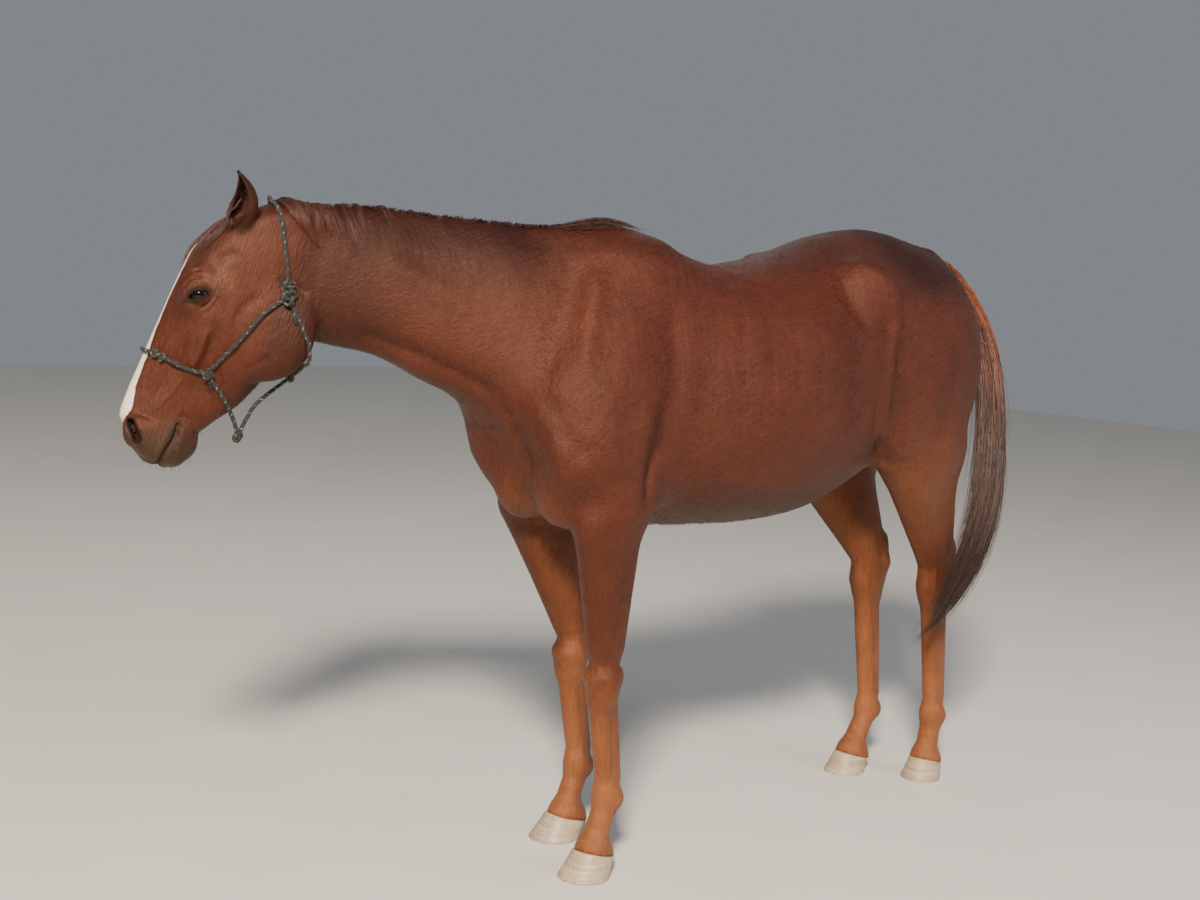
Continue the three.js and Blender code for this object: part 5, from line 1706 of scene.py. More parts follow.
    @classmethod
    def depth(cls, p: Array) -> Array:
        """Painted shade where the light falls least, as a darker red: the crest, back and croup, the belly, the
        flank's hollow, the jaw, the throat behind the jaw and the ears, with the brow a little darker and an uneven
        deeper red all over.

        Args:
            p: Points of the horse.

        Returns:
            A share from 0 to 1 for each point.
        """
        x, z = p[:, 0], p[:, 2]
        # Painted shade: tops turned from the light, the belly and jaw beneath, the flank's hollow, the throat under
        # the jaw's shadow and the ears.
        ahead = 1 - smooth_step(x, -860.0, -700.0)
        crest = smooth_step(z, 1250.0, 1450.0) * ahead * smooth_step(x, -1330.0, -1200.0)
        croup = 1.15 * smooth_step(z, 1310.0, 1440.0) * smooth_step(x, 50.0, 300.0)
        back = smooth_step(z, 1380.0, 1460.0) * 0.5
        flank = 0.2 * np.exp(-(((x - 15) / 75) ** 2) - (((z - 1210) / 150) ** 2))
        under = smooth_step(x, -560.0, -440.0) * (1 - smooth_step(x, 20.0, 170.0))
        belly = (1 - smooth_step(z, 800.0, 940.0)) * under * 0.7
        q = HeadFrame.enter(p)
        down, out, _ = q.T
        throat = 0.8 * np.exp(-(((out + 150 + 0.35 * (down - 220)) / 26) ** 2)) * smooth_step(down, 110.0, 170.0)
        throat = throat * (1 - smooth_step(down, 320.0, 380.0)) * (x < -1120)
        jaw = 0.7 * ahead * (1 - smooth_step(out, -120.0, -60.0)) * (1 - smooth_step(x, -1180.0, -1060.0))
        brow = 0.4 * np.exp(-(((down - 150) / 90) ** 2)) * smooth_step(out, 20.0, 70.0) * (x < -1180)
        places = [0.95 * crest, croup, back, belly, flank, jaw * (down < 520), brow, throat, cls.ears(q)]
        uneven = 0.12 * cls.wobble(p, 260.0) + 0.06 * cls.wobble(p, 90.0, 2.0)
        return np.clip(np.maximum.reduce(places) + uneven, 0.0, 1.0)

    @classmethod
    def sweat(cls, p: Array) -> Array:
        """Golden drier patches on the forehead and temple.

        Args:
            p: Points of the horse.

        Returns:
            A share from 0 to 1 for each point.
        """
        down, out, left = HeadFrame.enter(p).T
        fore = np.exp(-(((down - 150) / 60) ** 2) - (((np.abs(left) - 38) / 26) ** 2)) * smooth_step(out, 50.0, 80.0)
        temple = np.exp(-(((down - 205) / 34) ** 2) - (((out - 30) / 22) ** 2))
        wave = 0.7 + 0.5 * cls.wobble(p, 40.0, 3.0)
        return np.clip(np.maximum(0.5 * fore, 0.5 * temple) * wave, 0.0, 0.6) * (p[:, 0] < -1230)

    @classmethod
    def put(cls, mesh: bpy.types.Mesh, p: Array) -> None:
        """Stores every marking and the painted shade on a mesh.

        Args:
            mesh: The mesh.
            p: The point of the body that each vertex takes its markings from.
        """
        for name in cls.NAMES:
            put_attribute(mesh, name, getattr(cls, name)(p))


@dataclass
class Skin:
    """The whole skin, from the hairlines to the ears, as one closed mesh."""

    flesh: Flesh
    head_plane: float = HEAD_PLANE
    leg_plane: float = 640.0
    head_cell: float = 4.7
    barrel_cell: float = 16.0
    leg_cell: float = 8.5
    nodes: tuple[str, ...] = (
        "head", "ear_left", "ear_right", "neck", "trunk", "hindquarters",
        "foreleg_left_upper", "foreleg_left_lower", "foreleg_right_upper", "foreleg_right_lower",
        "hindleg_left_upper", "hindleg_left_lower", "hindleg_right_upper", "hindleg_right_lower",
    )
    points: Array = field(default_factory=lambda: np.zeros((0, 3)))
    faces: list[tuple[int, ...]] = field(default_factory=list)

    def __post_init__(self) -> None:
        """Settles the drawn lines on the flesh."""
        self.drawing = Drawing(self.flesh)

    def level(self, p: Array) -> Array:
        """The field whose zero is the skin."""
        return self.flesh.distance(p) + COAT_DEPTH

    def gather(self) -> None:
        """Meshes the three regions and joins them with strips."""
        plans = [
            ((-1660.0, 40.0, 820.0), (self.head_plane, 500.0, 1600.0), self.head_cell),
            ((self.head_plane, -360.0, self.leg_plane), (720.0, 400.0, 1590.0), self.barrel_cell),
            ((-900.0, -250.0, 20.0), (820.0, 250.0, self.leg_plane), self.leg_cell),
        ]
        points, faces, owner = [], [], []
        first = 0
        self.flesh.ear_swell = 2.2
        for n, (low, high, cell) in enumerate(plans):
            low_fit = np.asarray(low, float)
            steps = np.ceil((np.asarray(high, float) - low_fit) / cell)
            if n == 0:
                low_fit[0] = high[0] - steps[0] * cell
            if n == 2:
                low_fit[2] = high[2] - steps[2] * cell
            p, quads = Net(low_fit, high, cell).surface(self.level)
            p = self.flesh.settle(p, -COAT_DEPTH, 3, 0.5 * cell)
            points.append(p)
            faces += [tuple(q) for q in (quads + first).tolist()]
            owner += [n] * len(p)
            first += len(p)
            LOG.info("skin region %d: %d quads", n, len(quads))
        self.flesh.ear_swell = 0.0
        self.points, self.faces = np.vstack(points), faces
        loops = [loop for loop in open_loops(faces) if len(loop) > 12]
        spots = [self.points[loop].mean(axis=0) for loop in loops]
        sides = [owner[loop[0]] for loop in loops]
        barrel = [k for k, side in enumerate(sides) if side == 1]
        for loop, spot, side in zip(loops, spots, sides):
            if side != 1:
                partner = min(barrel, key=lambda k: float(np.linalg.norm(spots[k] - spot)))
                self.faces += strip_between(self.points, loop, loops[partner], side)

    @staticmethod
    def refine(bm: bmesh.types.BMesh, near: Callable[[Array], Array]) -> None:
        """Splits the edges whose ends both lie near a place.

        Args:
            bm: The mesh being edited.
            near: Whether each of some points lies near the place.
        """
        bm.verts.index_update()
        keep = near(np.array([v.co[:] for v in bm.verts]))
        edges = [e for e in bm.edges if keep[e.verts[0].index] and keep[e.verts[1].index]]
        bmesh.ops.subdivide_edges(bm, edges=edges, cuts=1, use_grid_fill=True)

    def near_eyes(self, p: Array) -> Array:
        """Whether each point lies near an eye."""
        q = HeadFrame.enter(p)
        return np.minimum.reduce([np.linalg.norm(q - EyeSocket(side).centre, axis=1) for side in Side]) < 40.0

    def near_lids(self, p: Array) -> Array:
        """Whether each point lies at the lids' edge.

        Args:
            p: Points of the horse.

        Returns:
            True where it does.
        """
        found = np.zeros(len(p), bool)
        for side in Side:
            _, b, c, far = EyeSocket(side).local(HeadFrame.enter(p))
            found |= (far < 34.0) & (c > 0) & (np.abs(b) < 17.0)
        return found

    def near_nostrils(self, p: Array) -> Array:
        """Whether each point lies near a nostril."""
        return np.linalg.norm(np.abs(HeadFrame.enter(p)) - [558, 70, 44], axis=1) < 40.0

    def near_head_lines(self, p: Array) -> Array:
        """Whether each point lies near one of the head's fine lines."""
        fine = [(line, path) for line, path in self.drawing.head if line.width < 5.0]
        return self.drawing.close(self.drawing.by_head(p), fine, 2.0) & (p[:, 0] < self.head_plane)

    def near_body_lines(self, p: Array) -> Array:
        """Whether each point lies near a line of the trunk or neck."""
        found = self.drawing.close(self.drawing.by_spine(p), self.drawing.body, 0.6 * self.barrel_cell)
        return found & (p[:, 2] > self.leg_plane + 10) & (p[:, 0] > self.head_plane + 10)

    def near_leg_lines(self, p: Array) -> Array:
        """Whether each point lies near a line of a leg."""
        return self.drawing.close(p, self.drawing.legs, 0.5 * self.leg_cell) & (p[:, 2] < self.leg_plane - 5)

    def sculpt(self) -> None:
        """Lifts and sinks the skin along the drawn lines, and fits the lids."""
        _, slope = self.flesh.gradient(self.points)
        normals = unit(slope)
        lift = self.drawing.lift(self.points)
        lift += self.small_forms(self.points)
        self.points = self.points + normals * lift[:, None]
        q = HeadFrame.enter(self.points)
        for side in Side:
            q = EyeSocket(side).fit(q)
        ahead = self.points[:, 0] < self.head_plane
        self.points[ahead] = HeadFrame.leave(q)[ahead]

    def small_forms(self, p: Array) -> Array:
        """Slack skin and soft muscle that nothing else draws, a millimetre or two high.

        Args:
            p: Points of the horse.

        Returns:
            Heights in millimetres.
        """
        trunk = smooth_step(p[:, 2], 700.0, 900.0) * smooth_step(p[:, 0], -1180.0, -1100.0)
        wave = Marks.wobble(p, 190.0, 0.5) * 1.6 + Marks.wobble(p, 74.0, 1.5) * 0.7
        breast = np.exp(-(((p[:, 0] + 850) / 80) ** 2) - (((p[:, 2] - 990) / 90) ** 2))
        lumps = 3.0 * Marks.wobble(p, 62.0, 4.0) * breast
        chin = np.exp(-(((HeadFrame.enter(p)[:, 0] - 560) / 40) ** 2)) * (p[:, 0] < self.head_plane)
        return wave * trunk + lumps + 0.5 * Marks.wobble(p, 11.0, 2.5) * chin

    def build(self) -> bpy.types.Object:
        """Makes the skin's object.

        Returns:
            The skin, tied to the frame.
        """
        self.gather()
        bm = bmesh.new()
        verts = [bm.verts.new(q) for q in self.points]
        for face in self.faces:
            try:
                bm.faces.new([verts[k] for k in dict.fromkeys(face)])
            except ValueError:
                LOG.info("a face was left out")
        for near in (
            self.near_eyes, self.near_lids, self.near_nostrils,
            self.near_head_lines, self.near_body_lines, self.near_leg_lines,
        ):
            self.refine(bm, near)
        bmesh.ops.triangulate(bm, faces=[f for f in bm.faces if len(f.verts) > 4])
        bm.verts.index_update()
        self.points = self.flesh.settle(np.array([v.co[:] for v in bm.verts]), -COAT_DEPTH, 2, 2.0)
        self.sculpt()
        for vert, q in zip(bm.verts, self.points):
            vert.co = q
        bmesh.ops.recalc_face_normals(bm, faces=bm.faces)
        faces = [[v.index for v in f.verts] for f in bm.faces]
        bm.free()
        piece = tie(new_mesh("skin", self.points, (), faces), "coat", self.nodes)
        Marks.put(piece.data, self.points)
        self.put_flow(piece.data)
        return piece

    def put_flow(self, mesh: bpy.types.Mesh) -> None:
        """Stores which way the coat's grain runs: along the trunk, down a leg or down the face.

        Args:
            mesh: The skin's mesh.
        """
        p = self.points
        leg = 1 - smooth_step(p[:, 2], 700.0, 960.0)
        head = 1 - smooth_step(p[:, 0], -1330.0, -1230.0)
        put_attribute(mesh, "leg_grain", leg * (1 - head))
        put_attribute(mesh, "head_grain", head)


# ------------------------------------------------------------------ finishes

NOISE, MATH, VECTOR, MIX = "ShaderNodeTexNoise", "ShaderNodeMath", "ShaderNodeVectorMath", "ShaderNodeMix"
RANGE, MAPPING, MARK, BUMP = "ShaderNodeMapRange", "ShaderNodeMapping", "ShaderNodeAttribute", "ShaderNodeBump"
STORE, NAMED = "GeometryNodeStoreNamedAttribute", "GeometryNodeInputNamedAttribute"
# The property that a node's one choice sets, by the node's kind.
CHOICES = {MATH: "operation", VECTOR: "operation", MIX: "data_type", MARK: "attribute_name", NAMED: "data_type"}


def add_node(tree: bpy.types.NodeTree, kind: str, choice: str = "", **inputs: Any) -> Any:
    """Adds a node with its choice, values and links.

    Args:
        tree: The tree that gets the node.
        kind: The node's type name.
        choice: What the node does, where its kind has one main choice.
        inputs: A value or an output socket for each input, by name with underscores for spaces,
            or by number as n0, n1 and so on.

    Returns:
        The new node's outputs.
    """
    node = tree.nodes.new(kind)
    if choice:
        setattr(node, CHOICES[kind], choice)
    for key, value in inputs.items():
        socket = node.inputs[int(key[1:]) if key[0] == "n" and key[1:].isdigit() else key.replace("_", " ")]
        if isinstance(value, bpy.types.NodeSocket):
            tree.links.new(value, socket)
        else:
            socket.default_value = value
    return node.outputs


class Finish:
    """A material while its nodes are being added: its tree, its shader and the Object coordinates."""

    def __init__(self, name: str, **values: float | tuple[float, ...]) -> None:
        """Starts a material.

        Args:
            name: What the real finish is.
            values: The shader's plain values, by name with underscores for spaces.
        """
        self.material = bpy.data.materials.new(name)
        self.material.use_nodes = True
        self.tree = self.material.node_tree
        self.tree.nodes.clear()
        self.shader = self.tree.nodes.new("ShaderNodeBsdfPrincipled")
        for key, value in values.items():
            self.shader.inputs[key.replace("_", " ")].default_value = value
        add_node(self.tree, "ShaderNodeOutputMaterial", Surface=self.shader.outputs[0])
        self.place = self.add("ShaderNodeTexCoord")["Object"]

    def add(self, kind: str, choice: str = "", **inputs: Any) -> Any:
        """Adds a node to the material's tree."""
        return add_node(self.tree, kind, choice, **inputs)

    def feed(self, name: str, socket: bpy.types.NodeSocket) -> None:
        """Links a result to one of the shader's inputs."""
        self.tree.links.new(socket, self.shader.inputs[name])


@dataclass(frozen=True)
class ChestnutCoat:
    """Short summer hair of a chestnut horse, clean and oiled by its own skin.

    The hairs lie flat, so the coat is smooth and gives broad soft highlights along the muscles.
    """

    name: str = "chestnut_hair_coat"
    red: str = "#421c11"
    # the darker red of painted shade, where the light falls least
    painted_shade_red: str = "#230a08"
    gold: str = "#814d2d"
    sweat: str = "#80614a"
    white: str = "#e6d8c8"
    slate: str = "#221d18"
    lip: str = "#33251b"
    # near-black of the lids' skin and the lips' parting line, also painted shade inside the nostrils
    lid: str = "#17100d"
    pink: str = "#b98478"
    hair_mm: float = 2.6  # real hairs are 0.06 mm, drawn as coarse locks so that they show
    lock_length: float = 9.0  # how many times longer than wide a drawn lock is
    roughness: float = 0.5

    def grain(self, it: Finish) -> bpy.types.NodeSocket:
        """The locks of hair, which run along the trunk, down each leg and down the face.

        Args:
            it: The material so far.

        Returns:
            The pattern, 0 to 1.
        """
        across, along = 1.0 / (self.hair_mm * MM), 1.0 / (self.hair_mm * self.lock_length * MM)
        ways = (
            ("", (0.0, math.radians(18), 0.0), (along, across, across)),
            ("leg_grain", (0.0, 0.0, 0.0), (across, across, along)),
            ("head_grain", (0.0, math.radians(-21), math.radians(26)), (across * 1.3, across * 1.3, along * 1.6)),
        )
        total = None
        for mark, turn, scale in ways:
            spun = it.add(MAPPING, Vector=it.place, Rotation=turn)[0]
            sized = it.add(MAPPING, Vector=spun, Scale=scale)[0]
            hair = it.add(NOISE, Vector=sized, Scale=0.36, Detail=5.0, Roughness=0.75, Distortion=0.22)[0]
            total = it.add(MIX, "FLOAT", n0=it.add(MARK, mark)["Fac"], n2=total, n3=hair)[0] if mark else hair
        return total

    def colour(self, it: Finish, grain: bpy.types.NodeSocket) -> bpy.types.NodeSocket:
        """The coat's colour, from its markings, its painted shade and the locks of hair.

        Args:
            it: The material so far.
            grain: The locks' pattern.

        Returns:
            The colour.
        """
        mark = {name: it.add(MARK, name)["Fac"] for name in (*Marks.NAMES, "tone")}
        patch = it.add(NOISE, Vector=it.place, Scale=9.0, Detail=4.0, Roughness=0.55)[0]
        dapple = it.add(NOISE, Vector=it.place, Scale=38.0, Detail=3.0, Roughness=0.6)[0]
        salt = it.add(NOISE, Vector=it.place, Scale=130.0, Detail=4.0, Roughness=0.7, Distortion=0.6)[0]
        crust = it.add(RANGE, Value=salt, From_Min=0.38, From_Max=0.68)[0]
        damp = it.add(MATH, "MULTIPLY", n0=mark["sweat"], n1=crust)[0]
        tint = it.add(MIX, "RGBA", n0=mark["warmth"], n6=linear(self.red), n7=linear(self.gold))[2]
        # painted shade: the depth mark darkens the red where the light falls least
        for share, code in ((mark["depth"], self.painted_shade_red), (damp, self.sweat)):
            tint = it.add(MIX, "RGBA", n0=share, n6=tint, n7=linear(code))[2]
        light = 0.07
        for part, weight in ((patch, 0.5), (dapple, 0.28), (grain, 1.1), (mark["tone"], 0.5)):
            light = it.add(MATH, "MULTIPLY_ADD", n0=part, n1=weight, n2=light)[0]
        tint = it.add(VECTOR, "SCALE", n0=tint, n3=light)[0]
        shade = it.add(MATH, "MULTIPLY_ADD", n0=grain, n1=0.5, n2=0.72)[0]
        pale = it.add(VECTOR, "SCALE", n0=linear(self.white)[:3], n3=shade)[0]
        ragged = it.add(MATH, "MULTIPLY_ADD", n0=grain, n1=1.1, n2=-0.55)[0]
        edge = it.add(MATH, "ADD", n0=mark["white"], n1=ragged)[0]
        blaze = it.add(RANGE, Value=edge, From_Min=0.4, From_Max=0.6)[0]
        tint = it.add(MIX, "RGBA", n0=blaze, n6=tint, n7=pale)[2]
        bare = it.add(MIX, "RGBA", n0=patch, n6=linear(self.slate), n7=linear(self.lip))[2]
        seam = it.add(RANGE, Value=mark["bare"], From_Min=0.85, From_Max=1.0)[0]
        bare = it.add(MIX, "RGBA", n0=seam, n6=bare, n7=linear(self.lid))[2]
        nose = it.add(MATH, "MULTIPLY", n0=mark["pink"], n1=0.75)[0]
        # the dark mark paints the lids' skin near-black and the shade inside the nostrils
        for share, over in ((mark["bare"], bare), (nose, linear(self.pink)), (mark["dark"], linear(self.lid))):
            tint = it.add(MIX, "RGBA", n0=share, n6=tint, n7=over)[2]
        return tint

    def make(self) -> bpy.types.Material:
        """Builds the material: hair's keratin, tinted where it shines, matt inside the nostrils.

        Returns:
            The material.
        """
        it = Finish(
            self.name, IOR=1.55, Specular_IOR_Level=0.36, Specular_Tint=linear("#f0cdb8"),
            Sheen_Weight=0.03, Sheen_Roughness=0.4, Sheen_Tint=linear("#c98c62"),
        )
        grain = self.grain(it)
        it.feed("Base Color", self.colour(it, grain))
        matt = it.add(MATH, "MULTIPLY_ADD", n0=it.add(MARK, "dark")["Fac"], n1=0.4, n2=self.roughness - 0.2)[0]
        it.feed("Roughness", it.add(MATH, "MULTIPLY_ADD", n0=grain, n1=0.3, n2=matt)[0])
        # Slack skin ripples about 12 mm apart, upright along the barrel.
        waves = it.add(MAPPING, Vector=it.place, Rotation=(0.0, math.radians(8), 0.0), Scale=(80.0, 22.0, 13.0))[0]
        ripple = it.add(NOISE, Vector=waves, Scale=1.0, Detail=2.0, Roughness=0.4, Distortion=0.4)[0]
        fold = it.add(NOISE, Vector=it.place, Scale=60.0, Detail=3.0, Roughness=0.5)[0]
        height = it.add(MATH, "MULTIPLY", n0=grain, n1=1.2)[0]
        for part, weight in ((fold, 0.55), (ripple, 0.6)):
            height = it.add(MATH, "MULTIPLY_ADD", n0=part, n1=weight, n2=height)[0]
        it.feed("Normal", it.add(BUMP, Strength=0.75, Distance=0.0034, Height=height)[0])
        return it.material


@dataclass(frozen=True)
class HoofHorn:
    """Unpainted hoof horn: layered keratin, matt, pale grey-yellow with fine lines down the wall."""

    name: str = "hoof_horn"
    pale: str = "#b9a88c"
    dark: str = "#83725d"
    dust: str = "#c7b79c"
    line_mm: float = 1.6  # the horn's tubules, drawn coarser than the real 0.2 mm so that they show

    def make(self) -> bpy.types.Material:
        """Builds the material.

        Returns:
            The material.
        """
        it = Finish(self.name, Roughness=0.5, IOR=1.55)
        fine = 1.0 / (self.line_mm * MM)
        tall = it.add(MAPPING, Vector=it.place, Scale=(fine, fine, fine / 14))[0]
        lines = it.add(NOISE, Vector=tall, Scale=1.0, Detail=2.0)[0]
        level = it.add(MAPPING, Vector=it.place, Scale=(4, 4, 170))[0]
        bands = it.add(NOISE, Vector=level, Scale=1.0, Detail=3.0)[0]
        both = it.add(MIX, "FLOAT", n0=0.5, n2=lines, n3=bands)[0]
        ramp = it.add(RANGE, Value=both, From_Min=0.33, From_Max=0.66)[0]
        horn = it.add(MIX, "RGBA", n0=ramp, n6=linear(self.dark), n7=linear(self.pale))[2]
        dust = it.add(NOISE, Vector=it.place, Scale=70.0, Detail=4.0)[0]
        dusty = it.add(RANGE, Value=dust, From_Min=0.5, From_Max=0.75, To_Max=0.5)[0]
        it.feed("Base Color", it.add(MIX, "RGBA", n0=dusty, n6=horn, n7=linear(self.dust))[2])
        it.feed("Normal", it.add(BUMP, Strength=0.4, Distance=0.0008, Height=both)[0])
        return it.material


@dataclass(frozen=True)
class WetEye:
    """A horse's eye: a dark brown iris behind a clear wet cornea, which mirrors the light sharply."""

    name: str = "wet_eye"
    iris: str = "#1d0e07"
    rim: str = "#0b0706"

    def make(self) -> bpy.types.Material:
        """Builds the material.

        Returns:
            The material.
        """
        it = Finish(
            self.name, Roughness=0.05, IOR=1.376, Specular_IOR_Level=0.32, Coat_Weight=0.1, Coat_Roughness=0.02
        )  # 1.376 is the cornea's
        fibres = it.add(NOISE, Vector=it.place, Scale=600.0, Detail=2.0)[0]
        mixed = it.add(MATH, "MULTIPLY", n0=it.add(MARK, "iris")["Fac"], n1=fibres)[0]
        it.feed("Base Color", it.add(MIX, "RGBA", n0=mixed, n6=linear(self.rim), n7=linear(self.iris))[2])
        return it.material


@dataclass(frozen=True)
class LongHair:
    """Horse hair of the mane and tail: smooth keratin, glossy along its length, faded by the sun."""

    name: str
    root: str
    middle: str
    tip: str
    roughness: float = 0.5

    def make(self) -> bpy.types.Material:
        """Builds the material from each lock's share along and its own tone.

        Returns:
            The material.
        """
        it = Finish(self.name, Roughness=self.roughness, IOR=1.55)
        stray = it.add(NOISE, Vector=it.place, Scale=22.0, Detail=3.0)[0]
        along = it.add(MATH, "SUBTRACT", n0=it.add(MARK, "along")["Fac"], n1=0.25)[0]
        moved = it.add(MATH, "MULTIPLY_ADD", n0=stray, n1=0.5, n2=along)[0]
        ramp = it.tree.nodes.new("ShaderNodeValToRGB")
        it.tree.links.new(moved, ramp.inputs[0])
        first, last = ramp.color_ramp.elements
        first.position, first.color = 0.02, linear(self.root)
        last.position, last.color = 0.95, linear(self.tip)
        ramp.color_ramp.elements.new(0.4).color = linear(self.middle)
        scale = it.add(MATH, "MULTIPLY_ADD", n0=it.add(MARK, "tone")["Fac"], n1=1.15, n2=0.35)[0]
        it.feed("Base Color", it.add(VECTOR, "SCALE", n0=ramp.outputs[0], n3=scale)[0])
        return it.material


@dataclass(frozen=True)
class BraidedPolyester:
    """Braided polyester cord of a rope halter: dull, dusty, dark olive with pale tracer yarns."""

    name: str = "braided_polyester_cord"
    dark: str = "#070906"
    olive: str = "#11140e"
    tracer: str = "#74766a"

    def make(self) -> bpy.types.Material:
        """Builds the material from each yarn's tone.

        Returns:
            The material.
        """
        it = Finish(self.name, Roughness=0.78, IOR=1.57, Sheen_Weight=0.08)
        patch = it.add(NOISE, Vector=it.place, Scale=170.0, Detail=3.0)[0]
        base = it.add(MIX, "RGBA", n0=patch, n6=linear(self.dark), n7=linear(self.olive))[2]
        pale = it.add(MATH, "GREATER_THAN", n0=it.add(MARK, "tone")["Fac"], n1=0.8)[0]
        fleck = it.add(RANGE, Value=patch, From_Min=0.46, From_Max=0.56)[0]
        both = it.add(MATH, "MULTIPLY", n0=pale, n1=fleck)[0]
        it.feed("Base Color", it.add(MIX, "RGBA", n0=both, n6=base, n7=linear(self.tracer))[2])
        fibres = it.add(NOISE, Vector=it.place, Scale=1400.0, Detail=2.0)[0]
        it.feed("Normal", it.add(BUMP, Strength=0.5, Distance=0.0004, Height=fibres)[0])
        return it.material


# ------------------------------------------------------------------ eyes and hooves


@dataclass
class Eyes:
    """Both eyeballs, each with a level oval pupil on its front."""

    finish: WetEye = WetEye()
    rings: int = 26
    sides: int = 40
    cornea: float = 0.9  # how far the front stands out of the ball
    iris: float = 17.0
    pupil: tuple[float, float] = (9.0, 4.2)  # half its length and height

    def build(self) -> None:
        """Makes the two balls, turned to look outwards."""
        material = self.finish.make()
        turn = 2 * math.pi * np.arange(self.sides)[:, None] / self.sides
        for side in Side:
            socket = EyeSocket(side)
            circle = np.cos(turn) * socket.along + np.sin(turn) * socket.up
            rings = []
            for i in range(1, self.rings):
                t = math.pi * i / self.rings
                radius = EYE.radius + self.cornea * math.exp(-((t / 0.55) ** 2))
                way = math.cos(t) * socket.gaze + math.sin(t) * circle
                rings.append(HeadFrame.leave(socket.centre + radius * way))
            front = HeadFrame.leave(socket.centre + (EYE.radius + self.cornea) * socket.gaze)
            p, faces = closed_rings(rings, front, HeadFrame.leave(socket.centre - EYE.radius * socket.gaze))
            piece = tie(new_mesh("eyeball_" + side.word, p, (), faces), "eye", ("eye_" + side.word,))
            a, b, c, _ = socket.local(HeadFrame.enter(p))
            iris = (c > 0) * smooth_step(self.iris - np.hypot(a, b), 0.0, 2.0)
            pupil = smooth_step(np.hypot(a / self.pupil[0], b / self.pupil[1]), 0.85, 1.1)
            put_attribute(piece.data, "iris", iris * pupil)
            piece.data.materials.append(material)


@dataclass
class Hooves:
    """The four hooves, with growth rings, a ragged worn edge and a flat sole."""

    finish: HoofHorn = HoofHorn()
    inset: float = 1.5  # how far the wall lies inside the solid
    worn: float = 0.5  # how uneven the lower edge is

    def build(self) -> None:
        """Makes each hoof as one closed body."""
        material = self.finish.make()
        a = np.linspace(0, 2 * math.pi, Hoof.SIDES, endpoint=False)
        for leg in LEGS:
            rings = []
            for i in range(Hoof.LEVELS + 1):
                t = i / Hoof.LEVELS
                ring = Hoof(leg).section(t, a)
                wave = Hoof.RING_DEPTH * math.sin(t * 31.0) + 0.35 * math.sin(t * 67.0)
                bulge = -0.6 * math.sin(math.pi * t) + wave * smooth_step(np.array(t), 0.05, 0.2)
                worn = self.worn * np.sin(5 * a + 1.3) * (1 - t) ** 3
                out = unit((ring - ring.mean(axis=0)) * [1, 1, 0])
                rings.append(ring + out * (bulge + worn - self.inset)[:, None])
            p, faces = closed_rings(rings, rings[0].mean(axis=0), rings[-1].mean(axis=0))
            piece = tie(new_mesh(leg.name + "_horn", p, (), faces), "hoof_horn", (leg.name + "_hoof",))
            piece.data.materials.append(material)


# ------------------------------------------------------------------ geometry nodes for hair and rope


class Chart:
    """An unwrap of the skin's own shape: trunk and neck above, head, legs and tail below."""

    @staticmethod
    def place(flesh: Flesh, p: Array) -> Array:
        """Where each root lies on the unwrap, 0 to 1 both ways.

        Args:
            flesh: The horse's flesh.
            p: Points of the horse.

        Returns:
            Two numbers for each root.
        """
        s, right = flesh.spine.along(p)
        around = (np.arctan2(right, p[:, 2] - 1150.0) / (2 * math.pi)) % 1.0
        uv = np.stack([0.03 + 0.92 * (s + 720.0) / 2100.0, 0.53 + 0.44 * around], axis=1)
        q = HeadFrame.enter(p)
        head = p[:, 0] < HEAD_PLANE
        turn = (np.arctan2(q[:, 2], q[:, 1] + 10.0) / (2 * math.pi)) % 1.0
        uv[head] = np.stack([0.03 + 0.42 * (q[:, 0] + 130.0) / 780.0, 0.03 + 0.44 * turn], axis=1)[head]
        for n, leg in enumerate(LEGS):
            side = leg.side.value
            middle = np.array([(leg.middle[0] + leg.hoof[0]) / 2, side * (leg.middle[1] + leg.hoof[1]) / 2])
            x, y = (p[:, :2] - middle).T
            on = (p[:, 2] < 760.0) & ~head & (np.hypot(x, y) < 240.0) & (p[:, 1] * side > 0)
            turn = (np.arctan2(y, x) / (2 * math.pi)) % 1.0
            uv[on] = np.stack([0.5 + 0.3 * p[:, 2] / 800.0, 0.03 + 0.11 * n + 0.1 * turn], axis=1)[on]
        return np.clip(uv, 0.004, 0.996)

    @staticmethod
    def tail(t: Array, turn: Array) -> Array:
        """Where a root on the dock lies, from its shares along and round the dock."""
        return np.stack([0.84 + 0.14 * t, 0.03 + 0.44 * (turn % 1.0)], axis=1)


PATCH = 0.003  # size of one tuft on the unwrap


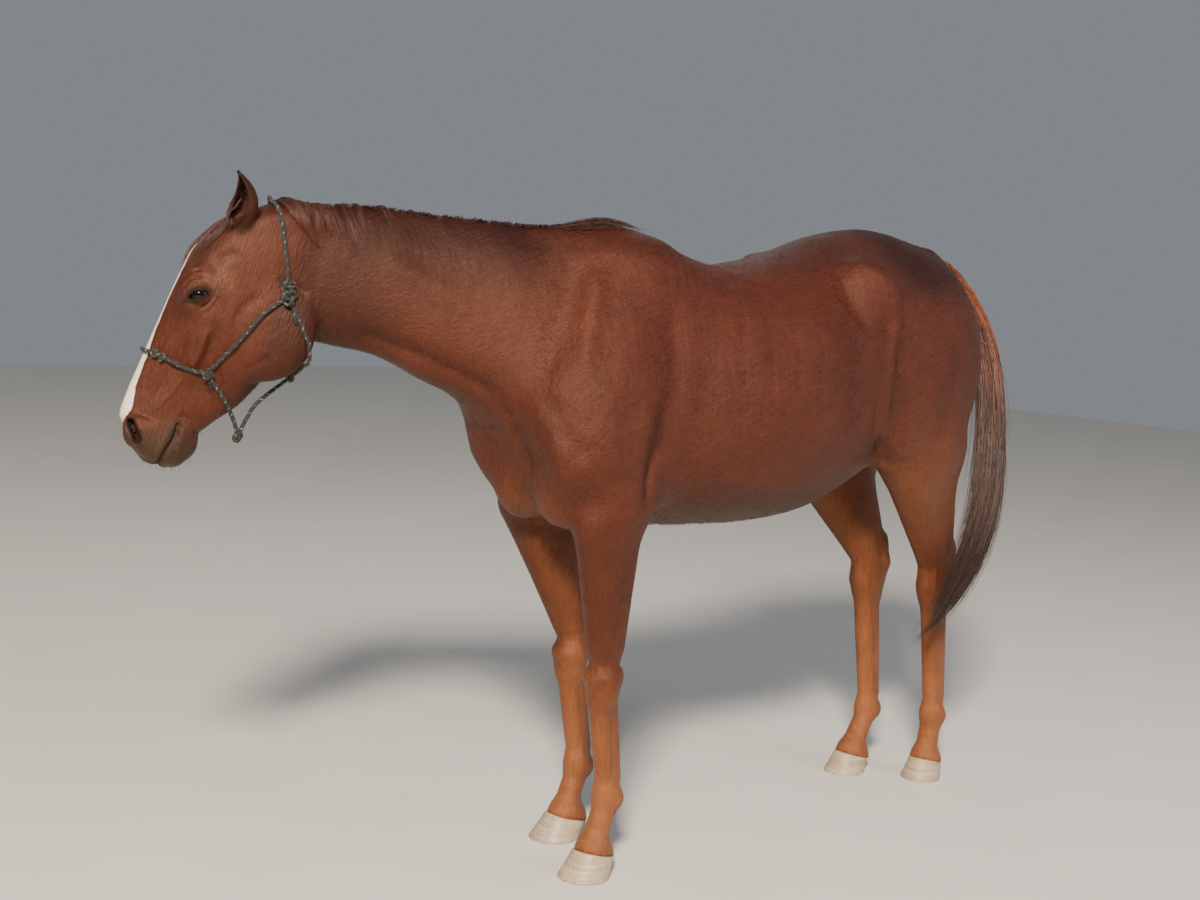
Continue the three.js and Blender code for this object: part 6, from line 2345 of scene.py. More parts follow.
class NodeTool:
    """Runs one geometry-nodes tree on a carrier mesh and hands back a plain mesh."""

    def __init__(self, name: str, inputs: Sequence[tuple[str, str, Any]]) -> None:
        """Starts a tree with a geometry input and output.

        Args:
            name: The tree's name.
            inputs: Name, socket type and default of each further input.
        """
        self.tree = bpy.data.node_groups.new(name, "GeometryNodeTree")
        face = self.tree.interface
        face.new_socket("Geometry", in_out="INPUT", socket_type="NodeSocketGeometry")
        self.sockets = {}
        for label, kind, value in inputs:
            socket = face.new_socket(label, in_out="INPUT", socket_type=kind)
            if value is not None:
                socket.default_value = value
            self.sockets[label] = socket.identifier
        face.new_socket("Geometry", in_out="OUTPUT", socket_type="NodeSocketGeometry")
        self.start = self.add("NodeGroupInput")
        self.build()

    def add(self, kind: str, choice: str = "", **inputs: Any) -> Any:
        """Adds a node to the tree."""
        return add_node(self.tree, kind, choice, **inputs)

    def build(self) -> None:
        """Adds the tree's nodes."""
        raise NotImplementedError

    def finish(self, geometry: bpy.types.NodeSocket) -> None:
        """Closes the tree: instances made real, then the material.

        Args:
            geometry: What the tree has made.
        """
        real = self.add("GeometryNodeRealizeInstances", Geometry=geometry)[0]
        dressed = self.add("GeometryNodeSetMaterial", Geometry=real, Material=self.start["Material"])[0]
        self.add("NodeGroupOutput", n0=dressed)

    def named(self, name: str, kind: str = "FLOAT") -> bpy.types.NodeSocket:
        """A stored attribute of the carrier."""
        return self.add(NAMED, kind, Name=name)[0]

    def run(self, name: str, mesh: bpy.types.Mesh, values: dict[str, Any]) -> bpy.types.Mesh:
        """Runs the tree.

        Args:
            name: Name of the result.
            mesh: The carrier.
            values: Values for the tree's inputs, by their names.

        Returns:
            The finished mesh.
        """
        carrier = bpy.data.objects.new(name + "_lines", mesh)
        bpy.context.scene.collection.objects.link(carrier)
        modifier = carrier.modifiers.new("make", "NODES")
        modifier.node_group = self.tree
        for label, value in values.items():
            modifier[self.sockets[label]] = value
        ready = carrier.evaluated_get(bpy.context.evaluated_depsgraph_get())
        made = bpy.data.meshes.new_from_object(ready)
        carrier.modifiers.remove(modifier)
        bpy.data.objects.remove(carrier)
        bpy.data.meshes.remove(mesh)
        made.name = name
        return made


class LockTool(NodeTool):
    """Turns lines into closed tapering locks or yarns."""

    def __init__(self) -> None:
        """Names the tree's inputs."""
        inputs = [("Sides", "NodeSocketInt", 3), ("Flatness", "NodeSocketFloat", 1.0)]
        super().__init__("locks_along_lines", [*inputs, ("Material", "NodeSocketMaterial", None)])

    def build(self) -> None:
        """Lines to curves, a small section swept along each, capped at both ends."""
        width = self.named("width")
        lines = self.add("GeometryNodeMeshToCurve", Mesh=self.start["Geometry"])[0]
        lines = self.add("GeometryNodeSetCurveRadius", Curve=lines, Radius=width)[0]
        section = self.add("GeometryNodeCurvePrimitiveCircle", Resolution=self.start["Sides"], Radius=1.0)[0]
        shape = self.add("ShaderNodeCombineXYZ", X=1.0, Y=self.start["Flatness"], Z=1.0)[0]
        section = self.add("GeometryNodeTransform", Geometry=section, Scale=shape)[0]
        share = self.add("GeometryNodeSplineParameter")["Factor"]
        section = self.add(STORE, Geometry=section, Name="around", Value=share)[0]
        swept = self.add("GeometryNodeCurveToMesh", Curve=lines, Profile_Curve=section, Scale=width, Fill_Caps=True)
        self.finish(swept[0])


class TuftTool(NodeTool):
    """Lays one small arched tuft on each point, along its lie."""

    def __init__(self) -> None:
        """Names the tree's inputs."""
        sizes = {"Width": 0.1, "Thickness": 0.04, "Arch": 0.2}
        inputs = [(name, "NodeSocketFloat", value) for name, value in sizes.items()]
        super().__init__("tufts_on_points", [*inputs, ("Material", "NodeSocketMaterial", None)])

    def build(self) -> None:
        """A three-sided spike one unit long, flattened, arched and set on every point."""
        spike = self.add(
            "GeometryNodeMeshCone", Vertices=3, Side_Segments=2, Radius_Top=0.0, Radius_Bottom=1.0, Depth=1.0
        )[0]
        x, y, z = self.add("ShaderNodeSeparateXYZ", Vector=self.add("GeometryNodeInputPosition")[0])
        around = self.add(MATH, "MULTIPLY_ADD", n0=y, n1=0.5, n2=0.5)[0]
        for name, share in (("along", z), ("around", around)):
            spike = self.add(STORE, Geometry=spike, Name=name, Value=share)[0]
        rest = self.add(MATH, "SUBTRACT", n0=1.15, n1=z)[0]
        hump = self.add(MATH, "MULTIPLY", n0=z, n1=rest)[0]
        raised = self.add(MATH, "MULTIPLY", n0=hump, n1=self.start["Arch"])[0]
        thin = self.add(MATH, "MULTIPLY_ADD", n0=x, n1=self.start["Thickness"], n2=raised)[0]
        wide = self.add(MATH, "MULTIPLY", n0=y, n1=self.start["Width"])[0]
        bent = self.add("ShaderNodeCombineXYZ", X=thin, Y=wide, Z=z)[0]
        tuft = self.add("GeometryNodeSetPosition", Geometry=spike, Position=bent)[0]
        lie, out = (self.named(name, "FLOAT_VECTOR") for name in ("lie", "out"))
        turn = self.add("FunctionNodeAxesToRotation", n0=lie, n1=out)[0]
        points = self.add("GeometryNodeMeshToPoints", Mesh=self.start["Geometry"])[0]
        size = self.named("size")
        stood = self.add("GeometryNodeInstanceOnPoints", Points=points, Instance=tuft, Rotation=turn, Scale=size)
        self.finish(stood[0])


def dress_hair(mesh: bpy.types.Mesh) -> None:
    """Adds the OFBake map: each lock is one small patch at its root's place on the unwrap.

    Args:
        mesh: The mesh.
    """
    n = len(mesh.vertices)

    def read(name: str) -> Array:
        """A number stored for each vertex, 0 where there is none.

        Args:
            name: The attribute's name.

        Returns:
            The numbers.
        """
        values = np.zeros(n, np.float32)
        if name in mesh.attributes:
            mesh.attributes[name].data.foreach_get("value", values)
        return values

    u = read("root_u") + PATCH * (np.clip(read("along"), 0, 1) - 0.5)
    v = read("root_v") + PATCH * (np.clip(read("around"), 0, 1) - 0.5)
    corner = np.zeros(len(mesh.loops), np.int32)
    mesh.loops.foreach_get("vertex_index", corner)
    layer = mesh.uv_layers.new(name="OFBake")
    layer.data.foreach_set("uv", np.stack([u[corner], v[corner]], axis=1).ravel().astype(np.float32))


def smooth_random(rng: np.random.Generator, rows: int, columns: int) -> Array:
    """Rows of smooth irregular numbers of about unit size.

    Args:
        rng: Source of the random numbers.
        rows: How many rows.
        columns: How long each row is.

    Returns:
        The numbers, row by row.
    """
    t = np.linspace(0, 1, columns)
    total = np.zeros((rows, columns))
    for k in (1, 2, 3):
        total += rng.normal(size=(rows, 1)) * np.sin(2 * math.pi * (0.5 * k * t + rng.random((rows, 1)))) / k
    return total


def shares(n: int) -> Array:
    """A row of n even shares from 0 to 1."""
    return np.linspace(0, 1, n)[None, :]


def stand(t: Array, start: float, slope: float) -> Array:
    """How high a lock stands at each share along, as part of an arch that is 1 high."""
    return np.sin(math.pi * np.clip(start + slope * t, 0, 1))


@dataclass
class Locks:
    """Many lines of points that become locks of hair or yarns of rope."""

    name: str
    slot: str
    sides: int = 3
    flatness: float = 1.0
    lines: list[Array] = field(default_factory=list)
    widths: list[Array] = field(default_factory=list)
    roots: list[Array] = field(default_factory=list)
    tones: list[Array] = field(default_factory=list)

    def add(self, lines: Array, widths: Array | float, roots: Array, tones: Array) -> None:
        """Adds lines of one length.

        Args:
            lines: Points of the horse, by line and by point.
            widths: Half thickness in millimetres, by line and by point.
            roots: Each line's place on the unwrap.
            tones: A number from 0 to 1 for each line.
        """
        self.lines.append(lines)
        self.widths.append(np.broadcast_to(widths, lines.shape[:2]))
        self.roots.append(np.broadcast_to(roots, (len(lines), 2)))
        self.tones.append(tones)

    def grow(self, flesh: Flesh, lines: Array, widths: Array, tones: Array) -> None:
        """Adds hairs that are rooted in the skin at their first points."""
        self.add(lines, widths, Chart.place(flesh, lines[:, 0]), tones)

    def build(
        self, tool: LockTool, material: bpy.types.Material, nodes: Sequence[str] = (), bake: bool = True
    ) -> bpy.types.Object:
        """Makes the piece.

        Args:
            tool: The tree that sweeps the lines.
            material: Its finish.
            nodes: The solids it stands for.
            bake: Whether each line is a small patch of the skin's unwrap.

        Returns:
            The piece, tied to the frame.
        """
        points = np.vstack([g.reshape(-1, 3) for g in self.lines])
        width = np.concatenate([w.ravel() for w in self.widths]) * MM
        edges, along, root, tone, start = [], [], [], [], 0
        for g, r, k in zip(self.lines, self.roots, self.tones):
            rows, n = g.shape[:2]
            index = start + np.arange(rows * n).reshape(rows, n)
            edges.append(np.stack([index[:, :-1], index[:, 1:]], -1).reshape(-1, 2))
            along.append(np.tile(np.linspace(0, 1, n), rows))
            root.append(np.repeat(r, n, axis=0))
            tone.append(np.repeat(k, n))
            start += rows * n
        mesh = new_mesh(self.name, points, np.vstack(edges).tolist())
        u, v = np.vstack(root).T
        along, tone = np.concatenate(along), np.concatenate(tone)
        stored = {"width": width, "along": along, "root_u": u, "root_v": v, "tone": tone}
        for label, values in stored.items():
            put_attribute(mesh, label, values)
        made = tool.run(self.name, mesh, {"Sides": self.sides, "Flatness": self.flatness, "Material": material})
        if bake:
            dress_hair(made)
        return tie(made, self.slot, nodes)


# ------------------------------------------------------------------ mane, forelock and tail


@dataclass
class Mane:
    """The mane on the right of the crest, with wisps on the left and a tuft over the withers."""

    flesh: Flesh
    front: float = 1326.0
    back: float = 690.0
    count: int = 1150
    clumps: int = 90
    seed: int = 11

    def path(self, s: Array, angle: Array, level: Array) -> Array:
        """Points at degrees from the crest, positive to the right, at a height over the flesh.

        Args:
            s: Distances along the spine.
            angle: Degrees from the crest.
            level: Heights over the flesh.

        Returns:
            The points.
        """
        shape = np.broadcast_shapes(s.shape, angle.shape, level.shape)
        s, angle, level = (np.broadcast_to(v, shape).ravel() for v in (s, np.radians(angle), level))
        centre = self.flesh.spine.point(s, 0.0, 1330.0)
        away = self.flesh.spine.heading(s)
        out = away * np.sin(angle)[:, None] + np.array([0, 0, 1.0]) * np.cos(angle)[:, None]
        p = centre + 150.0 * out
        for _ in range(9):
            p = p - out * np.clip(0.8 * (self.flesh.plain(p) - level), -16.0, 16.0)[:, None]
        return p.reshape(*shape, 3)

    def build(self, tool: LockTool, material: bpy.types.Material) -> bpy.types.Object:
        """Makes the mane as one piece.

        Args:
            tool: The tree that makes the mesh.
            material: Its finish.

        Returns:
            The piece.
        """
        rng = np.random.default_rng(self.seed)
        locks = Locks("mane_hair", "long_hair", flatness=0.6)
        n = 11
        t = shares(n)
        clump = rng.integers(0, self.clumps, self.count)
        middle = np.sort(rng.uniform(self.back, self.front, self.clumps))
        s0 = np.clip(middle[clump] + rng.normal(0, 9, self.count), self.back, self.front)
        u = (self.front - s0) / (self.front - self.back)
        drop = 64 * np.sin(math.pi * np.minimum(0.3 + 0.7 * u, 1.0)) ** 0.6 + 14
        drop = drop * rng.uniform(0.55, 1.02, self.count)
        sweep = rng.normal(-18, 10, self.clumps)[clump] + rng.normal(0, 4, self.count)
        start = rng.normal(-1.0, 3.0, self.count)
        s = s0[:, None] + sweep[:, None] * t**1.5 + (middle[clump] - s0)[:, None] * 0.75 * t
        s += 2.2 * smooth_random(rng, self.count, n)
        angle = start[:, None] + (drop - start)[:, None] * t**0.9
        rise = rng.uniform(1.0, 8.5, self.count)[:, None] * stand(t, 0.05, 0.9) ** 0.6 - 1.5 * (t < 0.02)
        lines = self.path(s, angle, rise)
        width = 1.35 * rng.uniform(0.6, 1.15, (self.count, 1)) * (1 - 0.85 * t**2.2) * smooth_step(t, -0.15, 0.1)
        locks.grow(self.flesh, lines, width, rng.random(self.count))
        self.wisps(locks, rng)
        self.stubble(locks, rng)
        self.poll(locks, rng)
        return locks.build(tool, material, ("mane",))

    def wisps(self, locks: Locks, rng: np.random.Generator) -> None:
        """Thin wisps that fall over to the left, and the tuft that lies back over the withers.

        Args:
            locks: The hairs, which get more.
            rng: Source of the random numbers.
        """
        # Place along the spine, degrees down, half the number of hairs, sweep and thickness of a wisp.
        plans = (
            (1262, 46, 9, -26, 30), (1228, 62, 12, -34, 40), (1204, 40, 7, -20, 30), (1150, 26, 6, -26, 20),
            (1312, 30, 26, -8, 16), (1298, 40, 26, -16, 16), (1280, 34, 22, -24, 20), (1320, 24, 20, 4, 12),
        )
        n = 12
        t = shares(n)
        for s0, drop, count, sweep, wide in plans:
            k = count * 2
            s = s0 + rng.normal(0, 11, (k, 1)) * (1 - 0.6 * t) + sweep * t**1.4 + 3.5 * smooth_random(rng, k, n) * t
            angle = 3.0 - (drop * rng.uniform(0.6, 1.05, (k, 1)) + 3.0) * t
            rise = 2.0 + rng.uniform(1.0, 6.5, (k, 1)) * stand(t, 0.0, 0.95) + 0.03 * wide * t
            lines = self.path(s, angle, rise)
            width = 0.8 * rng.uniform(0.6, 1.1, (k, 1)) * (1 - 0.9 * t**2)
            locks.grow(self.flesh, lines, width, rng.random(k))
        k = 150
        s = rng.uniform(645, 742, (k, 1)) - rng.uniform(70, 150, (k, 1)) * t
        angle = rng.normal(-2, 5, (k, 1)) - rng.uniform(2, 13, (k, 1)) * t + 1.2 * smooth_random(rng, k, n) * t
        lines = self.path(s, angle, 0.5 + rng.uniform(2, 10, (k, 1)) * stand(t, 0.03, 0.9))
        width = rng.uniform(0.6, 1.1, (k, 1)) * (1 - 0.9 * t**2)
        locks.grow(self.flesh, lines, width, rng.random(k))

    def poll(self, locks: Locks, rng: np.random.Generator) -> None:
        """Wavy locks from behind the ears that cross the crown rope and lie on the side of the neck.

        Args:
            locks: The hairs, which get more.
            rng: Source of the random numbers.
        """
        n, k, groups = 12, 190, 17
        t = shares(n)
        clump = rng.integers(0, groups, k)
        lean = np.linspace(0, 1, groups)[clump][:, None] + rng.normal(0, 0.03, (k, 1))
        reach = (rng.uniform(0.5, 1.0, groups)[clump] * rng.uniform(0.85, 1.0, k))[:, None]
        down = 4 + 8 * lean + (20 + 26 * lean) * t * reach + 3 * smooth_random(rng, k, n) * t
        out = -8 - 46 * lean - (70 + 30 * lean) * (t * reach) ** 1.3 + 3 * smooth_random(rng, k, n) * t
        left = -4 + 10 * rng.random((k, 1)) + 92 * np.sin(1.35 * t * reach)
        p = HeadFrame.leave(np.stack([down, out, left], axis=-1).reshape(-1, 3))
        level = (1.0 + rng.uniform(0.5, 7.0, (k, 1)) * stand(t, 0.1, 0.85)).ravel()
        lines = self.flesh.settle(p, level, 7, 14.0).reshape(k, n, 3)
        width = rng.uniform(0.6, 1.1, (k, 1)) * (1 - 0.88 * t**2)
        locks.grow(self.flesh, lines, width, rng.random(k))

    def stubble(self, locks: Locks, rng: np.random.Generator) -> None:
        """Short hairs that stand along the crest where longer ones have broken.

        Args:
            locks: The hairs, which get more.
            rng: Source of the random numbers.
        """
        k, t = 420, shares(4)
        s = rng.uniform(self.back, self.front - 15, (k, 1)) - rng.uniform(2, 12, (k, 1)) * t
        angle = rng.normal(-2.5, 3.5, (k, 1)) + rng.normal(0, 3, (k, 1)) * t
        lines = self.path(s, angle, -1.0 + rng.uniform(3, 9, (k, 1)) * t)
        locks.grow(self.flesh, lines, 0.6 * (1 - 0.9 * t), rng.random(k))


@dataclass
class Forelock:
    """The forelock: thin wavy locks from between the ears down the forehead."""

    flesh: Flesh
    count: int = 420
    groups: int = 19
    length: float = 183.0
    seed: int = 5

    def build(self, tool: LockTool, material: bpy.types.Material) -> bpy.types.Object:
        """Makes the forelock as one piece.

        Args:
            tool: The tree that makes the mesh.
            material: Its finish.

        Returns:
            The piece.
        """
        rng = np.random.default_rng(self.seed)
        n = 13
        t = shares(n)
        clump = rng.integers(0, self.groups, self.count)
        lean = np.linspace(-1, 1, self.groups)[clump] + rng.normal(0, 0.12, self.count)
        reach = rng.uniform(0.5, 1.1, self.groups)[clump] * rng.uniform(0.85, 1.0, self.count)
        down = 20.0 + self.length * reach[:, None] * t
        v = (down - 22.0) / self.length
        half = 58.0 * (1 - 0.5 * np.clip(v, 0, 1) ** 2)
        root = rng.uniform(-1, 1, self.count)[:, None] * 0.8
        place = root + (lean[:, None] - root) * np.clip(t * 1.6, 0, 1)
        left = 9.0 + 14.0 * v + half * place + 2.6 * smooth_random(rng, self.count, n) * t
        p = HeadFrame.leave(np.stack([down, 60.0 + 40.0 * v, left], axis=-1).reshape(-1, 3))
        level = (0.5 + rng.uniform(0.5, 7.0, self.count)[:, None] * stand(t, 0.1, 0.85)).ravel()
        lines = self.flesh.settle(p, level, 6, 14.0).reshape(self.count, n, 3)
        width = rng.uniform(0.55, 1.1, (self.count, 1)) * (1 - 0.88 * t**2)
        locks = Locks("forelock_hair", "long_hair", flatness=0.6)
        locks.grow(self.flesh, lines, width, rng.random(self.count))
        return locks.build(tool, material, ("forelock",))


# The tail's path from the dock: x, y, z, half width along the body, half width across.
TAIL_STATIONS = (
    (650, 0, 1440, 36, 34),
    (702, -8, 1408, 40, 36),
    (752, -30, 1352, 42, 38),
    (792, -62, 1262, 44, 40),
    (806, -92, 1150, 48, 40),
    (800, -118, 1010, 54, 38),
    (776, -142, 876, 58, 34),
    (734, -162, 756, 58, 28),
    (668, -176, 652, 54, 24),
    (590, -184, 570, 46, 20),
    (505, -186, 505, 34, 15),
    (430, -186, 458, 14, 8),
)


@dataclass
class Tail:
    """The tail: a dock with long straight hair that swings over the left hock."""

    count: int = 1750
    clumps: int = 64
    points: int = 17
    steps: int = 240
    seed: int = 23

    def __post_init__(self) -> None:
        """Draws the path and its section."""
        table = np.array(TAIL_STATIONS, float)
        self.fine = rounded(table[:, :3], self.steps)
        knots = [float(np.argmin(np.linalg.norm(self.fine - row[:3], axis=1))) / (self.steps - 1) for row in table]
        self.at = np.linspace(0, 1, self.steps)
        self.along_r, self.across_r = (np.interp(self.at, knots, table[:, k]) for k in (3, 4))
        tangent = unit(np.gradient(self.fine, axis=0))
        self.wide = unit(np.cross(np.array([0.0, 1.0, 0.0]), tangent))
        self.thick = unit(np.cross(tangent, self.wide))

    def between(self, t: Array, rows: Array) -> Array:
        """Rows that belong to the path's points, at shares along it."""
        return np.stack([np.interp(t, self.at, rows[:, k]) for k in range(3)], axis=-1)

    def spot(self, t: Array, turn: Array, out: Array) -> Array:
        """A point at shares along, round and out from the tail's middle.

        Args:
            t: Shares along.
            turn: Turns round the middle.
            out: Shares of the way out.

        Returns:
            The point.
        """
        a = np.interp(t, self.at, self.along_r) * out * np.cos(turn)
        b = np.interp(t, self.at, self.across_r) * out * np.sin(turn)
        across = a[..., None] * self.between(t, self.wide) + b[..., None] * self.between(t, self.thick)
        return self.between(t, self.fine) + across

    def build(self, tool: LockTool, material: bpy.types.Material) -> None:
        """Makes the core and the hair over it.

        Args:
            tool: The tree that makes the mesh.
            material: Its finish.
        """
        rng = np.random.default_rng(self.seed)
        n, k = self.points, self.count
        t = shares(n)
        clump = rng.integers(0, self.clumps, k)
        centre_turn = rng.uniform(0, 2 * math.pi, self.clumps)
        centre_out = np.sqrt(rng.uniform(0.05, 0.9, self.clumps))
        ends = rng.uniform(0.84, 1.0, self.clumps)
        begin = np.where(rng.random(k) < 0.6, rng.uniform(0.0, 0.08, k), rng.uniform(0.0, 0.34, k))
        end = np.minimum(ends[clump] * rng.uniform(0.88, 1.01, k), 1.0)
        end = np.where(rng.random(k) < 0.12, rng.uniform(0.45, 0.85, k), end)
        turn0 = centre_turn[clump] + rng.normal(0, 0.5, k)
        out0 = np.clip(rng.uniform(0.55, 0.86, k), 0, 1)
        s = begin[:, None] + (end - begin)[:, None] * t
        gather = smooth_step(t, 0.1, 0.95)
        turn = turn0[:, None] + (centre_turn[clump] - turn0)[:, None] * 0.85 * gather + 0.07 * smooth_random(rng, k, n)
        spread = rng.normal(0, 0.13, k)
        out = out0[:, None] + ((centre_out[clump] + spread) - out0)[:, None] * gather + 0.03 * smooth_random(rng, k, n)
        out = np.clip(np.abs(out), 0.02, 0.97)
        stray = rng.random(k) < 0.16
        out[stray] += (0.5 * gather * (0.3 + rng.random((k, 1))) + 0.06 * smooth_random(rng, k, n))[stray]
        lines = self.spot(s, turn, out)
        fall = smooth_step(s, 0.72, 1.0) ** 1.5
        lines[..., 2] -= fall * rng.uniform(0.0, 26.0, self.clumps)[clump][:, None]
        lines[..., 0] += fall * rng.normal(0, 9.0, self.clumps)[clump][:, None]
        width = 1.45 * rng.uniform(0.55, 1.15, (k, 1)) * (1 - 0.86 * t**2.4) * (1 - 0.25 * smooth_step(s, 0.5, 1.0))
        locks = Locks("tail_hair", "long_hair", flatness=0.6)
        locks.add(lines, width, Chart.tail(begin / 0.34, turn0 / (2 * math.pi)), rng.random(k))
        locks.build(tool, material, ("tail",))
        core = Locks("tail_core", "long_hair", sides=14)
        s = 0.93 * shares(40)
        lines = self.spot(s, 0 * s, 0 * s)
        wide = np.minimum(np.interp(s, self.at, self.along_r), np.interp(s, self.at, self.across_r))
        width = 0.72 * wide * (1 - 0.75 * smooth_step(s, 0.55, 0.93))
        core.add(lines, width, np.array([[0.84, 0.5]]), np.array([0.1]))
        core.build(tool, material)


# ------------------------------------------------------------------ halter


@dataclass
class Halter:
    """A halter of one braided cord: crown, cheeks, noseband and jaw ropes between tied knots.

    Places are (down, out, aside) on the head. A fourth number, where given, says that the rope hangs
    free there.
    """

    flesh: Flesh
    radius: float = 4.5
    height: float = 5.2
    pitch: float = 19.0
    step: float = 2.3
    yarn: float = 0.37  # a yarn's half thickness as a share of the rope's
    tight: float = 0.86  # how thick the rope is in a knot, as a share
    throat: tuple[float, float, float] = (176, -106, 90)
    side: tuple[float, float, float] = (389, -16, 70)
    chin: tuple[float, float, float, int] = (492, -132, 0, 1)
    jaw: tuple[float, float, float, int] = (332, -184, 0, 1)
    tones: tuple[float, ...] = (0.1, 0.9, 0.3, 0.2, 0.5, 0.2, 0.6, 0.4)

    def ropes(self) -> dict[str, list[Sequence[float]]]:
        """The ropes' control points: whole ones across the head, and the left one of each pair.

        Returns:
            The places, by the rope's name.
        """
        crown = [(6, 0, 24), (34, -26, 70), (63, -46, 80), (100, -70, 90), (140, -92, 90), self.throat]
        nose = [(397, 112, 20), (393, 92, 40), (396, 62, 60), (395, 30, 64), self.side]
        return {
            "crown": [*self.mirrored(crown[::-1]), (1, 5, 0, 1), *crown],
            "noseband": [*self.mirrored(nose[::-1]), (397, 118, 0), *nose],
            "jaw": [self.chin, (450, -134, 0, 1), (407, -143, 0, 1), self.jaw],
            "cheek": [self.throat, (230, -72, 90), (290, -52, 90), (340, -34, 80), self.side],
            "chin": [self.side, (406, -40, 64), (428, -72, 50), (448, -96, 26, 1), (472, -118, 10, 1), self.chin],
            "throat": [self.jaw, (300, -196, 40), (262, -190, 66), (226, -160, 80), self.throat],
        }

    @staticmethod
    def mirrored(path: Sequence[Sequence[float]]) -> list[tuple[float, ...]]:
        """The same places on the other side of the head."""
        return [(q[0], q[1], -q[2], *q[3:]) for q in path]

    def laid(self, path: Sequence[Sequence[float]]) -> Array:
        """A smooth line through the places, against the head except where it hangs free.

        Args:
            path: The rope's places on the head.

        Returns:
            The points, one in each row.
        """
        points = HeadFrame.leave(np.array([q[:3] for q in path], float))
        on = np.array([len(q) < 4 for q in path])
        points[on] = self.flesh.settle(points[on], self.height, 6, 14.0)
        length = np.linalg.norm(np.diff(points, axis=0), axis=1).sum()
        line = rounded(points, max(int(length / self.step), 6))
        for _ in range(3):
            d, g = self.flesh.gradient(line)
            line = line + unit(g) * np.maximum(self.height - d, 0.0)[:, None]
        return line

    def braid(self, line: Array, scale: float = 1.0) -> Array:
        """Eight yarns that cross over and under each other round a line.

        Args:
            line: The rope's middle.
            scale: Thickness as a share of the whole rope's.

        Returns:
            One line for each yarn.
        """
        ahead = unit(np.gradient(line, axis=0))
        across = np.zeros_like(line)
        first = np.cross(ahead[0], [0.3, 0.9, 0.2])
        for n, t in enumerate(ahead):
            first = unit(first - (first @ t) * t)
            across[n] = first
        third = np.cross(ahead, across)
        run = np.concatenate([[0.0], np.cumsum(np.linalg.norm(np.diff(line, axis=0), axis=1))])
        turn = 2 * math.pi * run / self.pitch
        yarns = []
        for k in range(8):
            way = 1 if k < 4 else -1
            angle = way * turn + math.pi / 2 * (k % 4)
            out = scale * self.radius * (0.6 + way * 0.15 * np.cos(4 * turn))
            yarns.append(line + out[:, None] * (np.cos(angle)[:, None] * across + np.sin(angle)[:, None] * third))
        return np.array(yarns)

    def knot(self, place: Sequence[float], size: float, lift: float, spin: float) -> Array:
        """A tied knot's line: three bights wound round each other, flattened on the head.

        Args:
            place: The knot's place on the head.
            size: Its size in millimetres.
            lift: How far it is lifted off the head.
            spin: Its turn in radians.

        Returns:
            The points, one in each row.
        """
        at = HeadFrame.leave(np.array([place[:3]], float))
        if len(place) < 4:
            at = self.flesh.settle(at, lift, 6, 14.0)
        out = unit(self.flesh.gradient(at)[1])[0] if len(place) < 4 else np.array([0.0, 1.0, 0.0])
        wide = unit(np.cross(out, HeadFrame.DOWN))
        tall = np.cross(wide, out)
        t = np.linspace(0, 2 * math.pi, int(34 * size / 4.5) + 30)
        ring = size * (0.56 + 0.3 * np.cos(3 * t))
        x, y, z = ring * np.cos(2 * t + spin), ring * np.sin(2 * t + spin), 0.34 * size * np.sin(3 * t)
        return at + 1.15 * x[:, None] * tall + 0.9 * y[:, None] * wide + z[:, None] * out

    def build(self, tool: LockTool, material: bpy.types.Material) -> None:
        """Makes the ropes as one piece and the knots as another.

        Args:
            tool: The tree that makes the mesh.
            material: Its finish.
        """
        rope, knots = (Locks(name, "halter_rope", sides=6) for name in ("halter_cord", "halter_knots"))
        nodes, tied = ["halter_jaw"], ["halter_knot_chin", "halter_knot_jaw"]
        tones, yarn = np.array(self.tones), self.yarn * self.radius
        for name, path in self.ropes().items():
            for one in [path] if name in ("crown", "noseband", "jaw") else [path, self.mirrored(path)]:
                rope.add(self.braid(self.laid(one)), yarn, np.zeros(2), tones)
            if name != "jaw":
                nodes += [f"halter_{name}_left", f"halter_{name}_right"]
        plans = [(self.chin, 13, 0, 0.3), (self.jaw, 11, 0, 1.2)]
        # Each pair's place, size and height, then its second turn's step, size and height.
        pairs = {
            "throat": (self.throat, 19, 15, (-20, 8, 0), 15, 13),
            "side": (self.side, 12, 11, None, 0, 0),
            "nose": ((393, 92, 40), 9, 8, (1, -14, 8), 9, 8),
        }
        for name, (place, size, lift, step, more, raised) in pairs.items():
            tied += [f"halter_knot_{name}_left", f"halter_knot_{name}_right"]
            plans += [(spot, size, lift, 0.8 * k + size) for k, spot in enumerate((place, *self.mirrored([place])))]
            if step:
                second = tuple(a + b for a, b in zip(place, step))
                plans += [(spot, more, raised, 2.0) for spot in (second, *self.mirrored([second]))]
        for place, size, lift, spin in plans:
            line = self.knot(place, size - 2.0, lift, spin)
            knots.add(self.braid(line, self.tight), self.tight * yarn, np.zeros(2), tones)
        self.ends(knots, yarn)
        rope.build(tool, material, nodes, bake=False)
        knots.build(tool, material, tied, bake=False)

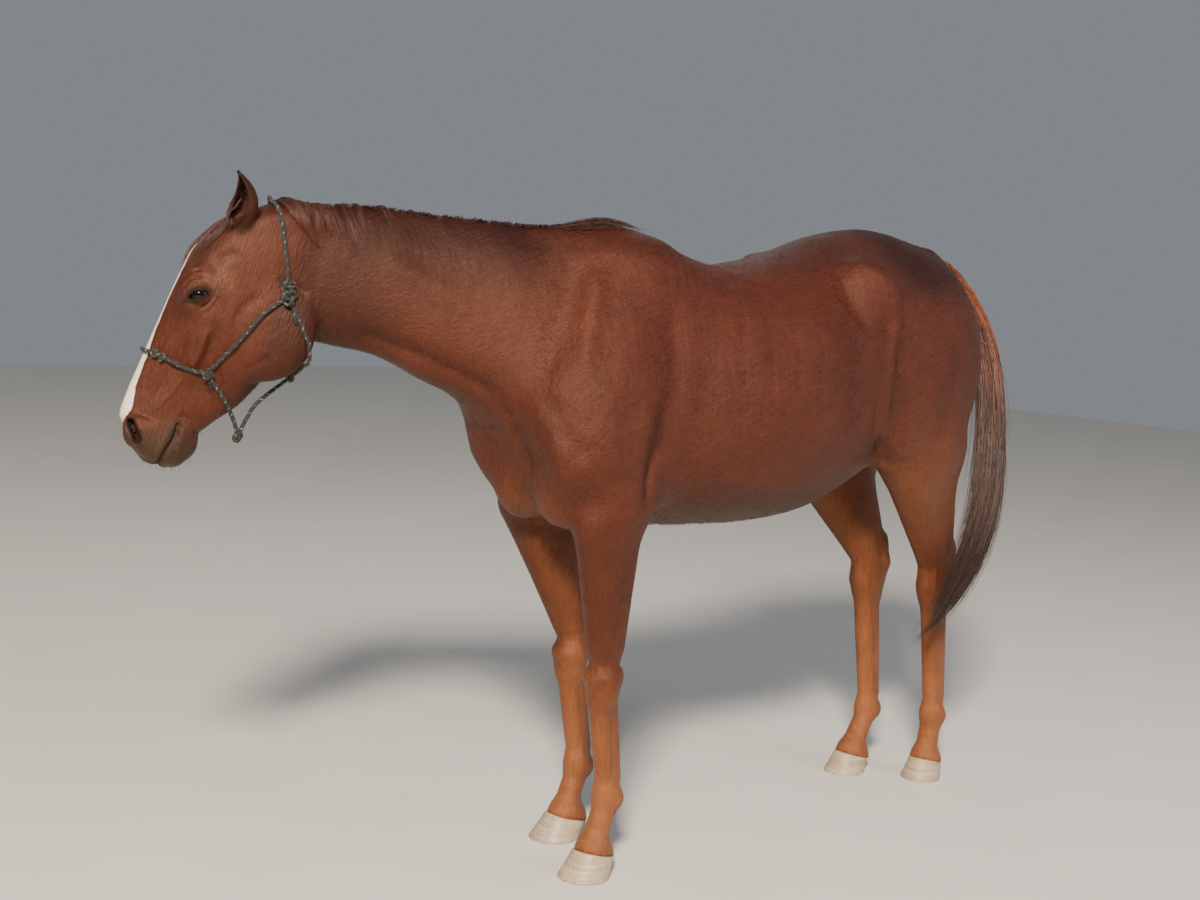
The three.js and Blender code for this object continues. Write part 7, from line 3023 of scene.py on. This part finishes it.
    def ends(self, knots: Locks, yarn: float) -> None:
        """Short cut ends that stick out of the knots, frayed at their tips.

        Args:
            knots: The knots, which get more yarns.
            yarn: A yarn's half thickness.
        """
        rng = np.random.default_rng(3)
        plans = (
            ((170, -112, 90), (192, -128, 92), (212, -140, 94)),
            ((178, -100, 90), (160, -90, 96), (150, -80, 100)),
            ((389, -16, 70), (400, -28, 72), (410, -34, 74)),
        )
        scale, k, t = 0.92, 42, shares(5)[..., None]
        for path in plans:
            line = self.laid(path)
            knots.add(self.braid(line, scale), scale * yarn, np.zeros(2), np.array(self.tones))
            ahead = unit(line[-1] - line[-3])
            spread = unit(ahead + rng.normal(0, 0.3, (k, 3)))
            start = line[-1] + rng.normal(0, 1.3, (k, 3))
            fibre = start[:, None] + t * (7.0 + 5.0 * rng.random((k, 1, 1))) * spread[:, None]
            knots.add(fibre, 0.45 * (1 - 0.6 * t[..., 0]), np.zeros(2), rng.random(k) * 0.7)


# ------------------------------------------------------------------ short coat and fine hairs


@dataclass
class ShortCoat:
    """Short flat tufts over the whole skin, longer where a horse's coat is: belly, jaw and fetlocks."""

    flesh: Flesh
    skin: bpy.types.Object
    counts: tuple[int, int, int] = (52000, 17000, 17000)
    limit: int = 19000
    seed: int = 7

    def sample(self, rng: np.random.Generator, mask: Callable[[Array], Array], count: int) -> tuple[Array, Array]:
        """Random places on the skin, by area, where a mask holds.

        Args:
            rng: Source of the draws.
            mask: Gives the weight at points of the horse.
            count: How many places.

        Returns:
            The places and the skin's normals there.
        """
        mesh = self.skin.data
        mesh.calc_loop_triangles()
        corner = np.zeros(3 * len(mesh.loop_triangles), np.int32)
        mesh.loop_triangles.foreach_get("vertices", corner)
        corner = corner.reshape(-1, 3)
        p, normal = np.zeros((2, 3 * len(mesh.vertices)))
        mesh.vertices.foreach_get("co", p)
        mesh.vertices.foreach_get("normal", normal)
        p, normal = p.reshape(-1, 3) / MM - Place.shift, normal.reshape(-1, 3)
        a, b, c = (p[corner[:, k]] for k in range(3))
        area = np.linalg.norm(np.cross(b - a, c - a), axis=1) * mask((a + b + c) / 3)
        pick = rng.choice(len(area), count, p=area / area.sum())
        u, v = rng.random(count), rng.random(count)
        flip = u + v > 1
        u[flip], v[flip] = 1 - u[flip], 1 - v[flip]
        share = np.stack([1 - u - v, u, v], axis=1)[:, :, None]
        return (p[corner[pick]] * share).sum(axis=1), unit((normal[corner[pick]] * share).sum(axis=1))

    def lie(self, p: Array) -> Array:
        """Which way the hair lies: back along the body, down the legs, down the face.

        Args:
            p: Points of the horse.

        Returns:
            A direction for each point.
        """
        trunk = np.tile([1.0, 0.0, -0.32], (len(p), 1))
        neck = (1 - smooth_step(p[:, 0], -900.0, -700.0))[:, None]
        trunk = trunk + neck * [-0.1, 0.0, -0.45]
        leg = (1 - smooth_step(p[:, 2], 640.0, 860.0))[:, None]
        way = trunk * (1 - leg) + np.array([0.12, 0.0, -1.0]) * leg
        q = HeadFrame.enter(p)
        head = (1 - smooth_step(p[:, 0], -1290.0, -1190.0))[:, None]
        back = (smooth_step(-q[:, 1], 20.0, 110.0) * (1 - smooth_step(q[:, 0], 330.0, 420.0)))[:, None]
        face = HeadFrame.DOWN * (1 - 0.75 * back) - HeadFrame.OUT * (0.25 + 0.75 * back)
        for ear in EARS.values():
            up = (1 - smooth_step(ear.away(q, 0.0), 28.0, 44.0))[:, None]
            face = face * (1 - up) + HeadFrame.way(ear.frame()[1]) * up
        return way * (1 - head) + face * head

    def sizes(self, p: Array) -> tuple[Array, Array]:
        """Each tuft's length and how far it stands off, 0 to 1.

        Args:
            p: Points of the horse.

        Returns:
            The lengths in millimetres and the shares.
        """
        down, out, left = HeadFrame.enter(p).T
        head = 1 - smooth_step(p[:, 0], -1290.0, -1190.0)
        leg = 1 - smooth_step(p[:, 2], 420.0, 700.0)
        length = 15.0 - 7.0 * np.maximum(head, leg)
        length -= 4.5 * head * smooth_step(down, 470.0, 560.0)
        belly = np.exp(-((p[:, 1] / 110.0) ** 2)) * smooth_step(p[:, 0], -760.0, -640.0)
        belly *= (1 - smooth_step(p[:, 0], 150.0, 280.0)) * smooth_step(p[:, 2], 640.0, 740.0)
        jaw = head * (1 - smooth_step(out, -118.0, -88.0)) * (1 - smooth_step(down, 400.0, 500.0))
        chin = head * (1 - smooth_step(out, -40.0, -20.0)) * smooth_step(down, 500.0, 530.0)
        # How much of each place a point belongs to, how much longer its hair is and how far it stands off.
        spots = [
            (belly * (1 - smooth_step(p[:, 2], 820.0, 905.0)), 11.0, 0.26),
            (jaw * np.exp(-((left / 45.0) ** 2)), 7.0, 0.2),
            (chin, 5.0, 0.45),
        ]
        for one in LEGS:
            r, up = p - one.hairline[0], one.hairline[1]
            crown = (np.hypot(r[:, 0], r[:, 1]) < 120.0) * np.exp(-(((r @ up - 5.0) / 9.0) ** 2))
            spots.append((crown, 5.0, 0.22))
            r = (p - one.at(one.fetlock) - [16.0, 0.0, -24.0]) * [1, 1, 0.8]
            spots.append((np.exp(-((np.linalg.norm(r, axis=1) / 30.0) ** 2)) * (r[:, 0] > -12), 15.0, 0.5))
        raised = np.full(len(p), 0.05)
        for share, more, height in spots:
            length = length + share * more
            raised = np.maximum(raised, share * height)
        return length, raised

    def build(self, tool: TuftTool, material: bpy.types.Material) -> None:
        """Makes the coat's pieces for the trunk, the head and the legs.

        Args:
            tool: The tree that makes the mesh.
            material: Its finish.
        """
        rng = np.random.default_rng(self.seed)

        def head(p: Array) -> Array:
            """Where the head's tufts grow, fewer on bare skin and none in the nostrils.

            Args:
                p: Points of the horse.

            Returns:
                A share from 0 to 1 for each point.
            """
            q = HeadFrame.enter(p)
            on = (p[:, 0] < HEAD_PLANE) & (q[:, 0] <= 590) & (Marks.nostril(q) < 0.2)
            return on * (1 - 0.8 * Marks.bare(p))

        def legs(p: Array) -> Array:
            """Where the legs' tufts grow."""
            return (p[:, 2] < LEG_TUFTS).astype(float)

        def trunk(p: Array) -> Array:
            """Where the trunk's and neck's tufts grow."""
            return ((p[:, 0] >= HEAD_PLANE) & (p[:, 2] >= LEG_TUFTS)).astype(float)

        shape = {"Width": 0.06, "Thickness": 0.013, "Arch": 0.1, "Material": material}
        for name, mask, count in zip(("trunk", "head", "legs"), (trunk, head, legs), self.counts):
            p, normal = self.sample(rng, mask, count)
            length, raised = self.sizes(p)
            length = length * rng.uniform(0.75, 1.2, count)
            way = self.lie(p) + rng.normal(0, 0.13, (count, 3))
            way = unit(way - (way * normal).sum(axis=1)[:, None] * normal)
            tip = self.flesh.settle(p + way * length[:, None], self.flesh.distance(p) + 0.3, 1, 8.0)
            way = unit(unit(tip - p) + (raised * rng.uniform(0.4, 1.3, count))[:, None] * normal)
            u, v = Chart.place(self.flesh, p).T
            for n in range(math.ceil(count / self.limit)):
                part = slice(n * self.limit, (n + 1) * self.limit)
                mesh = new_mesh("roots", p[part] - 0.5 * normal[part])
                for label, values in (("lie", way), ("out", normal)):
                    layer = mesh.attributes.new(label, "FLOAT_VECTOR", "POINT")
                    layer.data.foreach_set("vector", values[part].astype(np.float32).ravel())
                tones = rng.uniform(-0.3, 0.3, count)
                for label, values in (("size", length * MM), ("root_u", u), ("root_v", v), ("tone", tones)):
                    put_attribute(mesh, label, values[part])
                Marks.put(mesh, p[part])
                made = tool.run(f"coat_{name}_{n + 1}", mesh, shape)
                dress_hair(made)
                tie(made, "coat")
                self.soften(made)

    @staticmethod
    def soften(mesh: bpy.types.Mesh) -> None:
        """Shades each tuft mostly by the skin under it, as hairs that lie together are.

        Args:
            mesh: The tufts' mesh.
        """
        own, skin = np.zeros((2, 3 * len(mesh.vertices)), np.float32)
        mesh.vertices.foreach_get("normal", own)
        mesh.attributes["out"].data.foreach_get("vector", skin)
        mesh.normals_split_custom_set_from_vertices(unit(0.25 * own.reshape(-1, 3) + skin.reshape(-1, 3)).tolist())


@dataclass
class FineHair:
    """Hair in and round the ears, lashes, and whiskers of the muzzle and eyes."""

    flesh: Flesh
    seed: int = 31

    def ears(self, locks: Locks, rng: np.random.Generator) -> None:
        """Soft hairs that fill each ear's cup, thickest at its base, and fringe its edges.

        Args:
            locks: The hairs, which get more.
            rng: Source of the random numbers.
        """
        n = 6
        t = shares(n)[..., None]
        for ear in EARS.values():
            base, axis, across, opens, length = ear.frame()
            k = 330
            v = rng.beta(1.1, 1.5, k) * 0.86 + 0.03
            wrap, middle = ear.section(v)
            angle = wrap * rng.uniform(0.45, 1.0, k) * rng.choice([-1, 1], k)
            inner = np.maximum(middle - ear.half_thickness + 0.6, 1.0)
            a = inner * np.sin(angle)
            b = -inner * np.cos(angle) * ear.depth - 14 * np.sin(math.pi * v)
            root = base + np.outer(v * length, axis) + np.outer(a, across) + np.outer(b, opens)
            way = unit(0.75 * opens + 0.75 * axis + rng.normal(0, 0.22, (k, 3)) - 0.5 * np.sign(a)[:, None] * across)
            reach = rng.uniform(9, 24, k) * (1.15 - 0.8 * v)
            q = root[:, None] + way[:, None] * (reach[:, None, None] * t) + axis * (5.0 * t**2)
            p = HeadFrame.leave(q.reshape(-1, 3)).reshape(k, n, 3)
            locks.grow(self.flesh, p, 0.5 * (1 - 0.85 * t[..., 0]), rng.random(k) * 0.6 + 0.3)

    def eyes(self, locks: Locks, rng: np.random.Generator) -> None:
        """Lashes along each upper lid, and a few long feelers above and below the eye.

        Args:
            locks: The hairs, which get more.
            rng: Source of the random numbers.
        """
        n = 6
        t = shares(n)[..., None]
        for side in Side:
            socket = EyeSocket(side)
            edge = socket.edge(160)[4:76]
            k = 70
            root = edge[rng.integers(0, len(edge), k)] + 0.8 * socket.up
            way = unit(0.9 * socket.gaze - 0.15 * socket.up + rng.normal(0, 0.14, root.shape))
            q = root[:, None] + way[:, None] * (rng.uniform(9, 15, (k, 1, 1)) * t) - socket.up * (3.0 * t**2)
            p = HeadFrame.leave(q.reshape(-1, 3)).reshape(k, n, 3)
            locks.grow(self.flesh, p, 0.34 * (1 - 0.85 * t[..., 0]), rng.random(k) * 0.3)
            k = 10
            turn = rng.uniform(0, 2 * math.pi, k)
            flat = np.cos(turn)[:, None] * socket.along * 26 + np.sin(turn)[:, None] * socket.up * 22
            root = self.flesh.settle(HeadFrame.leave(socket.centre + flat + 18 * socket.gaze), -COAT_DEPTH, 5, 10.0)
            way = unit(HeadFrame.way(socket.gaze) + rng.normal(0, 0.25, (k, 3)))
            p = root[:, None] + way[:, None] * (rng.uniform(22, 38, (k, 1, 1)) * t)
            p[..., 2] -= 5.0 * t[..., 0] ** 2
            locks.grow(self.flesh, p, 0.16 * (1 - 0.8 * t[..., 0]), rng.random(k) * 0.3)

    def muzzle(self, locks: Locks, rng: np.random.Generator) -> None:
        """Whiskers on the lips and chin.

        Args:
            locks: The hairs, which get more.
            rng: Source of the random numbers.
        """
        k, t = 110, shares(7)[..., None]
        down, out = rng.uniform(505, 600, k), rng.uniform(-70, 40, k)
        spot = np.stack([down, out, rng.choice([-1, 1], k) * rng.uniform(8, 48, k)], axis=1)
        spot = spot[Marks.nostril(spot) < 0.1]
        root = self.flesh.settle(HeadFrame.leave(spot), -COAT_DEPTH, 7, 14.0)
        root = root[Marks.nostril(HeadFrame.enter(root)) < 0.1]
        k = len(root)
        _, slope = self.flesh.gradient(root)
        way = unit(unit(slope) + 0.35 * HeadFrame.DOWN + rng.normal(0, 0.22, (k, 3)))
        p = root[:, None] + way[:, None] * (rng.uniform(14, 38, (k, 1, 1)) * t)
        p[..., 2] -= 8.0 * t[..., 0] ** 2
        locks.grow(self.flesh, p, 0.22 * (1 - 0.8 * t[..., 0]), rng.random(k) * 0.4)

    def build(self, tool: LockTool, material: bpy.types.Material) -> bpy.types.Object:
        """Makes them all as one piece.

        Args:
            tool: The tree that makes the mesh.
            material: Its finish.

        Returns:
            The piece.
        """
        rng = np.random.default_rng(self.seed)
        locks = Locks("fine_hair", "long_hair")
        self.ears(locks, rng)
        self.eyes(locks, rng)
        self.muzzle(locks, rng)
        return locks.build(tool, material)


# ------------------------------------------------------------------ studio


@dataclass
class Studio:
    """A pale floor, soft lights and the camera."""

    lens: float = 49.92
    eye: tuple[float, float, float] = (-3197.0, -2826.0, 1390.0)
    yaw: float = math.radians(42.7)
    pitch: float = math.atan(183.7 / 1664)
    roll: float = math.radians(3.4)

    def camera(self) -> None:
        """Stands the camera in front and to the left, at the height of the horse's back."""
        data = bpy.data.cameras.new("camera")
        data.lens, data.sensor_width, data.clip_end = self.lens, 36.0, 60.0
        camera = bpy.data.objects.new("camera", data)
        bpy.context.scene.collection.objects.link(camera)
        level = np.array([math.sin(self.yaw), math.cos(self.yaw), 0.0])
        right = np.array([math.cos(self.yaw), -math.sin(self.yaw), 0.0])
        ahead = level * math.cos(self.pitch) - np.array([0, 0, math.sin(self.pitch)])
        up = np.cross(right, ahead)
        turned = right * math.cos(self.roll) + up * math.sin(self.roll)
        raised = up * math.cos(self.roll) - right * math.sin(self.roll)
        at = Place.metres(np.array(self.eye))
        axes = np.stack([turned, raised, -ahead], axis=1)
        camera.matrix_world = Matrix([*([*row, c] for row, c in zip(axes, at)), [0, 0, 0, 1]])
        bpy.context.scene.camera = camera

    @staticmethod
    def light(name: str, at: Point, towards: Point, size: float, power: float, colour: str) -> None:
        """Hangs a square soft light.

        Args:
            name: The light's name.
            at: Its place in metres.
            towards: The point it shines on.
            size: The length of its side in metres.
            power: Its power in watts.
            colour: Its colour as a hash and six digits.
        """
        data = bpy.data.lights.new(name, "AREA")
        data.shape, data.size, data.energy, data.color = "SQUARE", size, power, linear(colour)[:3]
        lamp = bpy.data.objects.new(name, data)
        lamp.location = at
        lamp.rotation_euler = (Vector(towards) - Vector(at)).to_track_quat("-Z", "Y").to_euler()
        bpy.context.scene.collection.objects.link(lamp)

    def room(self) -> None:
        """Lays the floor and hangs the lights."""
        mesh = bpy.data.meshes.new("floor")
        half = 14.0
        mesh.from_pydata([(-half, -half, 0), (half, -half, 0), (half, half, 0), (-half, half, 0)], [], [(0, 1, 2, 3)])
        floor = bpy.data.objects.new("floor", mesh)
        bpy.context.scene.collection.objects.link(floor)
        it = Finish("pale_matt_floor", Roughness=0.9)
        uneven = it.add(NOISE, Vector=it.place, Scale=3.0, Detail=3.0)[0]
        it.feed("Base Color", it.add(MIX, "RGBA", n0=uneven, n6=linear("#cfccc6"), n7=linear("#d8d5cf"))[2])
        mesh.materials.append(it.material)
        self.light("key", (-6.2, -5.6, 6.1), (0.0, 0.0, 0.9), 1.4, 2400.0, "#fff1de")
        self.light("fill", (2.6, -4.6, 3.2), (0.2, 0.0, 0.9), 2.6, 95.0, "#f7f5ff")
        self.light("back", (2.6, 3.6, 3.8), (0.0, 0.0, 1.0), 2.5, 14.0, "#ffffff")
        world = bpy.data.worlds.new("soft_sky")
        world.use_nodes = True
        sky = world.node_tree.nodes["Background"]
        sky.inputs[0].default_value, sky.inputs[1].default_value = linear("#dfe6ee"), 0.31
        bpy.context.scene.world = world


def main() -> None:
    """Dresses the horse, piece by piece, and sets the studio round it."""
    logging.basicConfig(level=logging.INFO, format="%(name)s: %(message)s")
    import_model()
    Place.read()
    studio = Studio()
    studio.camera()
    studio.room()
    flesh = Flesh()
    body = Skin(flesh).build()
    hide = ChestnutCoat().make()
    body.data.materials.append(hide)
    Eyes().build()
    Hooves().build()
    locks = LockTool()
    chestnut_hair = LongHair("mane_hair_keratin", "#34150e", "#3f1e15", "#552c1d").make()
    tail_hair = LongHair("tail_hair_keratin", "#7f4326", "#49302a", "#3f281d").make()
    Mane(flesh).build(locks, chestnut_hair)
    Forelock(flesh).build(locks, chestnut_hair)
    Tail().build(locks, tail_hair)
    FineHair(flesh).build(locks, LongHair("dark_fine_keratin", "#1c100c", "#2e1a12", "#4a2c1c").make())
    Halter(flesh).build(locks, BraidedPolyester().make())
    ShortCoat(flesh, body).build(TuftTool(), hide)


if __name__ == "__main__":
    main()
